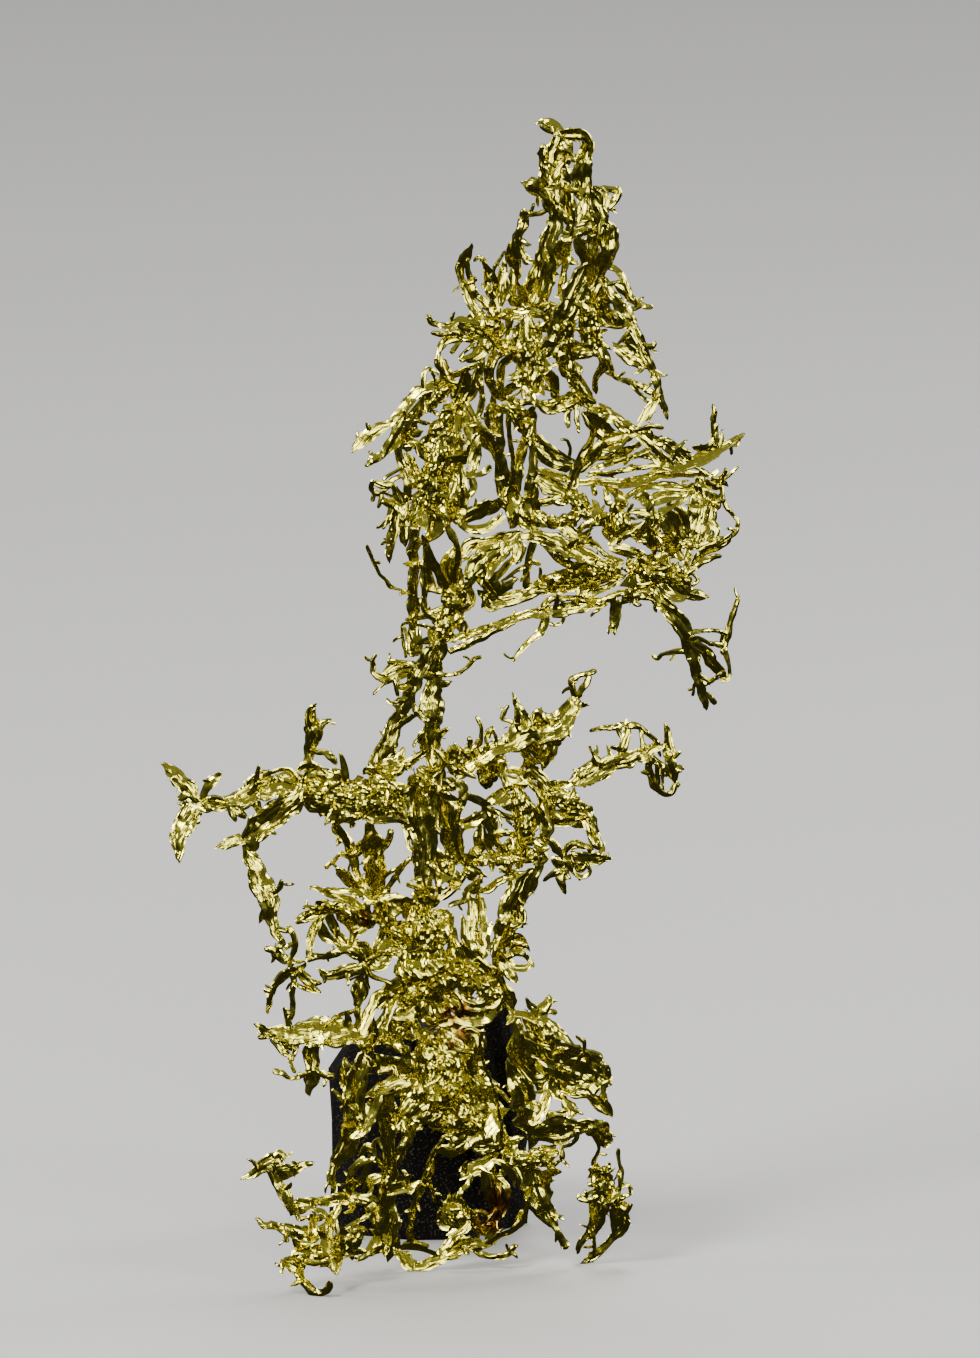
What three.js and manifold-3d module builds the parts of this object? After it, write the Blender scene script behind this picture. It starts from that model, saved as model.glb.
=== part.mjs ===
// Wire gold: a native gold specimen of hooked ribbons, blades and crumpled leaves, standing on its
// own feet and held from behind by a rough black support.
// Millimetres, +Z up, +Y to the back, the origin under the middle of the specimen on the ground.
import * as THREE from 'three';
import { mergeVertices } from 'three/addons/utils/BufferGeometryUtils.js';
import Module from 'manifold-3d';

const wasm = await Module();
wasm.setup();

// ---- Driving dimensions -------------------------------------------------------------------
const TENTH = 0.1;            // the routes below are written in tenths of a millimetre
const LOOK_DOWN = 12 * Math.PI / 180;  // the drawing sheet is seen from 12 degrees above level
const GROUND_LINE = 127.85;   // where the ground meets the middle plane, down the sheet
const MIDDLE_ACROSS = 45.4;   // the specimen's middle, across the sheet
const MIDDLE_BACK = 10.55;    // the specimen's middle, front to back
const GAP = 0.3;              // clearance between two neighbouring nodes
const THINNEST = 0.34;        // the thinnest solid
const STRAIGHT = 0.3;         // a bend shallower than this is drawn straight
const FINEST = 0.04;          // edges shorter than this are closed up where solids are joined
const ROOT_DEPTH = 0.15;      // how near the middle of its parent a strand is rooted, as a share of width
const STAGGER = 0.03;         // depth by which crossing strands differ, so that no two faces lie in one plane
const COARSENESS = [0.09, 0.07, 0.05, 0.03, 0.01];  // how far facets may move when drawn together, tried in turn
const TOUCHING = 0.003;       // corners nearer than this are taken to lie in one place
const APART = 0.02;           // how far such corners are drawn apart
const WELD = 0.001;           // corners nearer than this count as one
const ROUNDING = 0.0001;      // what a corner's place is rounded to when a node is written down

// Section of each kind of strand: its thickness as a share of its width, its number of sides,
// and how far it is rolled about its own length, to one side and the other in turn.
const KINDS = {
  twig: { flat: 0.9, sides: 3, roll: 0 },
  wire: { flat: 0.8, sides: 3, roll: 0 },
  blade: { flat: 0.36, sides: 4, roll: 0.42 },
  leaf: { flat: 0.26, sides: 4, roll: 0.3 },
  mass: { flat: 0.62, sides: 6, roll: 0.2 },
};

// The black support: rough rings [height, across, back, half width, half depth].
const SUPPORT_BLOCK = [
  [0, 42.5, 23.5, 9.8, 7.5], [5, 42.3, 23.5, 9.9, 7.4], [11, 42.5, 23.2, 9.6, 7.0],
  [16, 42.2, 22.6, 9.2, 6.6], [20.4, 42.4, 22.4, 7.4, 5.4],
];
const SUPPORT_HORN = [
  [6.5, 49.6, 19, 2.6, 4.2], [12, 50.2, 15.8, 2.6, 4.2], [18, 50.0, 12.2, 2.3, 4.4],
  [23, 49.6, 7.6, 1.9, 4.4], [27.4, 49.5, 4.9, 1.3, 3.4],
];
const SUPPORT_SIDES = 11;

// Each strand: its kind, how far back it lies at its start and its end in millimetres, and its
// route down the sheet as [across, down, width] in tenths of a millimetre.
const ROUTES = {
  "crown_tip": [ // the tuft of hooks and channelled blades at the very top
    ["blade", 1, 0, [539, 126, 8], [547, 123, 11], [555, 127, 12], [559, 134, 14], [558, 144, 18],
      [553, 160, 20], [550, 180, 22], [553, 206, 22]],
    ["blade", 2, 1, [556, 139, 8], [562, 136, 9], [572, 134, 10], [583, 136, 11], [587, 146, 12],
      [585, 158, 15], [582, 172, 16], [583, 188, 17], [581, 206, 16]],
    ["twig", -1, 0, [542, 146, 6], [544, 158, 9], [541, 166, 6], [547, 178, 7], [550, 194, 9]],
    ["twig", -1, 0, [568, 142, 7], [566, 154, 8], [561, 166, 8], [563, 180, 6]],
    ["blade", 4, 2, [558, 158, 12], [562, 180, 15], [560, 200, 15], [560, 222, 12]],
    ["wire", -1, 0, [574, 158, 5], [579, 168, 6], [575, 182, 6], [573, 200, 7]],
    ["blade", -2, 0, [524, 183, 9], [531, 184, 11], [539, 191, 11], [548, 201, 9], [556, 210, 9]],
    ["leaf", 2, 1, [594, 188, 8], [600, 199, 20], [598, 212, 18], [594, 228, 13]],
    ["twig", 2, 2, [600, 210, 8], [612, 205, 7], [616, 198, 7], [618, 187, 4]],
    ["twig", 3, 2, [611, 191, 5], [601, 190, 6], [598, 200, 6]],
    ["blade", 1, 2, [594, 200, 10], [602, 222, 13], [610, 234, 14], [610, 247, 14], [604, 261, 16],
      [596, 274, 18], [588, 292, 20], [580, 306, 18]],
    ["blade", 0, 1, [590, 222, 12], [594, 240, 12], [592, 256, 14], [586, 274, 18], [576, 298, 16]],
    ["blade", 1, 1, [574, 200, 10], [584, 212, 12], [594, 222, 12]],
    ["wire", 0, 1, [560, 241, 6], [576, 234, 9], [594, 228, 9]],
    ["blade", -1, 0, [568, 188, 10], [567, 205, 10], [571, 222, 9], [569, 236, 9], [567, 252, 10],
      [564, 270, 9], [562, 298, 10]],
    ["leaf", -1, 0, [580, 192, 7], [583, 208, 11], [580, 224, 5]],
    ["blade", 0, 1, [556, 200, 12], [555, 222, 14], [550, 239, 17], [546, 256, 20], [542, 275, 24],
      [537, 294, 22], [533, 312, 18]],
    ["wire", -1, 0, [525, 210, 5], [522, 222, 8], [519, 236, 9], [516, 252, 10], [516, 266, 11],
      [513, 282, 10], [514, 300, 10], [522, 314, 10]],
    ["twig", 0, 0, [522, 215, 5], [536, 216, 4], [552, 211, 4]],
  ],
  "crown_left": [ // the hooks and small leaves that rise left of the crown
    ["blade", -2, -1, [470, 247, 7], [466, 258, 10], [461, 268, 9], [462, 280, 8], [466, 292, 9],
      [471, 304, 10], [477, 316, 12], [488, 328, 13], [503, 342, 14]],
    ["wire", -1, 0, [472, 262, 4], [468, 272, 5], [470, 282, 6], [475, 293, 7], [483, 302, 7],
      [494, 316, 9], [502, 334, 12]],
    ["twig", -2, -1, [473, 263, 3], [480, 258, 4], [484, 260, 5], [485, 269, 4], [488, 279, 5],
      [490, 290, 6], [497, 306, 6], [499, 322, 8], [502, 338, 10]],
    ["twig", -2, -2, [505, 252, 3], [498, 264, 4], [490, 280, 5]],
    ["twig", -1, -1, [482, 284, 4], [490, 293, 5], [497, 308, 6]],
    ["leaf", -1, 0, [505, 262, 4], [502, 276, 9], [499, 289, 10], [501, 310, 8]],
    ["twig", 0, 0, [512, 269, 3], [514, 280, 4], [510, 294, 4], [500, 305, 5]],
    ["wire", -4, -1, [427, 316, 5], [432, 322, 6], [442, 326, 7], [452, 325, 8], [464, 321, 8],
      [476, 325, 10], [492, 336, 12], [504, 346, 12]],
    ["wire", -3, -1, [431, 334, 4], [438, 335, 5], [450, 333, 7], [462, 336, 9], [476, 341, 12],
      [496, 348, 14]],
    ["twig", -3, -2, [437, 363, 5], [439, 352, 5], [442, 345, 5], [449, 339, 5], [460, 337, 5]],
    ["twig", -3, -2, [451, 355, 5], [456, 347, 5], [463, 339, 5]],
    ["twig", -3, -2, [459, 361, 4], [465, 353, 4], [474, 344, 4]],
    ["twig", -2, -2, [462, 364, 4], [470, 358, 5], [482, 346, 5]],
  ],
  "crown_core": [ // the dense crumpled heart of the crown, with the broad white blade down its front
    ["blade", -1, -2, [586, 274, 18], [580, 288, 24], [570, 306, 24], [557, 335, 20], [545, 356, 12]],
    ["mass", 1, 1, [526, 322, 26], [527, 345, 40], [530, 372, 38], [534, 398, 24]],
    ["blade", 0, 0, [508, 350, 26], [530, 352, 26], [554, 350, 18]],
    ["mass", 1, 1, [556, 316, 26], [562, 335, 32], [567, 360, 28], [577, 385, 20], [584, 404, 12]],
    ["wire", 0, 0, [506, 398, 7], [520, 404, 8], [533, 402, 8], [548, 404, 9], [563, 400, 9], [578, 396, 9]],
    ["wire", 0, 0, [530, 410, 7], [550, 411, 8], [564, 407, 7], [576, 400, 7]],
    ["twig", 0, 0, [568, 396, 6], [568, 414, 6], [568, 429, 4]],
    ["twig", 1, 0, [574, 400, 5], [577, 420, 5], [579, 434, 4]],
    ["blade", 1, 1, [520, 342, 18], [500, 352, 18], [490, 372, 12], [494, 390, 12], [500, 402, 8]],
    ["wire", 1, 1, [576, 350, 12], [590, 352, 10], [600, 354, 7]],
    ["twig", 1, 2, [582, 306, 6], [594, 306, 5], [606, 312, 5]],
  ],
  "right_drape": [ // the long ribbon hanging in an arc right of the crown, with its ribbed leaf
    ["blade", 2, 3, [600, 276, 9], [606, 286, 11], [613, 296, 12], [621, 308, 14], [630, 322, 14],
      [637, 338, 11], [645, 355, 9], [651, 370, 9], [656, 384, 9], [660, 398, 8], [665, 410, 7],
      [667, 420, 3]],
    ["wire", 3, 3, [606, 267, 5], [616, 270, 6], [623, 279, 7], [628, 290, 8], [632, 301, 8],
      [641, 305, 6], [653, 308, 4]],
    ["twig", 2, 3, [604, 286, 5], [616, 282, 5], [625, 282, 5]],
    ["twig", 3, 3, [622, 306, 5], [634, 309, 5], [642, 305, 4]],
    ["blade", 3, 3, [606, 318, 11], [615, 324, 13], [626, 326, 10]],
    ["twig", 2, 2, [631, 330, 5], [622, 340, 4], [616, 346, 3]],
    ["leaf", 3, 3, [620, 346, 14], [630, 353, 20], [641, 362, 18], [648, 372, 10]],
    ["twig", 3, 3, [641, 344, 5], [651, 347, 5], [656, 342, 3]],
    ["wire", 1, 3, [606, 356, 5], [611, 366, 5], [613, 376, 5], [624, 380, 5], [638, 385, 5],
      [648, 391, 6], [659, 396, 6]],
    ["wire", 2, 3, [628, 380, 5], [638, 393, 5], [648, 401, 5], [657, 404, 5]],
    ["blade", 3, 2, [657, 388, 7], [654, 402, 8], [648, 413, 9], [642, 424, 9]],
  ],
  "crown_middle": [ // the ribbons that gather below the heart of the crown and run down to the roof
    ["blade", 1, 1, [534, 416, 8], [533, 440, 8], [533, 470, 9], [528, 496, 10], [524, 524, 12]],
    ["blade", 0, 1, [500, 410, 7], [500, 437, 8], [502, 463, 9], [508, 484, 10], [519, 512, 14]],
    ["wire", 0, 1, [509, 412, 5], [509, 438, 5], [513, 462, 5], [517, 484, 7]],
    ["blade", 0, 1, [498, 448, 10], [499, 470, 10], [502, 492, 10], [512, 514, 12]],
    ["leaf", 0, 0, [530, 474, 6], [533, 496, 11], [525, 514, 9]],
    ["blade", 1, 1, [536, 434, 8], [546, 446, 8], [557, 453, 8], [574, 462, 8]],
    ["wire", 0, 0, [582, 412, 6], [588, 421, 6], [594, 432, 7], [590, 442, 7], [584, 450, 7],
      [576, 466, 8], [570, 484, 9], [567, 502, 9]],
    ["twig", -1, 0, [594, 445, 5], [584, 460, 6], [576, 476, 6], [570, 492, 6]],
    ["twig", 0, 0, [560, 440, 3], [567, 441, 3], [570, 447, 3], [569, 460, 3]],
    ["blade", 1, 1, [540, 468, 6], [556, 476, 8], [570, 482, 8]],
    ["mass", 1, 1, [562, 494, 14], [576, 502, 18], [590, 512, 16], [600, 517, 9]],
    ["wire", 1, 1, [575, 534, 5], [585, 525, 6], [597, 518, 7], [609, 514, 5]],
    ["twig", 1, 1, [602, 516, 5], [604, 526, 5], [605, 534, 3]],
    ["blade", 1, 1, [522, 508, 12], [545, 501, 9], [564, 498, 9]],
    ["mass", 1, 1, [520, 514, 24], [545, 520, 12], [568, 520, 12], [582, 512, 12]],
    ["mass", 1, 1, [508, 500, 16], [518, 516, 22], [522, 527, 18]],
  ],
  "right_arm": [ // the upper right arm, ending in a spike and a hooked point
    ["blade", 1, 2, [590, 407, 12], [600, 409, 14], [613, 418, 14], [626, 427, 12], [636, 436, 10]],
    ["blade", 1, 2, [600, 442, 8], [612, 438, 8], [624, 434, 9], [636, 434, 9], [646, 442, 8],
      [660, 454, 8], [674, 466, 9]],
    ["wire", 0, 1, [602, 452, 6], [615, 449, 6], [630, 440, 6]],
    ["blade", 1, 3, [592, 469, 6], [625, 459, 6], [643, 455, 7], [660, 462, 9], [680, 467, 12]],
    ["wire", 2, 3, [586, 476, 5], [620, 471, 5], [645, 466, 5], [670, 467, 8]],
    ["twig", 1, 2, [650, 451, 5], [630, 458, 4], [612, 463, 4]],
    ["blade", 3, 5, [668, 469, 11], [680, 467, 13], [692, 462, 14], [706, 456, 15], [716, 450, 14],
      [724, 446, 10], [731, 442, 7], [738, 437, 5], [745, 434, 3]],
    ["wire", 4, 4, [714, 448, 9], [715, 430, 7], [714, 418, 5], [712, 404, 2]],
    ["twig", 5, 5, [728, 443, 5], [737, 445, 4], [741, 440, 3]],
    ["wire", 2, 4, [648, 446, 4], [655, 442, 4], [666, 439, 4], [677, 446, 5], [690, 456, 6]],
    ["twig", 3, 3, [672, 460, 6], [678, 447, 5], [686, 440, 3]],
    ["twig", 2, 2, [634, 431, 5], [650, 427, 4], [664, 428, 3]],
    ["wire", 4, 4, [694, 465, 6], [703, 471, 6], [712, 476, 6], [718, 469, 4]],
  ],
  "right_fan": [ // the thin curled sheet under the right arm with the wire loop round its edge
    ["leaf", 4, 3, [704, 482, 12], [706, 494, 26], [704, 510, 30], [700, 526, 24], [694, 544, 12]],
    ["wire", 3, 2, [704, 482, 6], [692, 489, 6], [684, 499, 6], [672, 507, 6], [658, 513, 6]],
    ["leaf", 4, 4, [710, 482, 8], [718, 482, 10], [725, 486, 7]],
    ["twig", 4, 4, [718, 482, 5], [732, 472, 4], [739, 466, 3]],
    ["wire", 4, 3, [721, 484, 4], [724, 497, 4], [727, 507, 4], [733, 515, 4], [738, 522, 4],
      [737, 530, 4], [730, 537, 4], [716, 539, 5], [700, 538, 6]],
    ["twig", 4, 4, [712, 503, 4], [726, 500, 4]],
    ["leaf", 2, 3, [636, 500, 8], [650, 501, 14], [664, 497, 12], [682, 494, 8], [700, 492, 8]],
    ["leaf", 2, 2, [632, 514, 8], [648, 514, 13], [662, 512, 10]],
    ["leaf", 2, 2, [628, 537, 10], [640, 536, 16], [650, 527, 16], [660, 514, 10]],
    ["blade", 2, 3, [620, 501, 6], [632, 493, 7], [643, 487, 7], [660, 486, 8], [676, 486, 7],
      [692, 489, 6]],
    ["blade", 2, 3, [655, 510, 9], [672, 516, 10], [682, 532, 10], [694, 542, 10]],
    ["blade", 2, 2, [644, 492, 7], [650, 506, 9], [652, 522, 9]],
    ["wire", 3, 3, [734, 540, 4], [715, 541, 6], [700, 545, 7], [688, 549, 8]],
  ],
  "roof": [ // the two long blades that lean together like a roof, and the ribbon under the right one
    ["blade", 1, 0, [521, 535, 9], [535, 536, 13], [550, 541, 17], [565, 547, 20], [580, 553, 20],
      [595, 560, 15], [608, 564, 10], [622, 562, 8]],
    ["wire", 0, 0, [570, 542, 6], [590, 543, 6], [608, 556, 6], [618, 562, 6]],
    ["blade", 0, -1, [522, 534, 9], [512, 542, 9], [504, 552, 9], [496, 563, 10], [486, 576, 10]],
    ["leaf", -1, 0, [518, 537, 8], [510, 545, 14], [500, 558, 9]],
    ["blade", 0, -1, [514, 538, 10], [492, 555, 12], [476, 572, 12], [464, 586, 10]],
    ["wire", -1, -1, [504, 540, 6], [490, 548, 8], [474, 561, 9], [464, 578, 9]],
    ["blade", 2, 1, [534, 540, 8], [528, 562, 8], [526, 592, 7]],
    ["twig", 2, 2, [528, 562, 4], [541, 564, 3]],
    ["twig", 1, 1, [500, 582, 4], [512, 574, 4], [528, 564, 4]],
    ["blade", -1, 0, [534, 590, 7], [545, 579, 8], [555, 575, 9], [568, 571, 10], [585, 569, 11],
      [600, 567, 10], [620, 562, 9]],
    ["blade", -1, 0, [497, 598, 8], [515, 595, 9], [530, 591, 9], [560, 588, 10], [577, 586, 10],
      [600, 580, 10], [622, 574, 11]],
    ["mass", 0, 0, [546, 584, 9], [570, 578, 18], [596, 574, 18], [616, 568, 14]],
    ["wire", 0, 0, [588, 577, 6], [587, 565, 5], [589, 552, 3]],
    ["leaf", -1, 0, [484, 570, 8], [492, 582, 14], [502, 598, 9]],
    ["blade", 0, 1, [480, 590, 10], [492, 598, 12], [500, 606, 10]],
  ],
  "stem_head": [ // the knot at the top of the two stems, with the strands rising from it
    ["mass", 0, 0, [452, 592, 16], [450, 608, 26], [446, 628, 26], [438, 641, 20]],
    ["blade", -1, -1, [464, 594, 8], [458, 604, 12], [450, 620, 12]],
    ["twig", 0, 2.4, [440, 614, 5], [425, 617, 5], [405, 620, 4]],
    ["twig", 0, 3, [438, 628, 5], [420, 626, 4], [403, 624, 3], [403, 642, 3], [406, 658, 3]],
    ["wire", -1, 0, [421, 560, 6], [424, 585, 7], [425, 596, 7], [424, 608, 7], [434, 622, 8]],
    ["blade", -2, -1, [424, 536, 8], [428, 550, 8], [433, 560, 8], [438, 571, 9], [443, 584, 10],
      [448, 600, 10]],
    ["wire", -2, -1, [446, 524, 5], [450, 532, 6], [456, 542, 6], [459, 556, 7], [456, 574, 7],
      [454, 592, 8]],
  ],
  "rear_post": [ // the dark post behind the left wing, with a thin wire crossing to it
    ["wire", 2, 3, [416, 523, 11], [414, 545, 12], [414, 570, 12], [414, 590, 11], [412, 610, 10],
      [412, 630, 8], [414, 646, 8], [418, 656, 7]],
    ["twig", -1, 2, [367, 545, 3], [370, 552, 4], [374, 563, 4], [380, 573, 4], [386, 580, 4],
      [393, 588, 4], [402, 590, 4], [412, 595, 4]],
  ],
  "left_wing": [ // the crumpled mass of leaves and ribbons on the left of the crown
    ["mass", -1, -1, [462, 402, 20], [452, 420, 34], [442, 445, 46], [438, 470, 50], [434, 494, 42],
      [426, 512, 26]],
    ["blade", -2, -2, [454, 400, 8], [458, 424, 7], [460, 444, 7], [461, 464, 7], [462, 484, 9],
      [464, 500, 9], [462, 514, 4]],
    ["leaf", -2, -2, [460, 400, 8], [465, 416, 10], [468, 430, 9], [469, 442, 5]],
    ["leaf", -2, -2, [468, 370, 7], [464, 386, 13], [458, 399, 13], [452, 410, 8]],
    ["leaf", -2, -2, [421, 499, 6], [421, 512, 9], [422, 522, 10], [424, 530, 6]],
    ["twig", -2, -2, [466, 400, 4], [477, 420, 4], [486, 430, 4], [494, 434, 4]],
    ["wire", -1, -1, [479, 366, 7], [472, 385, 7], [464, 404, 8]],
    ["wire", -1, 0, [462, 478, 6], [480, 474, 6], [491, 466, 6]],
    ["blade", -1, 0, [454, 508, 10], [465, 513, 10], [480, 506, 9], [493, 500, 9]],
    ["blade", -1, 0, [456, 520, 8], [470, 530, 9], [485, 529, 10], [501, 517, 10]],
    ["mass", -1, -1, [440, 500, 26], [452, 512, 16], [460, 524, 10]],
    ["blade", -1, -1, [446, 382, 10], [454, 390, 12], [462, 404, 12]],
    ["wire", -1, 0, [484, 352, 5], [480, 376, 6], [482, 398, 6], [478, 416, 7], [464, 432, 8]],
  ],
  "left_wing_tips": [ // the claws and hanging leaves at the outer edge of the left wing
    ["blade", -3, -2, [352, 453, 4], [359, 444, 7], [368, 434, 8], [378, 427, 7], [390, 424, 7],
      [399, 416, 10], [406, 406, 11], [416, 395, 10], [428, 388, 10], [438, 386, 10]],
    ["wire", -3, -2, [365, 467, 4], [375, 460, 8], [384, 454, 8], [389, 444, 8], [393, 434, 7],
      [401, 424, 7], [410, 412, 8]],
    ["blade", -2, -2, [434, 392, 8], [424, 402, 9], [414, 413, 10], [407, 424, 10], [402, 436, 9],
      [398, 448, 8]],
    ["blade", -2, -2, [397, 442, 8], [400, 460, 9], [405, 473, 9], [408, 487, 8], [406, 500, 8]],
    ["twig", -3, -3, [383, 481, 3], [392, 473, 4], [403, 468, 4]],
    ["twig", -3, -2, [373, 480, 4], [372, 490, 6], [378, 494, 6], [386, 490, 6], [393, 480, 6],
      [404, 475, 6]],
    ["twig", -3, -3, [378, 509, 4], [381, 500, 5], [380, 490, 5]],
    ["wire", -3, -2, [387, 499, 6], [396, 508, 8], [402, 519, 8], [406, 500, 6]],
    ["leaf", -3, -3, [397, 508, 6], [394, 530, 10], [391, 543, 9], [389, 553, 7], [389, 563, 2]],
    ["wire", -2, -3, [398, 496, 5], [391, 509, 5], [388, 520, 5], [383, 530, 3]],
    ["wire", -2, -2, [406, 496, 6], [405, 515, 6], [407, 530, 6], [405, 546, 5]],
    ["twig", -2, -3, [436, 357, 4], [439, 365, 6], [443, 374, 6], [436, 388, 7]],
    ["twig", -3, -3, [424, 390, 5], [424, 374, 4], [429, 368, 4], [434, 375, 4], [436, 388, 5]],
    ["blade", -2, -2, [394, 428, 8], [404, 420, 10], [412, 412, 10]],
  ],
  "lower_right_arm": [ // the long low arm from the stems to the right, with a wire loop and two drips
    ["blade", 0, 0, [455, 640, 9], [463, 636, 10], [475, 632, 9], [490, 627, 9], [510, 620, 9],
      [530, 614, 10], [548, 612, 12]],
    ["wire", -1, 0, [448, 652, 6], [460, 647, 7], [480, 638, 7], [500, 627, 7], [516, 620, 7]],
    ["wire", -1, 0, [541, 608, 6], [550, 600, 6], [562, 599, 6], [575, 599, 6], [585, 601, 6],
      [600, 602, 6], [608, 598, 6], [620, 593, 6], [632, 591, 6]],
    ["blade", 0, 1, [543, 612, 12], [560, 611, 13], [575, 608, 13], [590, 604, 12], [606, 600, 9]],
    ["twig", -1, -1, [543, 606, 3], [538, 611, 3], [545, 619, 3], [553, 625, 3], [561, 623, 3],
      [564, 612, 3], [562, 600, 3]],
    ["blade", 0, -1, [546, 612, 9], [545, 622, 9], [540, 632, 8], [530, 641, 6], [522, 649, 5],
      [516, 656, 4], [513, 661, 3]],
    ["twig", 0, 0, [608, 602, 4], [598, 610, 3], [590, 617, 3]],
    ["blade", 0, 0, [614, 596, 12], [616, 606, 13], [616, 616, 11], [614, 626, 7], [614, 635, 3]],
  ],
  "right_knot": [ // the knot where the roof, the low arm, the fan and the pendant meet
    ["mass", 1, 2, [629, 567, 16], [646, 570, 26], [664, 572, 28], [680, 575, 20], [690, 584, 14]],
    ["leaf", 2, 2, [672, 588, 10], [688, 593, 12], [700, 596, 9], [708, 598, 3]],
    ["wire", 2, 3, [684, 574, 7], [700, 562, 6], [711, 557, 6], [722, 556, 4]],
    ["twig", 2, 3, [684, 578, 4], [692, 574, 3], [698, 580, 3], [692, 589, 4]],
    ["blade", 2, 3, [654, 566, 12], [666, 554, 13], [678, 553, 8]],
    ["blade", 1, 1, [638, 588, 8], [650, 586, 9], [668, 580, 9]],
    ["wire", 1, 1, [634, 578, 8], [632, 586, 7], [636, 592, 6]],
    ["twig", 1, 1, [636, 590, 5], [636, 604, 4], [642, 605, 3]],
    ["wire", 1, 1, [646, 560, 8], [640, 552, 6], [628, 550, 5], [612, 548, 4]],
  ],
  "pendant": [ // the blade that hangs from the right arm, with a forked wire beside it
    ["blade", 1.6, 5.5, [658, 593, 10], [663, 604, 13], [669, 612, 17], [678, 622, 20], [685, 633, 20],
      [690, 645, 18], [692, 656, 15], [695, 668, 12], [698, 680, 10], [702, 692, 9], [706, 703, 7],
      [706, 710, 4]],
    ["wire", 6, 6, [690, 651, 8], [680, 652, 6], [670, 653, 5], [663, 655, 5], [658, 659, 4],
      [652, 655, 3]],
    ["wire", 6, 7, [690, 632, 5], [706, 630, 5], [714, 630, 4], [727, 634, 5]],
    ["wire", 6, 7, [692, 637, 5], [706, 641, 5], [714, 644, 5], [724, 646, 6]],
    ["wire", 7, 8, [723, 655, 7], [725, 642, 8], [727, 632, 7], [730, 620, 6], [734, 610, 5],
      [738, 600, 4], [740, 596, 3]],
    ["wire", 7, 7, [724, 648, 6], [728, 660, 5], [730, 672, 4], [728, 679, 4], [720, 677, 5]],
    ["blade", 6, 7, [694, 640, 9], [706, 652, 11], [712, 662, 11], [719, 670, 9], [726, 678, 6]],
    ["twig", 6, 6, [700, 688, 5], [708, 683, 5], [715, 679, 4]],
    ["twig", 6, 6, [698, 679, 5], [694, 688, 4], [693, 696, 3]],
    ["twig", 6, 6, [702, 690, 5], [710, 697, 5], [717, 704, 4]],
  ],
  "left_stem": [ // the left of the two stems below the crown, with a bird-like tuft on its side
    ["blade", 0, 0, [433, 643, 9], [428, 651, 10], [423, 660, 12], [418, 671, 14], [413, 685, 14], [408, 700, 14],
      [402, 712, 14], [397, 722, 15], [391, 735, 17], [386, 748, 19], [382, 760, 22], [380, 768, 22]],
    ["twig", -1, -1, [377, 654, 3], [372, 662, 4], [373, 670, 6], [379, 678, 7], [388, 682, 7]],
    ["leaf", -1, 0, [383, 682, 8], [393, 678, 9], [402, 673, 9], [414, 672, 8]],
    ["wire", -1, 0, [387, 661, 5], [398, 662, 5], [410, 664, 6], [420, 666, 6]],
    ["twig", -1, -1, [386, 681, 4], [379, 688, 3], [373, 695, 3]],
    ["twig", -1, -1, [394, 677, 5], [397, 688, 4], [398, 697, 3]],
    ["twig", 0, 0, [402, 710, 4], [396, 706, 3], [391, 701, 2]],
    ["twig", 0, 0, [392, 764, 5], [398, 756, 4], [403, 747, 3]],
  ],
  "right_stem": [ // the right of the two stems, with the curved wire on its far side
    ["blade", 1, 1, [438, 642, 10], [436, 653, 11], [435, 665, 14], [434, 682, 15], [434, 700, 18], [434, 716, 19],
      [433, 731, 19], [432, 746, 18], [434, 760, 17], [437, 769, 17]],
    ["twig", 0, 1, [418, 708, 4], [422, 714, 4], [430, 718, 5]],
    ["wire", 1, 1, [430, 750, 6], [420, 757, 6], [410, 763, 6], [402, 767, 6]],
    ["wire", 1, 3, [434, 674, 5], [448, 675, 4], [456, 674, 4], [464, 669, 4], [470, 664, 4],
      [474, 659, 4], [482, 657, 3]],
    ["twig", 1, 1, [436, 734, 5], [449, 729, 4]],
    ["twig", 1, 1, [430, 730, 5], [421, 733, 4], [419, 744, 4]],
  ],
  "left_arm": [ // the broad bright arm reaching left from the foot of the stems
    ["blade", -5, -4, [213, 804, 14], [224, 802, 16], [234, 800, 18], [245, 797, 22], [258, 791, 30],
      [272, 787, 30], [286, 786, 28], [302, 788, 26]],
    ["mass", -4, -1, [298, 786, 24], [310, 788, 28], [322, 796, 44], [342, 797, 50], [360, 797, 48],
      [378, 799, 42], [395, 805, 30], [406, 808, 22]],
    ["twig", -5, -5, [256, 782, 7], [258, 772, 5], [259, 765, 3]],
    ["twig", -5, -4, [268, 771, 4], [276, 777, 5], [286, 779, 5], [297, 776, 6]],
    ["blade", -4, -3, [300, 775, 10], [322, 774, 11], [350, 775, 11]],
    ["twig", -5, -5, [232, 806, 6], [234, 814, 7], [236, 822, 4]],
    ["twig", -5, -5, [236, 806, 6], [242, 813, 7], [247, 818, 6]],
    ["mass", -1, 0, [368, 786, 20], [384, 784, 28], [392, 792, 26], [400, 802, 22]],
    ["twig", -1, -1, [386, 798, 4], [396, 794, 3], [403, 790, 2]],
  ],
  "left_arm_leaf": [ // the leaf standing on the left arm, and the two claws beside it
    ["blade", -3, -3, [317, 704, 2], [311, 709, 6], [310, 716, 11], [313, 725, 18], [315, 732, 19],
      [312, 740, 17], [310, 748, 13], [309, 757, 10], [308, 766, 10]],
    ["twig", -3, -3, [318, 728, 9], [326, 721, 4]],
    ["twig", -3, -3, [311, 750, 5], [317, 753, 5], [325, 753, 6], [331, 757, 7], [337, 765, 6]],
  ],
  "left_arm_blades": [ // the four blades spread like a propeller at the end of the left arm
    ["blade", -6, -6, [163, 766, 6], [172, 772, 14], [182, 782, 17], [191, 791, 15], [201, 801, 13]],
    ["blade", -6, -6, [202, 800, 7], [207, 788, 8], [212, 782, 10], [217, 777, 8], [220, 771, 3]],
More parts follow.
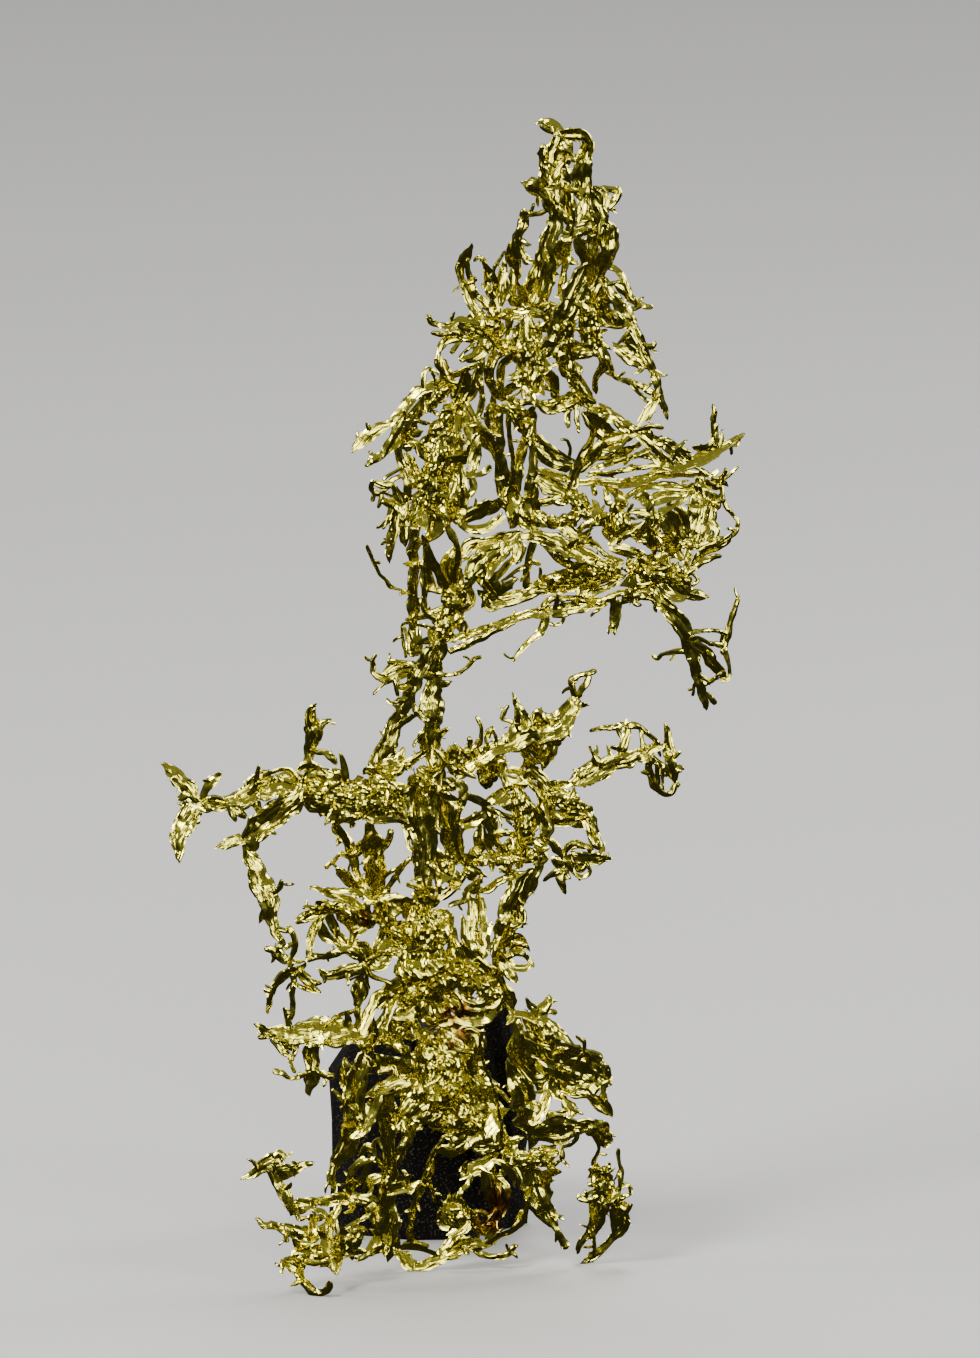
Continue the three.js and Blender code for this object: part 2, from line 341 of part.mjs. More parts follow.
    ["blade", -6, -7, [202, 801, 14], [193, 812, 20], [186, 822, 18], [180, 834, 16], [178, 845, 13],
      [179, 855, 9], [179, 862, 5]],
    ["blade", -6, -5, [198, 802, 14], [224, 804, 14]],
  ],
  "left_arm_hanger": [ // the long ribbon that folds down from the left arm to a ring of claws
    ["blade", -5, -6, [284, 808, 16], [268, 817, 26], [255, 830, 24], [249, 842, 16], [248, 850, 12],
      [250, 858, 16], [254, 868, 18], [258, 878, 20], [264, 890, 25], [268, 902, 20], [270, 915, 14],
      [274, 928, 10], [280, 940, 8], [284, 948, 6]],
    ["blade", -6, -6, [218, 848, 5], [226, 845, 9], [234, 841, 10], [246, 837, 10]],
    ["twig", -6, -6, [275, 894, 6], [280, 886, 5], [282, 879, 3]],
    ["twig", -6, -6, [264, 834, 6], [272, 832, 4], [277, 834, 3]],
    ["wire", -6, -6, [264, 949, 5], [274, 950, 8], [280, 957, 7], [285, 961, 6], [291, 956, 6],
      [295, 946, 7], [294, 937, 6], [291, 930, 6], [287, 926, 4]],
    ["twig", -6, -6, [282, 942, 7], [279, 950, 7], [278, 955, 6]],
  ],
  "trunk": [ // the short trunk of parallel ribbons between the stems and the base
    ["mass", 0, 1, [408, 780, 12], [418, 781, 14], [430, 784, 18], [446, 785, 20], [456, 782, 16]],
    ["blade", 0, 0, [414, 788, 14], [419, 810, 24], [422, 830, 26], [424, 850, 26], [424, 868, 20],
      [424, 884, 16], [424, 896, 18]],
    ["blade", 0, 1, [446, 786, 18], [448, 806, 24], [450, 824, 24], [453, 842, 22], [458, 857, 20],
      [466, 868, 14]],
    ["blade", 1, 1, [432, 788, 10], [432, 812, 18], [434, 828, 12], [434, 842, 5]],
    ["blade", -1, -1, [426, 846, 8], [438, 856, 12], [448, 863, 12], [460, 862, 10]],
    ["wire", 0, 0, [432, 862, 8], [436, 876, 6], [438, 888, 6], [438, 900, 6]],
    ["blade", 1, 1, [470, 872, 8], [456, 886, 8], [446, 896, 8], [438, 903, 8]],
    ["twig", -1, 0, [406, 884, 5], [412, 886, 5], [422, 890, 6]],
    ["twig", 1, 1, [464, 868, 12], [470, 874, 10], [474, 881, 8]],
    ["blade", 1, 2, [400, 822, 8], [410, 816, 10], [420, 812, 12]],
  ],
  "rising_arm": [ // the right arm that rises to an arched tip, with its spurs and dark lumps
    ["blade", 1, 3, [458, 774, 15], [466, 768, 18], [478, 760, 18], [492, 752, 17], [506, 745, 16],
      [520, 737, 22], [534, 731, 26], [550, 728, 28], [562, 722, 26], [570, 712, 20], [575, 702, 14],
      [577, 694, 9]],
    ["blade", 3, 4, [562, 724, 24], [550, 738, 24], [544, 752, 20], [541, 763, 13]],
    ["blade", 2, 3, [520, 741, 8], [524, 752, 9], [530, 760, 9], [538, 766, 9]],
    ["wire", 3, 3, [576, 698, 7], [573, 688, 5], [571, 681, 6], [578, 676, 6], [588, 673, 7],
      [597, 671, 6]],
    ["twig", 3, 4, [577, 698, 7], [584, 686, 7], [591, 680, 7]],
    ["twig", 3, 3, [573, 688, 4], [566, 690, 3], [562, 694, 3]],
    ["twig", 2, 2, [512, 692, 2], [516, 701, 5], [519, 711, 7], [518, 722, 7], [520, 732, 7]],
    ["twig", 2, 2, [509, 705, 3], [505, 712, 4], [502, 719, 4], [510, 721, 4], [520, 724, 6]],
    ["twig", 3, 3, [530, 724, 6], [534, 713, 7], [539, 711, 7], [545, 718, 6], [548, 726, 6]],
    ["twig", 1, 1, [476, 716, 3], [480, 723, 4], [482, 732, 4], [480, 744, 5], [482, 754, 6]],
    ["twig", 1, 2, [486, 748, 5], [486, 734, 4], [490, 730, 4], [495, 736, 4], [497, 748, 5]],
    ["twig", 1, 1, [469, 736, 3], [471, 746, 6], [476, 758, 7]],
    ["twig", 1, 1, [457, 745, 3], [464, 752, 5], [474, 760, 7]],
    ["mass", 6, 5, [452, 747, 14], [453, 758, 22], [458, 768, 20], [464, 772, 12]],
    ["mass", 6, 6, [488, 786, 14], [487, 776, 22], [492, 764, 20], [496, 756, 12]],
    ["blade", 2, 5, [480, 764, 10], [486, 766, 14], [490, 770, 14]],
  ],
  "far_right_arm": [ // the farthest right arm, with its arch, spikes and end claw
    ["blade", 3, 5, [570, 788, 18], [578, 782, 18], [588, 776, 18], [598, 770, 20], [608, 766, 18],
      [620, 762, 16], [632, 758, 15], [644, 754, 13], [654, 748, 10], [662, 744, 8]],
    ["twig", 4, 4, [579, 780, 5], [578, 769, 3]],
    ["twig", 3, 3, [585, 780, 8], [583, 772, 7], [584, 765, 3]],
    ["twig", 4, 4, [596, 768, 8], [596, 756, 7], [597, 745, 3]],
    ["blade", 4, 5, [620, 758, 10], [624, 744, 9], [627, 732, 8], [628, 721, 7]],
    ["twig", 5, 5, [589, 731, 3], [598, 729, 4], [608, 727, 7], [618, 728, 8], [628, 727, 8]],
    ["wire", 5, 5, [626, 726, 7], [638, 726, 6], [646, 731, 6], [654, 738, 6], [660, 746, 7]],
    ["twig", 5, 5, [641, 728, 4], [643, 740, 4], [643, 752, 5]],
  ],
  "far_right_claw": [ // the caged claw hanging from the end of the farthest right arm
    ["blade", 5, 6, [664, 746, 6], [668, 756, 8], [673, 766, 9], [676, 776, 8], [674, 784, 6]],
    ["blade", 6, 6, [666, 723, 3], [668, 736, 7], [670, 746, 9], [673, 756, 8], [676, 762, 6]],
    ["twig", 6, 6, [673, 759, 4], [678, 754, 5], [682, 751, 3]],
    ["blade", 5, 5, [651, 757, 6], [658, 763, 7], [667, 769, 8], [674, 777, 8]],
    ["wire", 5, 6, [652, 759, 6], [649, 768, 8], [652, 778, 8], [658, 788, 8], [664, 794, 6],
      [671, 793, 6], [675, 785, 6], [681, 785, 4]],
    ["twig", 5, 5, [641, 772, 3], [650, 774, 6]],
    ["twig", 5, 6, [657, 762, 5], [658, 774, 4], [658, 786, 5]],
    ["twig", 5, 6, [664, 766, 5], [663, 778, 4], [664, 792, 4]],
    ["twig", 6, 6, [674, 774, 6], [680, 768, 6], [685, 770, 3]],
  ],
  "mid_right_mass": [ // the broad crumpled sheets between the trunk and the right arms
    ["mass", 3, 3, [512, 789, 12], [518, 798, 24], [524, 812, 30], [524, 828, 28], [518, 842, 24],
      [508, 852, 22]],
    ["blade", 3, 3, [541, 774, 8], [543, 786, 11], [546, 800, 15], [547, 812, 18], [547, 824, 16],
      [545, 836, 12], [538, 850, 14]],
    ["twig", 3, 3, [503, 755, 4], [504, 765, 7], [506, 778, 9], [508, 792, 10]],
    ["blade", 3, 3, [508, 769, 7], [520, 772, 8], [528, 780, 8], [536, 790, 8], [543, 800, 8]],
    ["blade", 2, 3, [508, 794, 10], [518, 786, 12], [528, 788, 9]],
    ["wire", 2, 3, [474, 799, 6], [486, 805, 6], [500, 813, 6], [520, 821, 6]],
    ["blade", 2, 2, [480, 805, 9], [489, 818, 14], [492, 830, 12], [495, 842, 10], [498, 854, 8]],
    ["blade", 2, 2, [478, 826, 9], [479, 842, 10], [482, 857, 11]],
    ["blade", 3, 3, [469, 824, 5], [478, 818, 8], [490, 812, 8]],
    ["blade", 3, 3, [486, 803, 6], [496, 796, 8], [508, 788, 9]],
    ["mass", 2, 3, [470, 850, 8], [478, 858, 16], [490, 860, 14], [508, 860, 14], [524, 858, 15],
      [540, 852, 15]],
    ["mass", 4, 3, [550, 790, 10], [562, 796, 24], [574, 803, 26], [584, 810, 18]],
    ["blade", 3, 3, [580, 802, 16], [586, 815, 17], [591, 828, 14], [595, 838, 12], [600, 846, 8]],
    ["mass", 3, 3, [550, 816, 12], [566, 816, 17], [584, 816, 17]],
  ],
  "right_star": [ // the small star of points and the wire loop below the crumpled sheets
    ["wire", 4, 4, [561, 868, 6], [564, 852, 6], [573, 844, 6], [586, 847, 7], [594, 850, 6]],
    ["blade", 4, 5, [566, 858, 10], [582, 860, 14], [596, 860, 14], [604, 859, 8], [612, 860, 3]],
    ["twig", 5, 5, [606, 860, 4], [609, 853, 2]],
    ["twig", 4, 3, [566, 864, 6], [574, 872, 4], [583, 877, 4], [590, 872, 4], [586, 862, 4]],
    ["blade", 4, 4, [556, 864, 10], [563, 868, 12], [566, 876, 8], [570, 880, 3]],
    ["twig", 4, 4, [543, 882, 3], [552, 875, 7], [561, 868, 9]],
    ["twig", 4, 4, [563, 870, 9], [563, 884, 8], [566, 895, 3]],
    ["twig", 4, 3, [558, 866, 8], [552, 860, 6]],
  ],
  "lower_blade": [ // the broad crumpled blade that falls from the sheets to the base, with its claws
    ["blade", 3, 1, [538, 864, 14], [530, 877, 19], [524, 890, 23], [516, 904, 24], [510, 918, 24],
      [504, 932, 20], [500, 944, 14], [496, 956, 10]],
    ["wire", 1, 1, [516, 908, 6], [523, 911, 6], [524, 918, 6], [519, 925, 6], [510, 928, 6]],
    ["blade", 1, 1, [500, 950, 8], [508, 944, 10], [518, 937, 9], [525, 943, 6], [530, 951, 2]],
    ["wire", 1, 1, [496, 958, 10], [508, 955, 9], [516, 953, 7], [524, 956, 5], [530, 962, 5],
      [534, 968, 3]],
    ["blade", 1, 1, [500, 957, 12], [506, 968, 14], [513, 978, 10], [517, 984, 4]],
    ["blade", 1, 1, [494, 955, 8], [497, 968, 10], [501, 978, 7], [505, 989, 5]],
    ["blade", 3, 2, [478, 892, 6], [488, 889, 8], [498, 882, 8], [510, 877, 9], [526, 876, 12]],
  ],
  "rear_struts": [ // the darker ribbons behind the left of the trunk
    ["blade", 4, 4, [336, 829, 10], [341, 834, 12], [348, 843, 13], [353, 858, 11], [357, 875, 10],
      [363, 888, 10], [372, 897, 10]],
    ["blade", 2, 3, [374, 826, 20], [373, 834, 20], [372, 846, 20], [375, 860, 20], [374, 875, 20],
      [373, 892, 18]],
    ["wire", 2, 2, [370, 842, 9], [360, 850, 8], [352, 856, 10]],
    ["twig", 2, 1, [354, 856, 7], [341, 855, 5], [334, 859, 5], [325, 869, 5]],
    ["twig", 2, 3, [350, 858, 3], [349, 874, 3], [356, 886, 5]],
    ["blade", 2, 3, [335, 871, 4], [342, 876, 7], [350, 883, 8], [362, 892, 9]],
    ["wire", 2, 3, [391, 829, 6], [387, 842, 6], [382, 856, 8]],
    ["wire", 0.6, 3, [411, 857, 5], [401, 868, 6], [394, 878, 6], [387, 889, 5], [376, 894, 8]],
  ],
  "left_twigs": [ // the tangle of small ribbons and fingers left of the trunk
    ["blade", -1, 0, [308, 888, 3], [316, 888, 5], [322, 891, 6], [330, 896, 8], [340, 898, 10],
      [350, 901, 10], [358, 908, 10], [368, 918, 9], [380, 922, 10]],
    ["blade", -2, -1, [317, 901, 3], [321, 908, 6], [327, 914, 8], [332, 924, 10], [338, 934, 8],
      [344, 942, 8], [350, 948, 8]],
    ["mass", -1, -1, [324, 904, 9], [336, 908, 16], [350, 914, 20], [364, 921, 18], [376, 922, 12]],
    ["twig", -3, -2, [302, 908, 3], [309, 908, 4], [322, 910, 6]],
    ["wire", -3, -2, [295, 923, 4], [302, 918, 6], [310, 914, 7], [323, 911, 7]],
    ["blade", -2, -3, [325, 911, 8], [317, 922, 10], [313, 932, 10], [311, 942, 8], [309, 952, 8],
      [306, 960, 8]],
    ["twig", -2, -2, [322, 922, 4], [330, 935, 4], [345, 947, 5]],
    ["twig", -1, -1, [346, 920, 5], [351, 934, 5], [356, 944, 6]],
    ["blade", -2, -1, [346, 947, 8], [356, 947, 13], [364, 953, 9], [366, 962, 8]],
    ["wire", -3, -1, [300, 957, 6], [312, 958, 6], [324, 956, 6], [336, 953, 7], [346, 951, 8],
      [356, 956, 8], [364, 962, 9]],
    ["blade", -2, -1, [318, 971, 6], [326, 976, 9], [336, 974, 12], [348, 971, 13], [358, 968, 11],
      [368, 963, 9]],
    ["twig", -2, -2, [325, 974, 6], [324, 984, 4]],
    ["twig", -2, -2, [348, 974, 5], [348, 987, 3]],
    ["wire", -1, 0, [362, 962, 8], [372, 957, 7], [384, 954, 7], [392, 957, 7]],
    ["twig", -1, 0, [370, 956, 5], [377, 946, 5], [383, 934, 6], [386, 924, 8]],
    ["twig", -1, 0, [364, 962, 6], [372, 976, 5], [384, 981, 5], [392, 984, 5]],
    ["wire", -1, 0, [363, 964, 7], [361, 976, 6], [359, 988, 11], [358, 1000, 12], [357, 1009, 10]],
    ["twig", -1, 0, [363, 968, 5], [367, 982, 5], [369, 990, 4]],
    ["leaf", 0, 0, [380, 948, 8], [388, 944, 12], [396, 946, 10]],
  ],
  "left_twig_fork": [ // the forked twig hanging at the outer end of the tangle
    ["blade", -3, -3, [303, 964, 9], [298, 969, 10], [290, 973, 9], [281, 979, 8], [274, 986, 8],
      [270, 993, 8], [269, 1003, 6], [269, 1011, 5]],
    ["twig", -3, -3, [263, 990, 4], [271, 992, 6]],
    ["twig", -3, -3, [296, 971, 8], [303, 978, 6], [309, 986, 7], [314, 990, 6], [321, 993, 3]],
    ["wire", -3, -3, [298, 970, 7], [306, 976, 8], [314, 983, 7], [322, 984, 4]],
    ["wire", -3, -3, [294, 972, 7], [293, 984, 6], [292, 995, 6], [293, 1005, 6], [292, 1014, 6],
      [289, 1020, 6]],
    ["twig", -3, -3, [293, 1014, 5], [286, 1012, 4]],
  ],
  "left_low_arm": [ // the low left arm with its hanging leg and claws
    ["blade", -2, 0, [254, 1026, 4], [260, 1029, 8], [270, 1033, 11], [280, 1035, 15],
      [290, 1036, 20], [304, 1034, 24], [318, 1033, 26], [332, 1033, 30], [346, 1031, 30],
      [359, 1031, 28]],
    ["twig", -2, -2, [257, 1038, 5], [264, 1038, 4], [276, 1038, 6]],
    ["wire", -2, -2, [275, 1040, 6], [282, 1050, 6], [288, 1056, 5], [291, 1064, 4], [295, 1074, 4]],
    ["twig", -2, -2, [294, 1042, 8], [294, 1053, 5]],
    ["blade", -1, -1, [308, 1040, 18], [311, 1054, 16], [312, 1066, 15], [312, 1078, 14],
      [311, 1086, 15], [311, 1094, 8]],
    ["twig", -2, -1, [272, 1072, 5], [280, 1074, 6], [288, 1078, 5], [296, 1078, 4], [310, 1073, 5]],
    ["twig", -1, -1, [315, 1069, 5], [324, 1076, 6], [335, 1077, 4]],
    ["twig", 0, 0, [356, 1030, 9], [358, 1018, 8], [357, 1007, 6]],
  ],
  "base_mass": [ // the dense crumpled mass at the top of the base
    ["mass", 1, 1, [414, 906, 30], [418, 916, 44], [421, 936, 58], [424, 956, 66], [430, 976, 76],
      [436, 992, 84], [436, 1004, 70]],
    ["blade", 0, 0, [381, 908, 8], [392, 902, 10], [404, 903, 12], [412, 912, 14]],
    ["mass", 1, 0, [384, 918, 12], [392, 930, 20], [400, 944, 26]],
    ["blade", 1, 0, [442, 910, 9], [446, 918, 15], [450, 930, 14], [453, 942, 12], [456, 956, 12]],
    ["blade", 0, 0, [438, 922, 7], [445, 934, 9], [453, 946, 11], [461, 958, 14], [467, 968, 12],
      [472, 980, 12]],
    ["mass", 1, 1, [452, 968, 34], [470, 984, 26], [488, 988, 28], [500, 998, 16]],
    ["blade", 0, 0, [472, 966, 6], [482, 970, 10], [490, 976, 12]],
    ["blade", 1, 2, [400, 984, 22], [390, 996, 18], [381, 1005, 11], [374, 1010, 6]],
    ["blade", 0, 1, [394, 1000, 14], [387, 1014, 12], [380, 1028, 12], [374, 1042, 9],
      [368, 1050, 8]],
    ["mass", 1, 2, [402, 1008, 30], [404, 1022, 28], [402, 1032, 20], [396, 1040, 10]],
    ["mass", 1, 1, [436, 1000, 74], [442, 1014, 60], [450, 1024, 46]],
  ],
  "sheaf": [ // the pale upright blades standing between the base and the crumpled sheets
    ["blade", 1, 0, [471, 894, 6], [472, 908, 9], [473, 920, 10], [475, 935, 13], [478, 948, 14],
      [481, 958, 10]],
    ["blade", 2, 1, [479, 894, 7], [481, 908, 9], [483, 922, 8], [483, 940, 8], [484, 956, 9]],
    ["blade", 1, 0, [492, 922, 4], [488, 932, 6], [486, 945, 9], [486, 958, 9]],
    ["twig", 0, 0, [470, 893, 8], [476, 888, 6], [478, 882, 4]],
    ["twig", 1, 2, [471, 896, 5], [464, 899, 4], [448, 905, 3]],
    ["leaf", 1, 0, [464, 917, 4], [465, 928, 8], [466, 940, 10], [472, 952, 9]],
  ],
  "base_shell": [ // the crumpled hollow below the dense mass, with the bright-edged sheet beside it
    ["mass", 1.6, 2, [431, 1033, 40], [428, 1044, 46], [436, 1056, 62], [444, 1068, 72], [448, 1082, 84],
      [454, 1098, 86], [464, 1112, 72], [470, 1124, 60], [474, 1136, 44]],
    ["blade", 0, -1, [466, 1030, 26], [470, 1042, 26], [468, 1060, 32], [472, 1080, 36],
      [478, 1098, 38], [482, 1114, 40], [484, 1130, 38], [484, 1142, 34], [480, 1152, 16]],
    ["leaf", 2, 1, [374, 1054, 6], [382, 1063, 16], [394, 1067, 18], [410, 1064, 18],
      [424, 1058, 18]],
    ["wire", -1, -1, [486, 1076, 5], [499, 1091, 4], [510, 1104, 3]],
    ["blade", 2, 1, [424, 1092, 22], [414, 1106, 20], [402, 1120, 14], [394, 1130, 10]],
    ["wire", 2, 2, [426, 1112, 12], [414, 1128, 10], [404, 1148, 10], [396, 1166, 6]],
    ["twig", 1, 1, [404, 1118, 8], [404, 1130, 5], [404, 1142, 4]],
    ["twig", 1, 1, [452, 1120, 14], [456, 1140, 12], [460, 1154, 7]],
    ["blade", 2, 2, [408, 1080, 16], [400, 1088, 12], [392, 1094, 8]],
  ],
  "left_leg": [ // the long ribbon leg at the left of the base
    ["blade", -1, -2, [364, 1056, 10], [360, 1063, 14], [354, 1074, 17], [351, 1088, 19],
      [350, 1102, 18], [349, 1116, 18], [348, 1130, 17], [345, 1142, 15], [341, 1154, 13],
      [335, 1164, 11], [332, 1174, 9], [332, 1184, 9], [334, 1193, 9]],
    ["twig", -1, -1, [331, 1090, 4], [336, 1096, 4], [345, 1105, 6]],
    ["blade", -1, -1, [377, 1096, 9], [372, 1108, 14], [367, 1120, 16], [360, 1132, 12],
      [352, 1144, 10]],
    ["twig", -1, -1, [352, 1074, 7], [346, 1066, 7], [344, 1058, 4]],
    ["twig", -1, -1, [350, 1086, 8], [342, 1082, 5]],
    ["leaf", -1, -1, [358, 1058, 6], [365, 1063, 12], [371, 1072, 5]],
    ["blade", -1, -1, [366, 1064, 8], [364, 1084, 7], [360, 1104, 8], [358, 1122, 9]],
    ["twig", -2, -2, [330, 1170, 5], [328, 1180, 4], [332, 1186, 5]],
  ],
  "middle_leg": [ // the straight bundled leg left of the middle
    ["blade", 0, 3, [394, 1098, 10], [392, 1104, 18], [388, 1114, 21], [388, 1128, 19],
      [387, 1142, 15], [388, 1158, 14], [389, 1172, 15], [387, 1184, 18], [387, 1200, 18],
      [388, 1214, 19], [387, 1228, 22], [385, 1242, 27], [384, 1254, 24]],
    ["twig", 1, 1, [384, 1140, 5], [375, 1144, 5], [374, 1152, 4], [378, 1162, 5], [380, 1171, 5]],
    ["blade", 1, 2, [390, 1186, 10], [402, 1184, 12], [411, 1179, 4]],
    ["blade", 1, 2, [390, 1194, 10], [406, 1190, 9], [420, 1184, 4]],
    ["blade", 1, 0, [378, 1238, 10], [370, 1251, 8], [363, 1259, 6], [355, 1263, 3]],
  ],
  "left_foot": [ // the left foot: a cross arm, and a stalk carrying a boat-shaped pair of leaves
    ["blade", -5, -5, [240, 1180, 2], [248, 1176, 7], [258, 1171, 12], [266, 1165, 18],
      [273, 1162, 18], [278, 1168, 8]],
    ["twig", -5, -5, [273, 1158, 9], [279, 1152, 5], [287, 1156, 4], [293, 1152, 3]],
    ["blade", -5, -5, [270, 1168, 10], [280, 1172, 20], [290, 1172, 14], [302, 1167, 8],
      [314, 1164, 3]],
    ["blade", -5, -5, [275, 1174, 10], [278, 1184, 9], [284, 1192, 11], [288, 1200, 12],
      [290, 1208, 13], [289, 1215, 8]],
    ["blade", -5, 0, [288, 1205, 12], [300, 1205, 12], [316, 1203, 9], [330, 1201, 9],
      [344, 1200, 12], [358, 1200, 12], [370, 1203, 11], [374, 1204, 11]],
    ["wire", -5, -5, [296, 1208, 6], [312, 1209, 5], [322, 1213, 5], [328, 1218, 4]],
    ["twig", -5, -5, [297, 1208, 4], [299, 1220, 4], [307, 1218, 3]],
    ["twig", -4, -4, [353, 1202, 6], [351, 1211, 6], [344, 1215, 4]],
    ["blade", -4, -3, [344, 1198, 8], [352, 1187, 12], [362, 1180, 9], [368, 1168, 8],
      [371, 1158, 5]],
    ["blade", -4, -3, [350, 1190, 8], [351, 1176, 8], [357, 1166, 10], [365, 1157, 9]],
  ],
  "left_low_foot": [ // the lowest left foot: crumpled claws and the curled wire that meets the ground
    ["blade", -8, -3.2, [256, 1221, 6], [266, 1226, 8], [278, 1227, 9], [290, 1231, 13],
      [302, 1236, 17], [313, 1236, 14], [322, 1230, 10], [329, 1222, 9], [334, 1215, 9],
      [338, 1209, 7]],
    ["twig", -8, -8, [285, 1231, 6], [287, 1243, 4]],
    ["blade", -8, -8, [292, 1234, 12], [300, 1244, 12], [308, 1250, 12]],
    ["blade", -8, -8, [331, 1218, 9], [329, 1232, 12], [326, 1244, 13], [322, 1252, 11]],
    ["mass", -8, -7, [294, 1262, 17], [302, 1257, 24], [316, 1256, 22], [332, 1254, 18],
      [346, 1245, 20], [358, 1236, 20], [365, 1229, 14]],
    ["twig", -8, -8, [291, 1258, 9], [283, 1264, 6], [281, 1270, 4], [282, 1277, 3]],
    ["blade", -8, -8, [335, 1254, 11], [337, 1264, 9], [334, 1274, 5]],
    ["wire", -8, -10, [297, 1266, 8], [299, 1276, 8], [303, 1283, 9], [309, 1289, 9], [316, 1293, 8],
      [324, 1291, 7], [328, 1286, 7], [329, 1281, 4]],
    ["twig", -8, -8, [310, 1240, 5], [310, 1226, 4], [311, 1214, 3]],
  ],
  "base_rim": [ // the low rim that joins the feet along the ground
    ["blade", 2, 3, [397, 1252, 10], [403, 1258, 14], [410, 1265, 13], [420, 1269, 8],
      [432, 1263, 10], [444, 1257, 16], [456, 1251, 18], [466, 1247, 15], [478, 1247, 10],
      [492, 1248, 7]],
    ["wire", 3, 3, [471, 1250, 5], [480, 1256, 5], [492, 1259, 6], [504, 1257, 6], [512, 1252, 5],
      [516, 1247, 4]],
    ["wire", 4, 5, [484, 1247, 5], [492, 1243, 4], [498, 1238, 4], [506, 1236, 5], [514, 1231, 7],
      [520, 1221, 10], [523, 1212, 7]],
    ["blade", 3, 3, [442, 1252, 12], [452, 1242, 9], [457, 1237, 6]],
  ],
  "inner_twigs": [ // the thin forked twigs standing in the middle of the base
    ["wire", 1, 5, [442, 1142, 5], [436, 1152, 5], [430, 1162, 5], [427, 1174, 6], [423, 1186, 7],
      [418, 1198, 7], [414, 1210, 7], [411, 1222, 6], [410, 1234, 6], [411, 1249, 7]],
    ["wire", 5, 5, [402, 1247, 4], [412, 1246, 6], [420, 1247, 6], [429, 1250, 7]],
    ["twig", 1, 5, [436, 1163, 5], [431, 1174, 5], [428, 1182, 6]],
    ["twig", 5, 5, [427, 1180, 5], [431, 1190, 5], [433, 1198, 5], [435, 1206, 3]],
    ["twig", 5, 5, [432, 1195, 4], [437, 1194, 2]],
    ["twig", 5, 5, [412, 1202, 3], [412, 1214, 5]],
    ["wire", 1, 1, [450, 1142, 3], [446, 1138, 4], [440, 1146, 5]],
  ],
  "base_strands": [ // the rust-stained ribbons under the shell, with the cubic crystal they carry
    ["blade", 2, 3, [460, 1180, 8], [466, 1173, 13], [478, 1168, 14], [490, 1163, 14],
      [498, 1158, 10]],
    ["wire", 2, 1, [472, 1176, 6], [468, 1186, 6], [461, 1193, 6], [457, 1201, 6]],
    ["blade", 3, 3, [494, 1168, 12], [495, 1190, 11], [497, 1204, 12], [496, 1218, 12],
      [491, 1230, 12], [485, 1239, 9]],
    ["blade", 4, 4, [504, 1176, 11], [507, 1192, 8], [506, 1206, 6], [503, 1218, 5]],
    ["blade", 4, 3, [497, 1176, 10], [508, 1176, 10]],
    ["twig", 2, 2, [497, 1210, 5], [490, 1221, 4], [481, 1230, 4]],
    ["blade", 2, 3, [473, 1214, 8], [478, 1228, 12], [480, 1238, 12]],
    ["mass", 1, 1, [444, 1213, 12], [451, 1215, 24], [459, 1220, 24], [465, 1224, 10]],
    ["twig", 1, 3, [460, 1224, 8], [468, 1226, 8], [478, 1230, 8]],
  ],
  "right_low_fan": [ // the wide crumpled sheet low on the right
    ["blade", 1, 1, [508, 1010, 12], [514, 1018, 13], [518, 1030, 12], [521, 1042, 13]],
    ["leaf", 1, 3, [522, 1040, 14], [545, 1054, 24], [565, 1060, 26], [585, 1068, 28],
      [598, 1076, 22], [609, 1082, 12]],
    ["leaf", 1, 2, [522, 1052, 20], [540, 1068, 26], [560, 1080, 24], [576, 1087, 20],
      [592, 1084, 12]],
    ["blade", 1, 2, [522, 1034, 8], [545, 1044, 6], [570, 1048, 6], [586, 1055, 7], [596, 1066, 8]],
    ["blade", 2, 3, [556, 1082, 7], [564, 1091, 8], [574, 1095, 8], [588, 1091, 7], [602, 1086, 8]],
    ["blade", 3, 3, [580, 1092, 8], [592, 1099, 12], [602, 1106, 13], [610, 1113, 9], [612, 1119, 3]],
    ["blade", 1, 2, [512, 1014, 12], [524, 1016, 9], [536, 1019, 8], [549, 1025, 13],
      [559, 1034, 13], [568, 1043, 9], [574, 1050, 8]],
    ["mass", 2, 2, [534, 1028, 11], [548, 1036, 20], [562, 1044, 14]],
    ["twig", 2, 2, [585, 1055, 5], [585, 1046, 4], [584, 1039, 2]],
    ["twig", 1, 1, [526, 998, 2], [530, 1004, 3], [536, 1008, 4], [532, 1014, 5], [528, 1018, 6]],
    ["twig", 2, 2, [549, 995, 3], [549, 1005, 6], [543, 1012, 8], [538, 1020, 8]],
    ["twig", 2, 2, [557, 1014, 3], [550, 1012, 5], [542, 1014, 6]],
    ["blade", 1, 2, [523, 1020, 6], [530, 1030, 7], [536, 1040, 6]],
  ],
  "right_strip": [ // the crumpled strip that drops from the low fan to the right leg
    ["blade", 0, 1, [510, 1062, 7], [511, 1070, 9], [516, 1082, 17], [522, 1094, 26],
      [526, 1108, 30], [528, 1122, 26], [530, 1136, 20], [528, 1144, 20]],
    ["blade", 2, 1, [548, 1086, 8], [546, 1098, 12], [541, 1110, 14], [534, 1122, 14]],
    ["blade", 1, 1, [534, 1130, 16], [548, 1129, 20], [558, 1126, 21], [568, 1127, 18],
      [578, 1129, 14], [586, 1128, 18], [592, 1130, 12]],
    ["blade", 2, 1, [562, 1098, 7], [566, 1106, 9], [570, 1112, 12], [572, 1120, 12]],
    ["twig", 1, 1, [545, 1118, 6], [556, 1114, 5], [568, 1112, 6]],
    ["wire", 1, 1, [576, 1130, 8], [577, 1140, 5], [571, 1146, 4], [562, 1150, 5], [563, 1158, 7],
      [562, 1164, 4]],
    ["mass", 3, 4, [588, 1130, 12], [598, 1132, 9], [606, 1138, 13], [612, 1142, 6]],
  ],
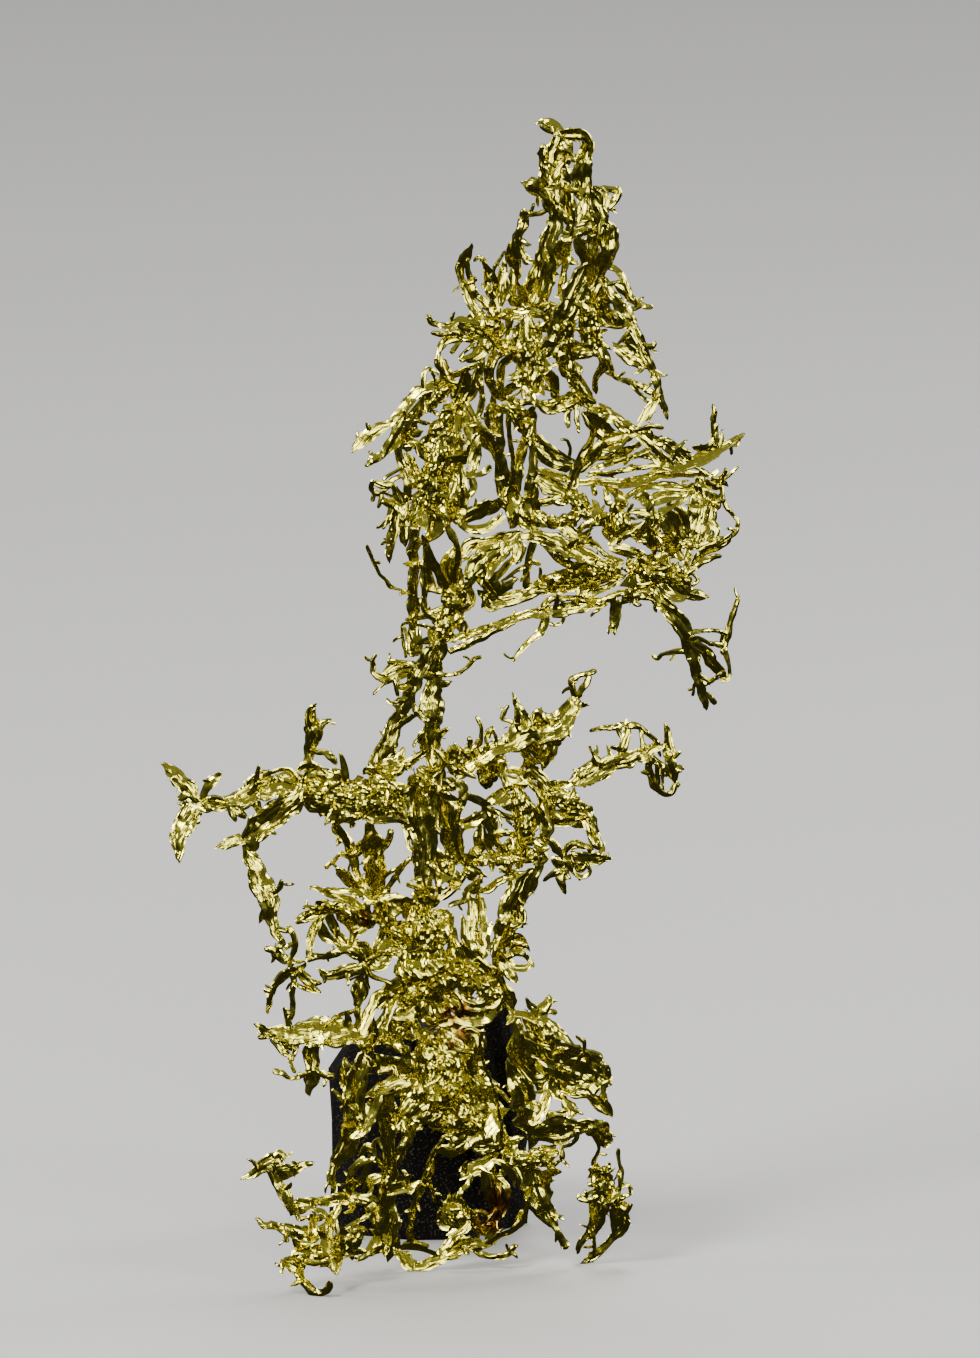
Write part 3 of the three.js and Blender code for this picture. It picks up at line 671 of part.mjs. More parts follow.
  "right_leg": [ // the right leg: a knotted top and a long pointed foot
    ["mass", 1, 3, [503, 1156, 11], [512, 1160, 16], [526, 1161, 22], [540, 1158, 24],
      [550, 1156, 20], [558, 1154, 8]],
    ["blade", 1, 3, [532, 1162, 32], [534, 1180, 30], [539, 1194, 24], [545, 1206, 20],
      [551, 1218, 11], [557, 1229, 5]],
    ["wire", 1, 3, [532, 1206, 6], [540, 1216, 6], [550, 1226, 6], [558, 1233, 7], [562, 1242, 8],
      [567, 1252, 8]],
    ["twig", 1, 3, [526, 1203, 4], [528, 1196, 5], [533, 1189, 6]],
    ["twig", 1, 0, [540, 1188, 5], [549, 1183, 5], [555, 1181, 3]],
    ["twig", 0, 0, [544, 1162, 6], [552, 1170, 5], [561, 1173, 3]],
  ],
  "right_foot": [ // the far right foot: a crumpled knot on three bent legs, hung from a thin wire
    ["mass", 3, 3, [600, 1170, 14], [604, 1178, 22], [607, 1188, 26], [611, 1198, 24],
      [614, 1206, 18]],
    ["wire", 1, 3, [590, 1134, 6], [596, 1138, 5], [600, 1148, 4], [598, 1157, 4], [594, 1165, 5],
      [597, 1174, 6]],
    ["twig", 3, 3, [578, 1197, 6], [583, 1202, 6], [592, 1201, 6], [600, 1195, 7]],
    ["twig", 3, 3, [582, 1200, 4], [590, 1195, 3], [600, 1192, 5]],
    ["blade", 3, 5.5, [598, 1196, 12], [596, 1214, 14], [594, 1226, 10], [590, 1236, 8], [584, 1243, 6],
      [580, 1249, 6], [577, 1256, 5]],
    ["wire", 3, 3, [606, 1198, 7], [604, 1212, 7], [602, 1222, 8], [596, 1232, 8], [590, 1239, 7]],
    ["twig", 3, 5.5, [592, 1236, 5], [595, 1247, 4], [594, 1260, 5]],
    ["blade", 3, 5.7, [616, 1198, 16], [620, 1212, 17], [623, 1222, 14], [625, 1230, 10],
      [616, 1239, 9], [610, 1245, 8], [602, 1252, 8], [594, 1258, 9], [586, 1262, 8]],
    ["wire", 3, 3, [619, 1150, 3], [619, 1158, 4], [620, 1166, 4], [622, 1174, 5], [622, 1182, 5],
      [620, 1190, 5], [616, 1198, 8]],
    ["twig", 3, 3, [620, 1190, 4], [630, 1189, 3], [631, 1196, 3], [624, 1200, 5], [618, 1200, 6]],
    ["twig", 3, 3, [632, 1206, 3], [628, 1212, 4], [620, 1208, 6]],
  ],
};

// ---- From the drawing sheet to the solid ----------------------------------------------------
// A point farther back stands higher on the sheet, so its height above the ground follows from
// both its place down the sheet and its depth.
function place(across, down, back) {
  const height = (GROUND_LINE - down - back * Math.sin(LOOK_DOWN)) / Math.cos(LOOK_DOWN);
  return new THREE.Vector3(across - MIDDLE_ACROSS, back - MIDDLE_BACK, height);
}
const SIGHT = new THREE.Vector3(0, Math.cos(LOOK_DOWN), -Math.sin(LOOK_DOWN));

// A closed solid through a row of rings that all have the same number of points.
function skin(rings) {
  const sides = rings[0].length;
  const positions = [];
  const index = [];
  for (const ring of rings) for (const p of ring) positions.push(p.x, p.y, p.z);
  for (let r = 0; r + 1 < rings.length; r++) {
    for (let s = 0; s < sides; s++) {
      const a = r * sides + s;
      const b = r * sides + (s + 1) % sides;
      index.push(a, b, a + sides, b, b + sides, a + sides);
    }
  }
  const last = (rings.length - 1) * sides;
  for (let s = 1; s + 1 < sides; s++) {
    index.push(0, s + 1, s);
    index.push(last, last + s, last + s + 1);
  }
  const geometry = new THREE.BufferGeometry();
  geometry.setAttribute('position', new THREE.Float32BufferAttribute(positions, 3));
  geometry.setIndex(index);
  return geometry;
}

function toSolid(geometry) {
  const merged = mergeVertices(geometry, 1e-5);
  return new wasm.Manifold(new wasm.Mesh({
    numProp: 3,
    tolerance: FINEST,
    vertProperties: new Float32Array(merged.attributes.position.array),
    triVerts: new Uint32Array(merged.index.array),
  }));
}

// The place on a strand nearest to a given place on the sheet: how far outside the strand's edge
// the given place is, and where on the middle line, how wide and how far back the strand is there.
function nearest(strand, across, down) {
  const [, backStart, backEnd, ...route] = strand;
  const steps = route.slice(1).map(([x, y], i) => Math.hypot(x - route[i][0], y - route[i][1]));
  const total = steps.reduce((sum, step) => sum + step, 0);
  let run = 0;
  let best = { off: Infinity };
  for (let i = 0; i < steps.length; i++) {
    const [ax, ay, aw] = route[i];
    const [bx, by, bw] = route[i + 1];
    const share = ((across - ax) * (bx - ax) + (down - ay) * (by - ay)) / steps[i] ** 2;
    const t = Math.min(Math.max(share, 0), 1);
    const x = ax + t * (bx - ax);
    const y = ay + t * (by - ay);
    const width = aw + t * (bw - aw);
    const off = Math.hypot(x - across, y - down) - width / 2;
    if (off < best.off) {
      best = { off, x, y, width, back: backStart + (backEnd - backStart) * (run + t * steps[i]) / total };
    }
    run += steps[i];
  }
  return best;
}

// A strand that meets an earlier one of its node is rooted in it: its end is led close to the
// middle of the earlier strand, at the same depth. A strand with two free ends is moved to the
// depth of the first strand that it crosses.
function rooted(strands) {
  const done = [];
  for (const [kind, backStart, backEnd, ...drawn] of strands) {
    const route = drawn.map((point) => [...point]);
    const meet = ([across, down, width]) => done
      .map((earlier) => nearest(earlier, across, down))
      .filter((here) => here.off < width / 2 + 1)
      .sort((a, b) => a.off - b.off)[0];
    const lead = (point, here) => {
      const away = Math.hypot(point[0] - here.x, point[1] - here.y);
      const share = Math.min(1, ROOT_DEPTH * here.width / Math.max(away, 1e-6));
      point[0] = here.x + (point[0] - here.x) * share;
      point[1] = here.y + (point[1] - here.y) * share;
      return here.back;
    };
    const atStart = meet(route[0]);
    const atEnd = meet(route[route.length - 1]);
    let start = atStart ? lead(route[0], atStart) : backStart;
    let end = atEnd ? lead(route[route.length - 1], atEnd) : backEnd;
    if (!atStart && !atEnd) {
      const crossing = route.findIndex((point) => meet(point));
      if (crossing > 0) {
        const own = backStart + (backEnd - backStart) * crossing / (route.length - 1);
        const shift = meet(route[crossing]).back - own;
        start += shift;
        end += shift;
      }
    }
    done.push([kind, start, end, ...route]);
  }
  return done;
}

// Leaves out the points of a route that lie nearly on the line between their neighbours.
function straightened(route) {
  if (route.length < 3) return route;
  const first = route[0];
  const last = route[route.length - 1];
  let worst = 0;
  let at = 0;
  for (let i = 1; i + 1 < route.length; i++) {
    const dx = last[0] - first[0];
    const dy = last[1] - first[1];
    const t = ((route[i][0] - first[0]) * dx + (route[i][1] - first[1]) * dy) / (dx * dx + dy * dy);
    const share = Math.min(Math.max(t, 0), 1);
    const off = Math.hypot(route[i][0] - first[0] - share * dx, route[i][1] - first[1] - share * dy)
      + 0.5 * Math.abs(route[i][2] - first[2] - share * (last[2] - first[2]));
    if (off > worst) { worst = off; at = i; }
  }
  if (worst * TENTH < STRAIGHT) return [first, last];
  return [...straightened(route.slice(0, at + 1)), ...straightened(route.slice(at)).slice(1)];
}

// One strand as a straight-sided solid: a section at each point of the route, square to the
// direction in which the strand runs there. `extra` widens it on every side.
function strandSolid(strand, number, extra) {
  const [kind, backStart, backEnd, ...drawn] = strand;
  const route = straightened(drawn);
  const { flat, sides, roll } = KINDS[kind];
  const turn = roll * ((number % 3) - 1);
  const lengths = [0];
  for (let i = 1; i < route.length; i++) {
    lengths.push(lengths[i - 1] + Math.hypot(route[i][0] - route[i - 1][0], route[i][1] - route[i - 1][1]));
  }
  const total = lengths[lengths.length - 1];
  const stagger = STAGGER * ((number % 5) - 2);
  const points = route.map(([across, down], i) => place(
    across * TENTH, down * TENTH, backStart + stagger + (backEnd - backStart) * lengths[i] / total));
  const rings = points.map((point, i) => {
    const before = points[Math.max(i - 1, 0)];
    const after = points[Math.min(i + 1, points.length - 1)];
    const along = after.clone().sub(before).normalize();
    const wide = new THREE.Vector3().crossVectors(along, SIGHT).normalize();
    const deep = new THREE.Vector3().crossVectors(along, wide).normalize();
    const seen = route[i][2] * TENTH;
    const width = Math.max(seen / Math.cos(turn), THINNEST);
    const thick = Math.max(Math.min(seen * flat, width), THINNEST);
    const centre = point.clone();
    if (extra && i === 0) centre.addScaledVector(along, -extra);
    if (extra && i === points.length - 1) centre.addScaledVector(along, extra);
    const ring = [];
    for (let s = 0; s < sides; s++) {
      const angle = 2 * Math.PI * s / sides;
      const reach = 1 / Math.cos(Math.PI / sides);
      const u = Math.cos(angle) * (width / 2 + extra * reach);
      const v = Math.sin(angle) * (thick / 2 + extra * reach);
      ring.push(centre.clone()
        .addScaledVector(wide, u * Math.cos(turn) - v * Math.sin(turn))
        .addScaledVector(deep, u * Math.sin(turn) + v * Math.cos(turn)));
    }
    return ring;
  });
  const solid = toSolid(skin(rings));
  return solid.volume() > 0 ? solid : toSolid(skin(rings.reverse()));
}

function joined(strands, extra) {
  let solid = null;
  strands.forEach((strand, number) => {
    const piece = strandSolid(strand, number, extra);
    solid = solid ? solid.add(piece) : piece;
  });
  return solid;
}

function largestBody(solid) {
  const bodies = solid.decompose().sort((a, b) => b.volume() - a.volume());
  return bodies[0];
}

// Draws the small facets where strands meet together into larger ones. An edge closes up to a
// point where that point stays within `coarseness` of every facet plane that it replaces, where
// the surface stays one closed skin and where no facet turns over.
function coarser(points, facets, coarseness) {
  const plane = ([a, b, c]) => {
    const normal = points[b].clone().sub(points[a]).cross(points[c].clone().sub(points[a]));
    const size = normal.length();
    return { normal: normal.divideScalar(size || 1), size, offset: normal.dot(points[a]) };
  };
  const around = points.map(() => new Set());
  facets.forEach((facet, f) => facet.forEach((v) => around[v].add(f)));
  const planes = around.map((set) => [...set].map((f) => plane(facets[f])).filter((p) => p.size > 1e-5));
  const alive = facets.map(() => true);
  const beside = (v) => new Set([...around[v]].flatMap((f) => facets[f]).filter((w) => w !== v));
  const cost = (a, b) => {
    let best = { reach: Infinity };
    for (const share of [0, 0.5, 1]) {
      const spot = points[a].clone().lerp(points[b], share);
      let reach = 0;
      for (const p of [...planes[a], ...planes[b]]) reach = Math.max(reach, Math.abs(p.normal.dot(spot) - p.offset));
      if (reach < best.reach) best = { reach, spot };
    }
    return best;
  };
  let changed = true;
  while (changed) {
    changed = false;
    const edges = [];
    facets.forEach(([a, b, c], f) => {
      if (!alive[f]) return;
      for (const [u, v] of [[a, b], [b, c], [c, a]]) if (u < v) edges.push([cost(u, v).reach, u, v]);
    });
    edges.sort((p, q) => p[0] - q[0]);
    const moved = new Set();
    for (const [reach, a, b] of edges) {
      if (reach > coarseness) break;
      if (moved.has(a) || moved.has(b)) continue;
      const { spot } = cost(a, b);
      const shared = [...beside(a)].filter((v) => beside(b).has(v));
      if (shared.length !== 2) continue;
      const between = [...around[a]].filter((f) => around[b].has(f));
      const rest = [...new Set([...around[a], ...around[b]])].filter((f) => !between.includes(f));
      const turns = rest.some((f) => {
        const before = plane(facets[f]);
        const [p, q, r] = facets[f].map((v) => (v === a || v === b ? spot : points[v]));
        const normal = q.clone().sub(p).cross(r.clone().sub(p));
        const longest = Math.max(q.distanceTo(p), r.distanceTo(q), p.distanceTo(r));
        return normal.length() < 0.02 * longest || (before.size > 1e-5
          && normal.normalize().dot(before.normal) < 0.5);
      });
      if (turns) continue;
      points[a].copy(spot);
      planes[a] = [...planes[a], ...planes[b]];
      for (const f of between) {
        alive[f] = false;
        facets[f].forEach((v) => around[v].delete(f));
      }
      for (const f of around[b]) {
        facets[f] = facets[f].map((v) => (v === b ? a : v));
        around[a].add(f);
      }
      around[b].clear();
      [a, b, ...beside(a)].forEach((v) => moved.add(v));
      changed = true;
    }
  }
  return facets.filter((facet, f) => alive[f]);
}

// The corners and the facets of a solid.
function skinOf(solid) {
  const { vertProperties, triVerts, numProp } = solid.getMesh();
  const points = [];
  for (let i = 0; i < vertProperties.length; i += numProp) {
    points.push(new THREE.Vector3(vertProperties[i], vertProperties[i + 1], vertProperties[i + 2]));
  }
  const facets = [];
  for (let i = 0; i < triVerts.length; i += 3) facets.push([triVerts[i], triVerts[i + 1], triVerts[i + 2]]);
  return { points, facets };
}

function geometryOf(points, facets) {
  const used = [...new Set(facets.flat())];
  const number = new Map(used.map((v, i) => [v, i]));
  const geometry = new THREE.BufferGeometry();
  geometry.setAttribute('position', new THREE.Float32BufferAttribute(
    used.flatMap((v) => points[v].toArray()), 3));
  geometry.setIndex(facets.flat().map((v) => number.get(v)));
  return geometry;
}

// True when a geometry whose corners are welded makes a solid with one closed skin, and the skin
// stays closed when every corner is rounded.
function staysClosed(geometry) {
  const welded = mergeVertices(geometry.clone(), WELD);
  let read;
  try {
    read = skinOf(new wasm.Manifold(new wasm.Mesh({
      numProp: 3,
      vertProperties: welded.attributes.position.array,
      triVerts: new Uint32Array(welded.index.array),
    })));
  } catch {
    return false;
  }
  const key = (v) => read.points[v].toArray().map((c) => Math.round(c / ROUNDING)).join();
  const edges = new Set();
  for (const facet of read.facets) {
    const [a, b, c] = facet.map(key);
    if (a === b || b === c || c === a) continue;
    for (const edge of [`${a}>${b}`, `${b}>${c}`, `${c}>${a}`]) {
      if (edges.has(edge)) return false;
      edges.add(edge);
    }
  }
  return [...edges].every((edge) => edges.has(edge.split('>').reverse().join('>')));
}

// Where a skin only touches itself, at a corner or along an edge, the corners that lie in one
// place are drawn a little way into the solid, each to its own side.
function drawnApart(points, facets) {
  const inward = new Map();
  for (const facet of facets) {
    const [a, b, c] = facet.map((v) => points[v]);
    const normal = b.clone().sub(a).cross(c.clone().sub(a)).normalize();
    for (const v of facet) inward.set(v, (inward.get(v) ?? new THREE.Vector3()).sub(normal));
  }
  const used = [...inward.keys()];
  const touching = used.filter((v) => used.some((w) => w !== v && points[v].distanceTo(points[w]) < TOUCHING));
  for (const v of touching) points[v].addScaledVector(inward.get(v).normalize(), APART);
}

// A node's mesh: drawn as coarse as leaves its skin closed.
function meshOf(name, solid, material) {
  let geometry;
  for (const coarseness of COARSENESS) {
    const { points, facets } = skinOf(solid);
    const kept = coarser(points, facets, coarseness);
    drawnApart(points, kept);
    geometry = geometryOf(points, kept);
    if (staysClosed(geometry)) break;
  }
  const mesh = new THREE.Mesh(geometry, material);
  mesh.name = name;
  return mesh;
}

// ---- The gold, node by node -------------------------------------------------------------------
// Each node stops GAP short of the nodes made before it.
const gold = new THREE.MeshStandardMaterial({ color: 0xc7b23c, roughness: 0.22, metalness: 1 });
const black = new THREE.MeshStandardMaterial({ color: 0x14130f, roughness: 0.9, metalness: 0 });
const group = new THREE.Group();
const grown = [];
for (const [name, drawn] of Object.entries(ROUTES)) {
  const strands = rooted(drawn);
  let solid = joined(strands, 0);
  for (const earlier of grown) solid = solid.subtract(earlier);
  grown.push(joined(strands, GAP));
  group.add(meshOf(name, largestBody(solid), gold));
}

// ---- The support ------------------------------------------------------------------------------
// A rough lump through uneven rings, flat underneath.
function lump(rows) {
  const rings = rows.map(([height, across, back, halfWidth, halfDepth], level) => {
    const ring = [];
    for (let s = 0; s < SUPPORT_SIDES; s++) {
      const angle = 2 * Math.PI * s / SUPPORT_SIDES;
      const uneven = 1 + 0.07 * Math.sin(3 * angle + 1.9 * level) + 0.05 * Math.cos(5 * angle - level);
      const lift = level === 0 ? 0 : 0.35 * Math.sin(4 * angle + 2.3 * level);
      ring.push(new THREE.Vector3(
        across - MIDDLE_ACROSS + halfWidth * uneven * Math.cos(angle),
        back - MIDDLE_BACK + halfDepth * uneven * Math.sin(angle),
        height + lift));
    }
    return ring;
  });
  return toSolid(skin(rings));
}
let support = lump(SUPPORT_BLOCK).add(lump(SUPPORT_HORN));
for (const earlier of grown) support = support.subtract(earlier);
group.add(meshOf('support', largestBody(support), black));

export default group;
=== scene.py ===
"""A wire gold specimen: hooked wires, ridged ribbons and crumpled leaves of native gold on a support.

Lengths are worked in millimetres and written to the meshes in metres. +Z is up and +Y is the back.
"""

import math
import random

import bpy
import numpy as np
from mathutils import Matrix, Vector


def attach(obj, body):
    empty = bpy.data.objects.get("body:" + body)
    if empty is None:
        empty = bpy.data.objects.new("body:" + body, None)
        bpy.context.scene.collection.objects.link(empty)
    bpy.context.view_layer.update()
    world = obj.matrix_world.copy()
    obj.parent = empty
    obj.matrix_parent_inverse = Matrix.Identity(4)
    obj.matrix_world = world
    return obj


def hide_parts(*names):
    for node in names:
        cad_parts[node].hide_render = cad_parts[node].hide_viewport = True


bl_info = {
    "name": "Wire gold specimen",
    "version": (1, 0, 0),
    "blender": (4, 5, 0),
    "location": "3D View > Sidebar > Wire gold",
    "description": "Builds a native gold specimen of wires, ribbons and crumpled leaves on its support",
    "category": "Object",
}

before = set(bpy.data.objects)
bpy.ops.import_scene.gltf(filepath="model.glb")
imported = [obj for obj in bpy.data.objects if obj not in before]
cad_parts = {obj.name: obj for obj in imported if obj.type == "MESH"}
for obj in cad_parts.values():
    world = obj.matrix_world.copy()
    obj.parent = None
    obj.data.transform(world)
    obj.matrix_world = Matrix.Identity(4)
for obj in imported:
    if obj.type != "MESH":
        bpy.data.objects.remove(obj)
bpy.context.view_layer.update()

MM = 0.001
PER_MM = 1000.0                  # turns repeats in a millimetre into a pattern's scale
TENTH = 0.1                      # the routes are written in tenths of a millimetre

# The sheet that the strands are drawn on stands upright and is seen from a little above.
LOOK_DOWN = math.radians(12)     # how far above level it is seen from
GROUND_LINE = 127.85             # where the ground meets the middle plane, down the sheet
MIDDLE_ACROSS = 45.4             # the specimen's middle, across the sheet
MIDDLE_BACK = 10.55              # the specimen's middle, front to back
SIGHT = np.array([0.0, math.cos(LOOK_DOWN), -math.sin(LOOK_DOWN)])

# Strands, in millimetres unless a line says otherwise.
THINNEST = 0.3                   # the thinnest strand
LOWEST = 0.01                    # no point of a strand is lower than this
TIP_LENGTH = 0.45                # length of a strand's narrowing end, over its width
TIP_LEAST = 0.3                  # width of the very end, over the strand's width
MASS_CELL = 1.25                 # spacing of a mass's skin points, over a strand's
SMALL_CELL = 1.5                 # the same for the small strands that grow from others
FOLD_STRETCH = 0.3               # how the small folds are drawn out along a strand: 1 is not at all
ROOT_DEPTH = 0.15                # a root's distance from its parent's middle line, over the parent's width
STAGGER = 0.03                   # step between strands drawn at one depth, so that none coincide
TWIST_EVERY = 3.4                # length of strand to each change of its twist
UNEVEN_EVERY = 0.8               # to each change of its width
WANDER_EVERY = (0.9, 1.1)        # to each bend off its route, sideways and front to back
RAGGED_EVERY = (0.5, 0.6)        # to each notch in its two edges
FOLD = 0.55                      # size of a strand's folds across it
MASS_FOLD = 1.15                 # size of a mass's folds
SMALL_FOLD = 0.4                 # size of the smaller folds that lie over both
FOLD_HEIGHTS = (1.5, 0.8)        # of the folds and the smaller ones, over a kind's crumple
FIFTH_TURN = 1.2566              # between the five faces of a wire, in radians
FACE_TURN = (0.5, 1.6)           # how far a wire's face turns, in radians, and over what length
FACE_REACH = (0.86, 0.16, 1.2)   # how far out it lies, how much that changes and over what length
CORNER_MOST = 1.15               # how far out the wire's corners reach at most
RIM_FROM = 0.72                  # where a foil's swollen rim starts, from 0 at its middle to 1
EDGE_FROM = 0.75                 # where the edge starts that gets spurs and a painted highlight, measured the same way
SLANT = 0.5                      # how far a foil's ends are cut at a slant, over its width
CREASE = math.radians(24)        # faces that meet at more than this stay sharp
LEAST_RINGS = 6                  # rings of points along the shortest strand
POINTS_ROUND = (10, 96)          # fewest and most points round a strand

# The three lengthwise folds of a foil. Each has its place across it from -1 to 1, how far that
# strays and over what length, and then its steepness, how much that changes and over what length.
FOLDS = ((-0.5, 0.3, 4.1, 1.0, 0.6, 3.3),
         (0.1, 0.35, 4.7, -1.0, 0.7, 2.9),
         (0.55, 0.25, 3.6, 0.8, 0.6, 3.9))

# The bends of a small strand: how far along it they are, its width there over its width at the root,
# and the stride to them over its length. Then how far each one strays, in radians.
BENDS = ((0.3, 1.15, 0.3), (0.65, 0.95, 0.3), (1.0, 0.35, 0.38))
BEND_STRAY = 0.25

# Small spurs along a strand. Lengths are in tenths, turns in radians and depths in mm.
SPUR_EVERY = 42.0                # length of strand to each spur
SPUR_PLACE = (0.06, 0.97)        # first and last place on the strand, over its length
SPUR_TURN = (0.4, 1.5)           # how far it turns off the strand
SPUR_SHARE = (0.5, 1.1)          # its width over half of the strand's
SPUR_WIDTH = (2.2, 7.0)          # its least and most width
SPUR_LENGTH = (4.0, 13.0)        # its length beyond the strand's edge
SPUR_LONGEST = 20.0
TWIG_BELOW = 3.4                 # a spur that is thinner than this is a twig
TWIG_SHARE = 0.3                 # and so is this share of the others
SPUR_BEND = 1.0
SPUR_DEPTH = 1.3                 # how far forwards or backwards it ends

# Small ribbons that fill a crumpled mass, in the same units.
RIBBONS_PER_MM2 = 1.0
RIBBONS = (("blade", 8.5), ("leaf", 10.0), ("blade", 6.0), ("leaf", 15.0), ("twig", 3.4), ("wire", 4.5))
RIBBON_SHARE = (0.7, 1.25)       # its width over the one beside its kind
RIBBON_ASIDE = 0.44              # how far from the mass's middle line, over the mass's width
RIBBON_AWAY = (-0.2, 0.3)        # how far in front of or behind that line, over the mass's width
RIBBON_LENGTH = (10.0, 30.0)
RIBBON_TURN = 0.8                # the usual turn off the mass's heading
RIBBON_BEND = 1.4
RIBBON_DEPTH = 1.6               # how far forwards or backwards it ends

# Growths that Geometry Nodes scatter: how many there are for each square mm of crumpled skin and
# of edge, how far they lean in radians, and their shapes for a length of 1.
LEAVES_PER_MM2 = 0.25
SPURS_PER_MM2 = 0.1
LEAF_RANGE = (0.45, 1.0)         # the smallest and largest, over the size that a user sets
SPUR_RANGE = (0.4, 1.3)          # the same for the spurs
LEAF_LEAN = 1.15
SPUR_LEAN = 0.7
HALF_TURN = 3.1416
LEAF_SHAPE = dict(length=1.0, width=0.62, thickness=0.12, bend=0.45, curl=0.5)
SPUR_SHAPE = dict(length=1.0, width=0.3, thickness=0.26, bend=0.5, curl=0.0)

# The mirror facets of the gold: whether they follow the strand they lie on, their width over their
# length, their width in mm, and how far they lean.
FACETS = ((False, 1.0, 1.7, 0.20), (True, 0.04, 0.34, 0.42), (True, 0.12, 0.17, 0.16))

# The studio, in metres and watts. Each lamp has its name, place, size and power.
LAMPS = (("key", (-0.40, -0.50, 0.62), 0.24, 5.8), ("fill", (0.62, -0.55, 0.30), 0.20, 2.2),
         ("top", (0.05, 0.25, 0.80), 0.36, 4.0), ("rim", (0.60, 0.30, 0.35), 0.22, 2.2),
         ("strip", (-0.65, -0.05, 0.20), 0.16, 2.0), ("front", (0.10, -0.80, 0.22), 0.32, 2.7))
LAMPS_AIM = (0.0, 0.0, 0.06)     # the middle of the specimen
FLOOR_REACH = 2.0                # from its middle to each side
FLOOR_SINK = 0.00002             # just under the specimen's feet
CAMERA_AWAY = 3.0                # from the specimen
CAMERA_AIM = (49.0, 67.9)        # across and down the sheet, in mm
PICTURE_HEIGHT = 0.1358          # height of the picture at the specimen
SENSOR = 36.0                    # of the camera, in mm

# How each kind of strand is shaped. foil: a folded sheet, not a wire. flat: thickness over width.
# thinnest: least thickness, mm. roll and twist: turn about its own length. rim: swelling of its
# edges. curl: height of its lengthwise folds, over width. wander: bend off its route, over width.
# uneven: change of width. crumple: height of the small folds, mm. scatter: how leafy it is.
# share: its own width over the drawn one.
KINDS = {
    "twig": dict(foil=False, flat=0.8, thinnest=0.24, roll=0.0, twist=0.6, rim=0.0, curl=0.0,
                 wander=0.2, uneven=0.22, crumple=0.04, scatter=0.0, share=1.07),
    "wire": dict(foil=False, flat=0.7, thinnest=0.3, roll=0.0, twist=0.5, rim=0.0, curl=0.0,
                 wander=0.14, uneven=0.2, crumple=0.06, scatter=0.0, share=1.07),
    "blade": dict(foil=True, flat=0.09, thinnest=0.12, roll=0.42, twist=0.35, rim=0.7, curl=0.12,
                  wander=0.07, uneven=0.16, crumple=0.07, scatter=0.0, share=1.07),
    "leaf": dict(foil=True, flat=0.05, thinnest=0.12, roll=0.3, twist=0.25, rim=0.7, curl=0.09,
                 wander=0.05, uneven=0.14, crumple=0.09, scatter=0.0, share=1.07),
    "mass": dict(foil=False, flat=0.62, thinnest=1.0, roll=0.2, twist=0.2, rim=0.0, curl=0.0,
                 wander=0.04, uneven=0.2, crumple=0.35, scatter=1.2, share=0.68),
}


def drawn_as(kind):
    """A function that draws strands of one kind.

    It takes how far back the strand lies at its start and at its end, in millimetres, and then its
    route down the sheet: across, down and width at each point, in tenths of a millimetre.
    """
    def draw(start, end, *route):
        return [kind, start, end, *zip(route[::3], route[1::3], route[2::3])]
    return draw


twig, wire, blade, leaf, mass = (drawn_as(kind) for kind in ("twig", "wire", "blade", "leaf", "mass"))

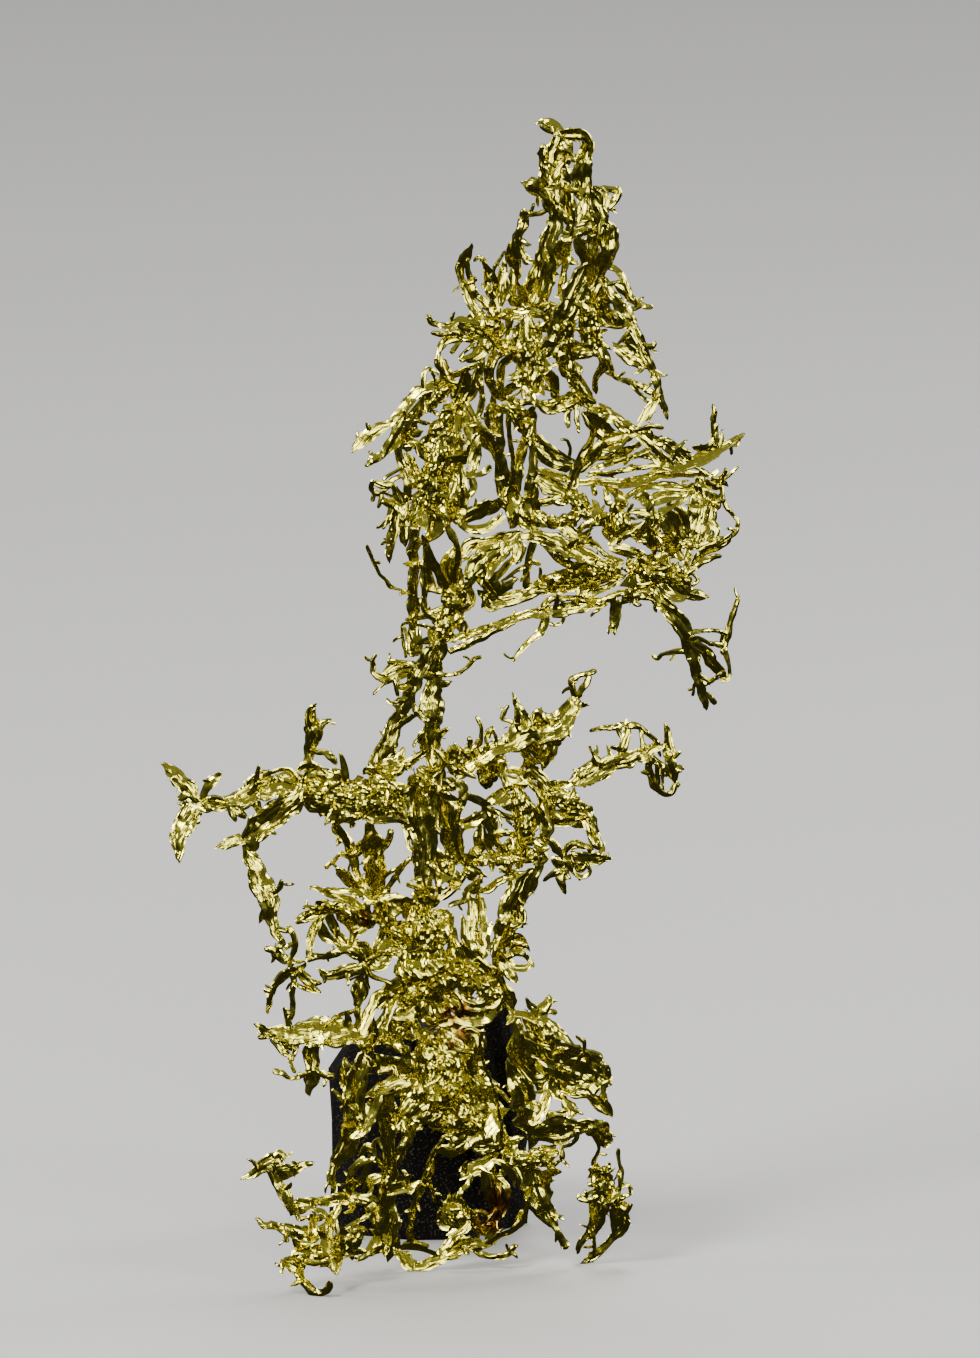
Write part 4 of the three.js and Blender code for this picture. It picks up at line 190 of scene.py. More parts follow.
# The strands of each piece. A strand is rooted in the earlier ones of its piece that it meets.
ROUTES = {
  "crown_tip": [  # the tuft of hooks and channelled blades at the very top
    blade(1, 0, 539,126,8, 547,123,11, 555,127,12, 559,134,14, 558,144,18, 553,160,20, 550,180,22,
      553,206,22),
    blade(2, 1, 556,139,8, 562,136,9, 572,134,10, 583,136,11, 587,146,12, 585,158,15, 582,172,16,
      583,188,17, 581,206,16),
    twig(-1, 0, 542,146,6, 544,158,9, 541,166,6, 547,178,7, 550,194,9),
    twig(-1, 0, 568,142,7, 566,154,8, 561,166,8, 563,180,6),
    blade(4, 2, 558,158,12, 562,180,15, 560,200,15, 560,222,12),
    wire(-1, 0, 574,158,5, 579,168,6, 575,182,6, 573,200,7),
    blade(-2, 0, 524,183,9, 531,184,11, 539,191,11, 548,201,9, 556,210,9),
    leaf(2, 1, 594,188,8, 600,199,20, 598,212,18, 594,228,13),
    twig(2, 2, 600,210,8, 612,205,7, 616,198,7, 618,187,4),
    twig(3, 2, 611,191,5, 601,190,6, 598,200,6),
    blade(1, 2, 594,200,10, 602,222,13, 610,234,14, 610,247,14, 604,261,16, 596,274,18, 588,292,20,
      580,306,18),
    blade(0, 1, 590,222,12, 594,240,12, 592,256,14, 586,274,18, 576,298,16),
    blade(1, 1, 574,200,10, 584,212,12, 594,222,12),
    wire(0, 1, 560,241,6, 576,234,9, 594,228,9),
    blade(-1, 0, 568,188,10, 567,205,10, 571,222,9, 569,236,9, 567,252,10, 564,270,9, 562,298,10),
    leaf(-1, 0, 580,192,7, 583,208,11, 580,224,5),
    blade(0, 1, 556,200,12, 555,222,14, 550,239,17, 546,256,20, 542,275,24, 537,294,22, 533,312,18),
    wire(-1, 0, 525,210,5, 522,222,8, 519,236,9, 516,252,10, 516,266,11, 513,282,10, 514,300,10,
      522,314,10),
    twig(0, 0, 522,215,5, 536,216,4, 552,211,4),
  ],
  "crown_left": [  # the hooks and small leaves that rise left of the crown
    blade(-2, -1, 470,247,7, 466,258,10, 461,268,9, 462,280,8, 466,292,9, 471,304,10, 477,316,12,
      488,328,13, 503,342,14),
    wire(-1, 0, 472,262,4, 468,272,5, 470,282,6, 475,293,7, 483,302,7, 494,316,9, 502,334,12),
    twig(-2, -1, 473,263,3, 480,258,4, 484,260,5, 485,269,4, 488,279,5, 490,290,6, 497,306,6, 499,322,8,
      502,338,10),
    twig(-2, -2, 505,252,3, 498,264,4, 490,280,5),
    twig(-1, -1, 482,284,4, 490,293,5, 497,308,6),
    leaf(-1, 0, 505,262,4, 502,276,9, 499,289,10, 501,310,8),
    twig(0, 0, 512,269,3, 514,280,4, 510,294,4, 500,305,5),
    wire(-4, -1, 427,316,5, 432,322,6, 442,326,7, 452,325,8, 464,321,8, 476,325,10, 492,336,12, 504,346,12),
    wire(-3, -1, 431,334,4, 438,335,5, 450,333,7, 462,336,9, 476,341,12, 496,348,14),
    twig(-3, -2, 437,363,5, 439,352,5, 442,345,5, 449,339,5, 460,337,5),
    twig(-3, -2, 451,355,5, 456,347,5, 463,339,5),
    twig(-3, -2, 459,361,4, 465,353,4, 474,344,4),
    twig(-2, -2, 462,364,4, 470,358,5, 482,346,5),
  ],
  "crown_core": [  # the dense crumpled heart of the crown, with the broad white blade down its front
    blade(-1, -2, 586,274,18, 580,288,24, 570,306,24, 557,335,20, 545,356,12),
    mass(1, 1, 526,322,26, 527,345,40, 530,372,38, 534,398,24),
    blade(0, 0, 508,350,26, 530,352,26, 554,350,18),
    mass(1, 1, 556,316,26, 562,335,32, 567,360,28, 577,385,20, 584,404,12),
    wire(0, 0, 506,398,7, 520,404,8, 533,402,8, 548,404,9, 563,400,9, 578,396,9),
    wire(0, 0, 530,410,7, 550,411,8, 564,407,7, 576,400,7),
    twig(0, 0, 568,396,6, 568,414,6, 568,429,4),
    twig(1, 0, 574,400,5, 577,420,5, 579,434,4),
    blade(1, 1, 520,342,18, 500,352,18, 490,372,12, 494,390,12, 500,402,8),
    wire(1, 1, 576,350,12, 590,352,10, 600,354,7),
    twig(1, 2, 582,306,6, 594,306,5, 606,312,5),
  ],
  "right_drape": [  # the long ribbon hanging in an arc right of the crown, with its ribbed leaf
    blade(2, 3, 600,276,9, 606,286,11, 613,296,12, 621,308,14, 630,322,14, 637,338,11, 645,355,9, 651,370,9,
      656,384,9, 660,398,8, 665,410,7, 667,420,3),
    wire(3, 3, 606,267,5, 616,270,6, 623,279,7, 628,290,8, 632,301,8, 641,305,6, 653,308,4),
    twig(2, 3, 604,286,5, 616,282,5, 625,282,5),
    twig(3, 3, 622,306,5, 634,309,5, 642,305,4),
    blade(3, 3, 606,318,11, 615,324,13, 626,326,10),
    twig(2, 2, 631,330,5, 622,340,4, 616,346,3),
    leaf(3, 3, 620,346,14, 630,353,20, 641,362,18, 648,372,10),
    twig(3, 3, 641,344,5, 651,347,5, 656,342,3),
    wire(1, 3, 606,356,5, 611,366,5, 613,376,5, 624,380,5, 638,385,5, 648,391,6, 659,396,6),
    wire(2, 3, 628,380,5, 638,393,5, 648,401,5, 657,404,5),
    blade(3, 2, 657,388,7, 654,402,8, 648,413,9, 642,424,9),
  ],
  "crown_middle": [  # the ribbons that gather below the heart of the crown and run down to the roof
    blade(1, 1, 534,416,8, 533,440,8, 533,470,9, 528,496,10, 524,524,12),
    blade(0, 1, 500,410,7, 500,437,8, 502,463,9, 508,484,10, 519,512,14),
    wire(0, 1, 509,412,5, 509,438,5, 513,462,5, 517,484,7),
    blade(0, 1, 498,448,10, 499,470,10, 502,492,10, 512,514,12),
    leaf(0, 0, 530,474,6, 533,496,11, 525,514,9),
    blade(1, 1, 536,434,8, 546,446,8, 557,453,8, 574,462,8),
    wire(0, 0, 582,412,6, 588,421,6, 594,432,7, 590,442,7, 584,450,7, 576,466,8, 570,484,9, 567,502,9),
    twig(-1, 0, 594,445,5, 584,460,6, 576,476,6, 570,492,6),
    twig(0, 0, 560,440,3, 567,441,3, 570,447,3, 569,460,3),
    blade(1, 1, 540,468,6, 556,476,8, 570,482,8),
    mass(1, 1, 562,494,14, 576,502,18, 590,512,16, 600,517,9),
    wire(1, 1, 575,534,5, 585,525,6, 597,518,7, 609,514,5),
    twig(1, 1, 602,516,5, 604,526,5, 605,534,3),
    blade(1, 1, 522,508,12, 545,501,9, 564,498,9),
    mass(1, 1, 520,514,24, 545,520,12, 568,520,12, 582,512,12),
    mass(1, 1, 508,500,16, 518,516,22, 522,527,18),
  ],
  "right_arm": [  # the upper right arm, ending in a spike and a hooked point
    blade(1, 2, 590,407,12, 600,409,14, 613,418,14, 626,427,12, 636,436,10),
    blade(1, 2, 600,442,8, 612,438,8, 624,434,9, 636,434,9, 646,442,8, 660,454,8, 674,466,9),
    wire(0, 1, 602,452,6, 615,449,6, 630,440,6),
    blade(1, 3, 592,469,6, 625,459,6, 643,455,7, 660,462,9, 680,467,12),
    wire(2, 3, 586,476,5, 620,471,5, 645,466,5, 670,467,8),
    twig(1, 2, 650,451,5, 630,458,4, 612,463,4),
    blade(3, 5, 668,469,11, 680,467,13, 692,462,14, 706,456,15, 716,450,14, 724,446,10, 731,442,7,
      738,437,5, 745,434,3),
    wire(4, 4, 714,448,9, 715,430,7, 714,418,5, 712,404,2),
    twig(5, 5, 728,443,5, 737,445,4, 741,440,3),
    wire(2, 4, 648,446,4, 655,442,4, 666,439,4, 677,446,5, 690,456,6),
    twig(3, 3, 672,460,6, 678,447,5, 686,440,3),
    twig(2, 2, 634,431,5, 650,427,4, 664,428,3),
    wire(4, 4, 694,465,6, 703,471,6, 712,476,6, 718,469,4),
  ],
  "right_fan": [  # the thin curled sheet under the right arm with the wire loop round its edge
    leaf(4, 3, 704,482,12, 706,494,26, 704,510,30, 700,526,24, 694,544,12),
    wire(3, 2, 704,482,6, 692,489,6, 684,499,6, 672,507,6, 658,513,6),
    leaf(4, 4, 710,482,8, 718,482,10, 725,486,7),
    twig(4, 4, 718,482,5, 732,472,4, 739,466,3),
    wire(4, 3, 721,484,4, 724,497,4, 727,507,4, 733,515,4, 738,522,4, 737,530,4, 730,537,4, 716,539,5,
      700,538,6),
    twig(4, 4, 712,503,4, 726,500,4),
    leaf(2, 3, 636,500,8, 650,501,14, 664,497,12, 682,494,8, 700,492,8),
    leaf(2, 2, 632,514,8, 648,514,13, 662,512,10),
    leaf(2, 2, 628,537,10, 640,536,16, 650,527,16, 660,514,10),
    blade(2, 3, 620,501,6, 632,493,7, 643,487,7, 660,486,8, 676,486,7, 692,489,6),
    blade(2, 3, 655,510,9, 672,516,10, 682,532,10, 694,542,10),
    blade(2, 2, 644,492,7, 650,506,9, 652,522,9),
    wire(3, 3, 734,540,4, 715,541,6, 700,545,7, 688,549,8),
  ],
  "roof": [  # the two long blades that lean together like a roof, and the ribbon under the right one
    blade(1, 0, 521,535,9, 535,536,13, 550,541,17, 565,547,20, 580,553,20, 595,560,15, 608,564,10,
      622,562,8),
    wire(0, 0, 570,542,6, 590,543,6, 608,556,6, 618,562,6),
    blade(0, -1, 522,534,9, 512,542,9, 504,552,9, 496,563,10, 486,576,10),
    leaf(-1, 0, 518,537,8, 510,545,14, 500,558,9),
    blade(0, -1, 514,538,10, 492,555,12, 476,572,12, 464,586,10),
    wire(-1, -1, 504,540,6, 490,548,8, 474,561,9, 464,578,9),
    blade(2, 1, 534,540,8, 528,562,8, 526,592,7),
    twig(2, 2, 528,562,4, 541,564,3),
    twig(1, 1, 500,582,4, 512,574,4, 528,564,4),
    blade(-1, 0, 534,590,7, 545,579,8, 555,575,9, 568,571,10, 585,569,11, 600,567,10, 620,562,9),
    blade(-1, 0, 497,598,8, 515,595,9, 530,591,9, 560,588,10, 577,586,10, 600,580,10, 622,574,11),
    mass(0, 0, 546,584,9, 570,578,18, 596,574,18, 616,568,14),
    wire(0, 0, 588,577,6, 587,565,5, 589,552,3),
    leaf(-1, 0, 484,570,8, 492,582,14, 502,598,9),
    blade(0, 1, 480,590,10, 492,598,12, 500,606,10),
  ],
  "stem_head": [  # the knot at the top of the two stems, with the strands rising from it
    mass(0, 0, 452,592,16, 450,608,26, 446,628,26, 438,641,20),
    blade(-1, -1, 464,594,8, 458,604,12, 450,620,12),
    twig(0, 2.4, 440,614,5, 425,617,5, 405,620,4),
    twig(0, 3, 438,628,5, 420,626,4, 403,624,3, 403,642,3, 406,658,3),
    wire(-1, 0, 421,560,6, 424,585,7, 425,596,7, 424,608,7, 434,622,8),
    blade(-2, -1, 424,536,8, 428,550,8, 433,560,8, 438,571,9, 443,584,10, 448,600,10),
    wire(-2, -1, 446,524,5, 450,532,6, 456,542,6, 459,556,7, 456,574,7, 454,592,8),
  ],
  "rear_post": [  # the dark post behind the left wing, with a thin wire crossing to it
    wire(2, 3, 416,523,11, 414,545,12, 414,570,12, 414,590,11, 412,610,10, 412,630,8, 414,646,8, 418,656,7),
    twig(-1, 2, 367,545,3, 370,552,4, 374,563,4, 380,573,4, 386,580,4, 393,588,4, 402,590,4, 412,595,4),
  ],
  "left_wing": [  # the crumpled mass of leaves and ribbons on the left of the crown
    mass(-1, -1, 462,402,20, 452,420,34, 442,445,46, 438,470,50, 434,494,42, 426,512,26),
    blade(-2, -2, 454,400,8, 458,424,7, 460,444,7, 461,464,7, 462,484,9, 464,500,9, 462,514,4),
    leaf(-2, -2, 460,400,8, 465,416,10, 468,430,9, 469,442,5),
    leaf(-2, -2, 468,370,7, 464,386,13, 458,399,13, 452,410,8),
    leaf(-2, -2, 421,499,6, 421,512,9, 422,522,10, 424,530,6),
    twig(-2, -2, 466,400,4, 477,420,4, 486,430,4, 494,434,4),
    wire(-1, -1, 479,366,7, 472,385,7, 464,404,8),
    wire(-1, 0, 462,478,6, 480,474,6, 491,466,6),
    blade(-1, 0, 454,508,10, 465,513,10, 480,506,9, 493,500,9),
    blade(-1, 0, 456,520,8, 470,530,9, 485,529,10, 501,517,10),
    mass(-1, -1, 440,500,26, 452,512,16, 460,524,10),
    blade(-1, -1, 446,382,10, 454,390,12, 462,404,12),
    wire(-1, 0, 484,352,5, 480,376,6, 482,398,6, 478,416,7, 464,432,8),
  ],
  "left_wing_tips": [  # the claws and hanging leaves at the outer edge of the left wing
    blade(-3, -2, 352,453,4, 359,444,7, 368,434,8, 378,427,7, 390,424,7, 399,416,10, 406,406,11, 416,395,10,
      428,388,10, 438,386,10),
    wire(-3, -2, 365,467,4, 375,460,8, 384,454,8, 389,444,8, 393,434,7, 401,424,7, 410,412,8),
    blade(-2, -2, 434,392,8, 424,402,9, 414,413,10, 407,424,10, 402,436,9, 398,448,8),
    blade(-2, -2, 397,442,8, 400,460,9, 405,473,9, 408,487,8, 406,500,8),
    twig(-3, -3, 383,481,3, 392,473,4, 403,468,4),
    twig(-3, -2, 373,480,4, 372,490,6, 378,494,6, 386,490,6, 393,480,6, 404,475,6),
    twig(-3, -3, 378,509,4, 381,500,5, 380,490,5),
    wire(-3, -2, 387,499,6, 396,508,8, 402,519,8, 406,500,6),
    leaf(-3, -3, 397,508,6, 394,530,10, 391,543,9, 389,553,7, 389,563,2),
    wire(-2, -3, 398,496,5, 391,509,5, 388,520,5, 383,530,3),
    wire(-2, -2, 406,496,6, 405,515,6, 407,530,6, 405,546,5),
    twig(-2, -3, 436,357,4, 439,365,6, 443,374,6, 436,388,7),
    twig(-3, -3, 424,390,5, 424,374,4, 429,368,4, 434,375,4, 436,388,5),
    blade(-2, -2, 394,428,8, 404,420,10, 412,412,10),
  ],
  "lower_right_arm": [  # the long low arm from the stems to the right, with a wire loop and two drips
    blade(0, 0, 455,640,9, 463,636,10, 475,632,9, 490,627,9, 510,620,9, 530,614,10, 548,612,12),
    wire(-1, 0, 448,652,6, 460,647,7, 480,638,7, 500,627,7, 516,620,7),
    wire(-1, 0, 541,608,6, 550,600,6, 562,599,6, 575,599,6, 585,601,6, 600,602,6, 608,598,6, 620,593,6,
      632,591,6),
    blade(0, 1, 543,612,12, 560,611,13, 575,608,13, 590,604,12, 606,600,9),
    twig(-1, -1, 543,606,3, 538,611,3, 545,619,3, 553,625,3, 561,623,3, 564,612,3, 562,600,3),
    blade(0, -1, 546,612,9, 545,622,9, 540,632,8, 530,641,6, 522,649,5, 516,656,4, 513,661,3),
    twig(0, 0, 608,602,4, 598,610,3, 590,617,3),
    blade(0, 0, 614,596,12, 616,606,13, 616,616,11, 614,626,7, 614,635,3),
  ],
  "right_knot": [  # the knot where the roof, the low arm, the fan and the pendant meet
    mass(1, 2, 629,567,16, 646,570,26, 664,572,28, 680,575,20, 690,584,14),
    leaf(2, 2, 672,588,10, 688,593,12, 700,596,9, 708,598,3),
    wire(2, 3, 684,574,7, 700,562,6, 711,557,6, 722,556,4),
    twig(2, 3, 684,578,4, 692,574,3, 698,580,3, 692,589,4),
    blade(2, 3, 654,566,12, 666,554,13, 678,553,8),
    blade(1, 1, 638,588,8, 650,586,9, 668,580,9),
    wire(1, 1, 634,578,8, 632,586,7, 636,592,6),
    twig(1, 1, 636,590,5, 636,604,4, 642,605,3),
    wire(1, 1, 646,560,8, 640,552,6, 628,550,5, 612,548,4),
  ],
  "pendant": [  # the blade that hangs from the right arm, with a forked wire beside it
    blade(1.6, 5.5, 658,593,10, 663,604,13, 669,612,17, 678,622,20, 685,633,20, 690,645,18, 692,656,15,
      695,668,12, 698,680,10, 702,692,9, 706,703,7, 706,710,4),
    wire(6, 6, 690,651,8, 680,652,6, 670,653,5, 663,655,5, 658,659,4, 652,655,3),
    wire(6, 7, 690,632,5, 706,630,5, 714,630,4, 727,634,5),
    wire(6, 7, 692,637,5, 706,641,5, 714,644,5, 724,646,6),
    wire(7, 8, 723,655,7, 725,642,8, 727,632,7, 730,620,6, 734,610,5, 738,600,4, 740,596,3),
    wire(7, 7, 724,648,6, 728,660,5, 730,672,4, 728,679,4, 720,677,5),
    blade(6, 7, 694,640,9, 706,652,11, 712,662,11, 719,670,9, 726,678,6),
    twig(6, 6, 700,688,5, 708,683,5, 715,679,4),
    twig(6, 6, 698,679,5, 694,688,4, 693,696,3),
    twig(6, 6, 702,690,5, 710,697,5, 717,704,4),
  ],
  "left_stem": [  # the left of the two stems below the crown, with a bird-like tuft on its side
    blade(0, 0, 433,643,9, 428,651,10, 423,660,12, 418,671,14, 413,685,14, 408,700,14, 402,712,14,
      397,722,15, 391,735,17, 386,748,19, 382,760,22, 380,768,22),
    twig(-1, -1, 377,654,3, 372,662,4, 373,670,6, 379,678,7, 388,682,7),
    leaf(-1, 0, 383,682,8, 393,678,9, 402,673,9, 414,672,8),
    wire(-1, 0, 387,661,5, 398,662,5, 410,664,6, 420,666,6),
    twig(-1, -1, 386,681,4, 379,688,3, 373,695,3),
    twig(-1, -1, 394,677,5, 397,688,4, 398,697,3),
    twig(0, 0, 402,710,4, 396,706,3, 391,701,2),
    twig(0, 0, 392,764,5, 398,756,4, 403,747,3),
  ],
  "right_stem": [  # the right of the two stems, with the curved wire on its far side
    blade(1, 1, 438,642,10, 436,653,11, 435,665,14, 434,682,15, 434,700,18, 434,716,19, 433,731,19,
      432,746,18, 434,760,17, 437,769,17),
    twig(0, 1, 418,708,4, 422,714,4, 430,718,5),
    wire(1, 1, 430,750,6, 420,757,6, 410,763,6, 402,767,6),
    wire(1, 3, 434,674,5, 448,675,4, 456,674,4, 464,669,4, 470,664,4, 474,659,4, 482,657,3),
    twig(1, 1, 436,734,5, 449,729,4),
    twig(1, 1, 430,730,5, 421,733,4, 419,744,4),
  ],
  "left_arm": [  # the broad bright arm reaching left from the foot of the stems
    blade(-5, -4, 213,804,14, 224,802,16, 234,800,18, 245,797,22, 258,791,30, 272,787,30, 286,786,28,
      302,788,26),
    mass(-4, -1, 298,786,24, 310,788,28, 322,796,44, 342,797,50, 360,797,48, 378,799,42, 395,805,30,
      406,808,22),
    twig(-5, -5, 256,782,7, 258,772,5, 259,765,3),
    twig(-5, -4, 268,771,4, 276,777,5, 286,779,5, 297,776,6),
    blade(-4, -3, 300,775,10, 322,774,11, 350,775,11),
    twig(-5, -5, 232,806,6, 234,814,7, 236,822,4),
    twig(-5, -5, 236,806,6, 242,813,7, 247,818,6),
    mass(-1, 0, 368,786,20, 384,784,28, 392,792,26, 400,802,22),
    twig(-1, -1, 386,798,4, 396,794,3, 403,790,2),
  ],
  "left_arm_leaf": [  # the leaf standing on the left arm, and the two claws beside it
    blade(-3, -3, 317,704,2, 311,709,6, 310,716,11, 313,725,18, 315,732,19, 312,740,17, 310,748,13,
      309,757,10, 308,766,10),
    twig(-3, -3, 318,728,9, 326,721,4),
    twig(-3, -3, 311,750,5, 317,753,5, 325,753,6, 331,757,7, 337,765,6),
  ],
  "left_arm_blades": [  # the four blades spread like a propeller at the end of the left arm
    blade(-6, -6, 163,766,6, 172,772,14, 182,782,17, 191,791,15, 201,801,13),
    blade(-6, -6, 202,800,7, 207,788,8, 212,782,10, 217,777,8, 220,771,3),
    blade(-6, -7, 202,801,14, 193,812,20, 186,822,18, 180,834,16, 178,845,13, 179,855,9, 179,862,5),
    blade(-6, -5, 198,802,14, 224,804,14),
  ],
  "left_arm_hanger": [  # the long ribbon that folds down from the left arm to a ring of claws
    blade(-5, -6, 284,808,16, 268,817,26, 255,830,24, 249,842,16, 248,850,12, 250,858,16, 254,868,18,
      258,878,20, 264,890,25, 268,902,20, 270,915,14, 274,928,10, 280,940,8, 284,948,6),
    blade(-6, -6, 218,848,5, 226,845,9, 234,841,10, 246,837,10),
    twig(-6, -6, 275,894,6, 280,886,5, 282,879,3),
    twig(-6, -6, 264,834,6, 272,832,4, 277,834,3),
    wire(-6, -6, 264,949,5, 274,950,8, 280,957,7, 285,961,6, 291,956,6, 295,946,7, 294,937,6, 291,930,6,
      287,926,4),
    twig(-6, -6, 282,942,7, 279,950,7, 278,955,6),
  ],
  "trunk": [  # the short trunk of parallel ribbons between the stems and the base
    mass(0, 1, 408,780,12, 418,781,14, 430,784,18, 446,785,20, 456,782,16),
    blade(0, 0, 414,788,14, 419,810,24, 422,830,26, 424,850,26, 424,868,20, 424,884,16, 424,896,18),
    blade(0, 1, 446,786,18, 448,806,24, 450,824,24, 453,842,22, 458,857,20, 466,868,14),
    blade(1, 1, 432,788,10, 432,812,18, 434,828,12, 434,842,5),
    blade(-1, -1, 426,846,8, 438,856,12, 448,863,12, 460,862,10),
    wire(0, 0, 432,862,8, 436,876,6, 438,888,6, 438,900,6),
    blade(1, 1, 470,872,8, 456,886,8, 446,896,8, 438,903,8),
    twig(-1, 0, 406,884,5, 412,886,5, 422,890,6),
    twig(1, 1, 464,868,12, 470,874,10, 474,881,8),
    blade(1, 2, 400,822,8, 410,816,10, 420,812,12),
  ],
  "rising_arm": [  # the right arm that rises to an arched tip, with its spurs and dark lumps
    blade(1, 3, 458,774,15, 466,768,18, 478,760,18, 492,752,17, 506,745,16, 520,737,22, 534,731,26,
      550,728,28, 562,722,26, 570,712,20, 575,702,14, 577,694,9),
    blade(3, 4, 562,724,24, 550,738,24, 544,752,20, 541,763,13),
    blade(2, 3, 520,741,8, 524,752,9, 530,760,9, 538,766,9),
    wire(3, 3, 576,698,7, 573,688,5, 571,681,6, 578,676,6, 588,673,7, 597,671,6),
    twig(3, 4, 577,698,7, 584,686,7, 591,680,7),
    twig(3, 3, 573,688,4, 566,690,3, 562,694,3),
    twig(2, 2, 512,692,2, 516,701,5, 519,711,7, 518,722,7, 520,732,7),
    twig(2, 2, 509,705,3, 505,712,4, 502,719,4, 510,721,4, 520,724,6),
    twig(3, 3, 530,724,6, 534,713,7, 539,711,7, 545,718,6, 548,726,6),
    twig(1, 1, 476,716,3, 480,723,4, 482,732,4, 480,744,5, 482,754,6),
    twig(1, 2, 486,748,5, 486,734,4, 490,730,4, 495,736,4, 497,748,5),
    twig(1, 1, 469,736,3, 471,746,6, 476,758,7),
    twig(1, 1, 457,745,3, 464,752,5, 474,760,7),
    mass(6, 5, 452,747,14, 453,758,22, 458,768,20, 464,772,12),
    mass(6, 6, 488,786,14, 487,776,22, 492,764,20, 496,756,12),
    blade(2, 5, 480,764,10, 486,766,14, 490,770,14),
  ],
  "far_right_arm": [  # the farthest right arm, with its arch, spikes and end claw
    blade(3, 5, 570,788,18, 578,782,18, 588,776,18, 598,770,20, 608,766,18, 620,762,16, 632,758,15,
      644,754,13, 654,748,10, 662,744,8),
    twig(4, 4, 579,780,5, 578,769,3),
    twig(3, 3, 585,780,8, 583,772,7, 584,765,3),
    twig(4, 4, 596,768,8, 596,756,7, 597,745,3),
    blade(4, 5, 620,758,10, 624,744,9, 627,732,8, 628,721,7),
    twig(5, 5, 589,731,3, 598,729,4, 608,727,7, 618,728,8, 628,727,8),
    wire(5, 5, 626,726,7, 638,726,6, 646,731,6, 654,738,6, 660,746,7),
    twig(5, 5, 641,728,4, 643,740,4, 643,752,5),
  ],
  "far_right_claw": [  # the caged claw hanging from the end of the farthest right arm
    blade(5, 6, 664,746,6, 668,756,8, 673,766,9, 676,776,8, 674,784,6),
    blade(6, 6, 666,723,3, 668,736,7, 670,746,9, 673,756,8, 676,762,6),
    twig(6, 6, 673,759,4, 678,754,5, 682,751,3),
    blade(5, 5, 651,757,6, 658,763,7, 667,769,8, 674,777,8),
    wire(5, 6, 652,759,6, 649,768,8, 652,778,8, 658,788,8, 664,794,6, 671,793,6, 675,785,6, 681,785,4),
    twig(5, 5, 641,772,3, 650,774,6),
    twig(5, 6, 657,762,5, 658,774,4, 658,786,5),
    twig(5, 6, 664,766,5, 663,778,4, 664,792,4),
    twig(6, 6, 674,774,6, 680,768,6, 685,770,3),
  ],
  "mid_right_mass": [  # the broad crumpled sheets between the trunk and the right arms
    mass(3, 3, 512,789,12, 518,798,24, 524,812,30, 524,828,28, 518,842,24, 508,852,22),
    blade(3, 3, 541,774,8, 543,786,11, 546,800,15, 547,812,18, 547,824,16, 545,836,12, 538,850,14),
    twig(3, 3, 503,755,4, 504,765,7, 506,778,9, 508,792,10),
    blade(3, 3, 508,769,7, 520,772,8, 528,780,8, 536,790,8, 543,800,8),
    blade(2, 3, 508,794,10, 518,786,12, 528,788,9),
    wire(2, 3, 474,799,6, 486,805,6, 500,813,6, 520,821,6),
    blade(2, 2, 480,805,9, 489,818,14, 492,830,12, 495,842,10, 498,854,8),
    blade(2, 2, 478,826,9, 479,842,10, 482,857,11),
    blade(3, 3, 469,824,5, 478,818,8, 490,812,8),
    blade(3, 3, 486,803,6, 496,796,8, 508,788,9),
    mass(2, 3, 470,850,8, 478,858,16, 490,860,14, 508,860,14, 524,858,15, 540,852,15),
    mass(4, 3, 550,790,10, 562,796,24, 574,803,26, 584,810,18),
    blade(3, 3, 580,802,16, 586,815,17, 591,828,14, 595,838,12, 600,846,8),
    mass(3, 3, 550,816,12, 566,816,17, 584,816,17),
  ],
  "right_star": [  # the small star of points and the wire loop below the crumpled sheets
    wire(4, 4, 561,868,6, 564,852,6, 573,844,6, 586,847,7, 594,850,6),
    blade(4, 5, 566,858,10, 582,860,14, 596,860,14, 604,859,8, 612,860,3),
    twig(5, 5, 606,860,4, 609,853,2),
    twig(4, 3, 566,864,6, 574,872,4, 583,877,4, 590,872,4, 586,862,4),
    blade(4, 4, 556,864,10, 563,868,12, 566,876,8, 570,880,3),
    twig(4, 4, 543,882,3, 552,875,7, 561,868,9),
    twig(4, 4, 563,870,9, 563,884,8, 566,895,3),
    twig(4, 3, 558,866,8, 552,860,6),
  ],
  "lower_blade": [  # the broad crumpled blade that falls from the sheets to the base, with its claws
    blade(3, 1, 538,864,14, 530,877,19, 524,890,23, 516,904,24, 510,918,24, 504,932,20, 500,944,14,
      496,956,10),
    wire(1, 1, 516,908,6, 523,911,6, 524,918,6, 519,925,6, 510,928,6),
    blade(1, 1, 500,950,8, 508,944,10, 518,937,9, 525,943,6, 530,951,2),
    wire(1, 1, 496,958,10, 508,955,9, 516,953,7, 524,956,5, 530,962,5, 534,968,3),
    blade(1, 1, 500,957,12, 506,968,14, 513,978,10, 517,984,4),
    blade(1, 1, 494,955,8, 497,968,10, 501,978,7, 505,989,5),
    blade(3, 2, 478,892,6, 488,889,8, 498,882,8, 510,877,9, 526,876,12),
  ],
  "rear_struts": [  # the darker ribbons behind the left of the trunk
    blade(4, 4, 336,829,10, 341,834,12, 348,843,13, 353,858,11, 357,875,10, 363,888,10, 372,897,10),
    blade(2, 3, 374,826,20, 373,834,20, 372,846,20, 375,860,20, 374,875,20, 373,892,18),
    wire(2, 2, 370,842,9, 360,850,8, 352,856,10),
    twig(2, 1, 354,856,7, 341,855,5, 334,859,5, 325,869,5),
    twig(2, 3, 350,858,3, 349,874,3, 356,886,5),
    blade(2, 3, 335,871,4, 342,876,7, 350,883,8, 362,892,9),
    wire(2, 3, 391,829,6, 387,842,6, 382,856,8),
    wire(0.6, 3, 411,857,5, 401,868,6, 394,878,6, 387,889,5, 376,894,8),
  ],
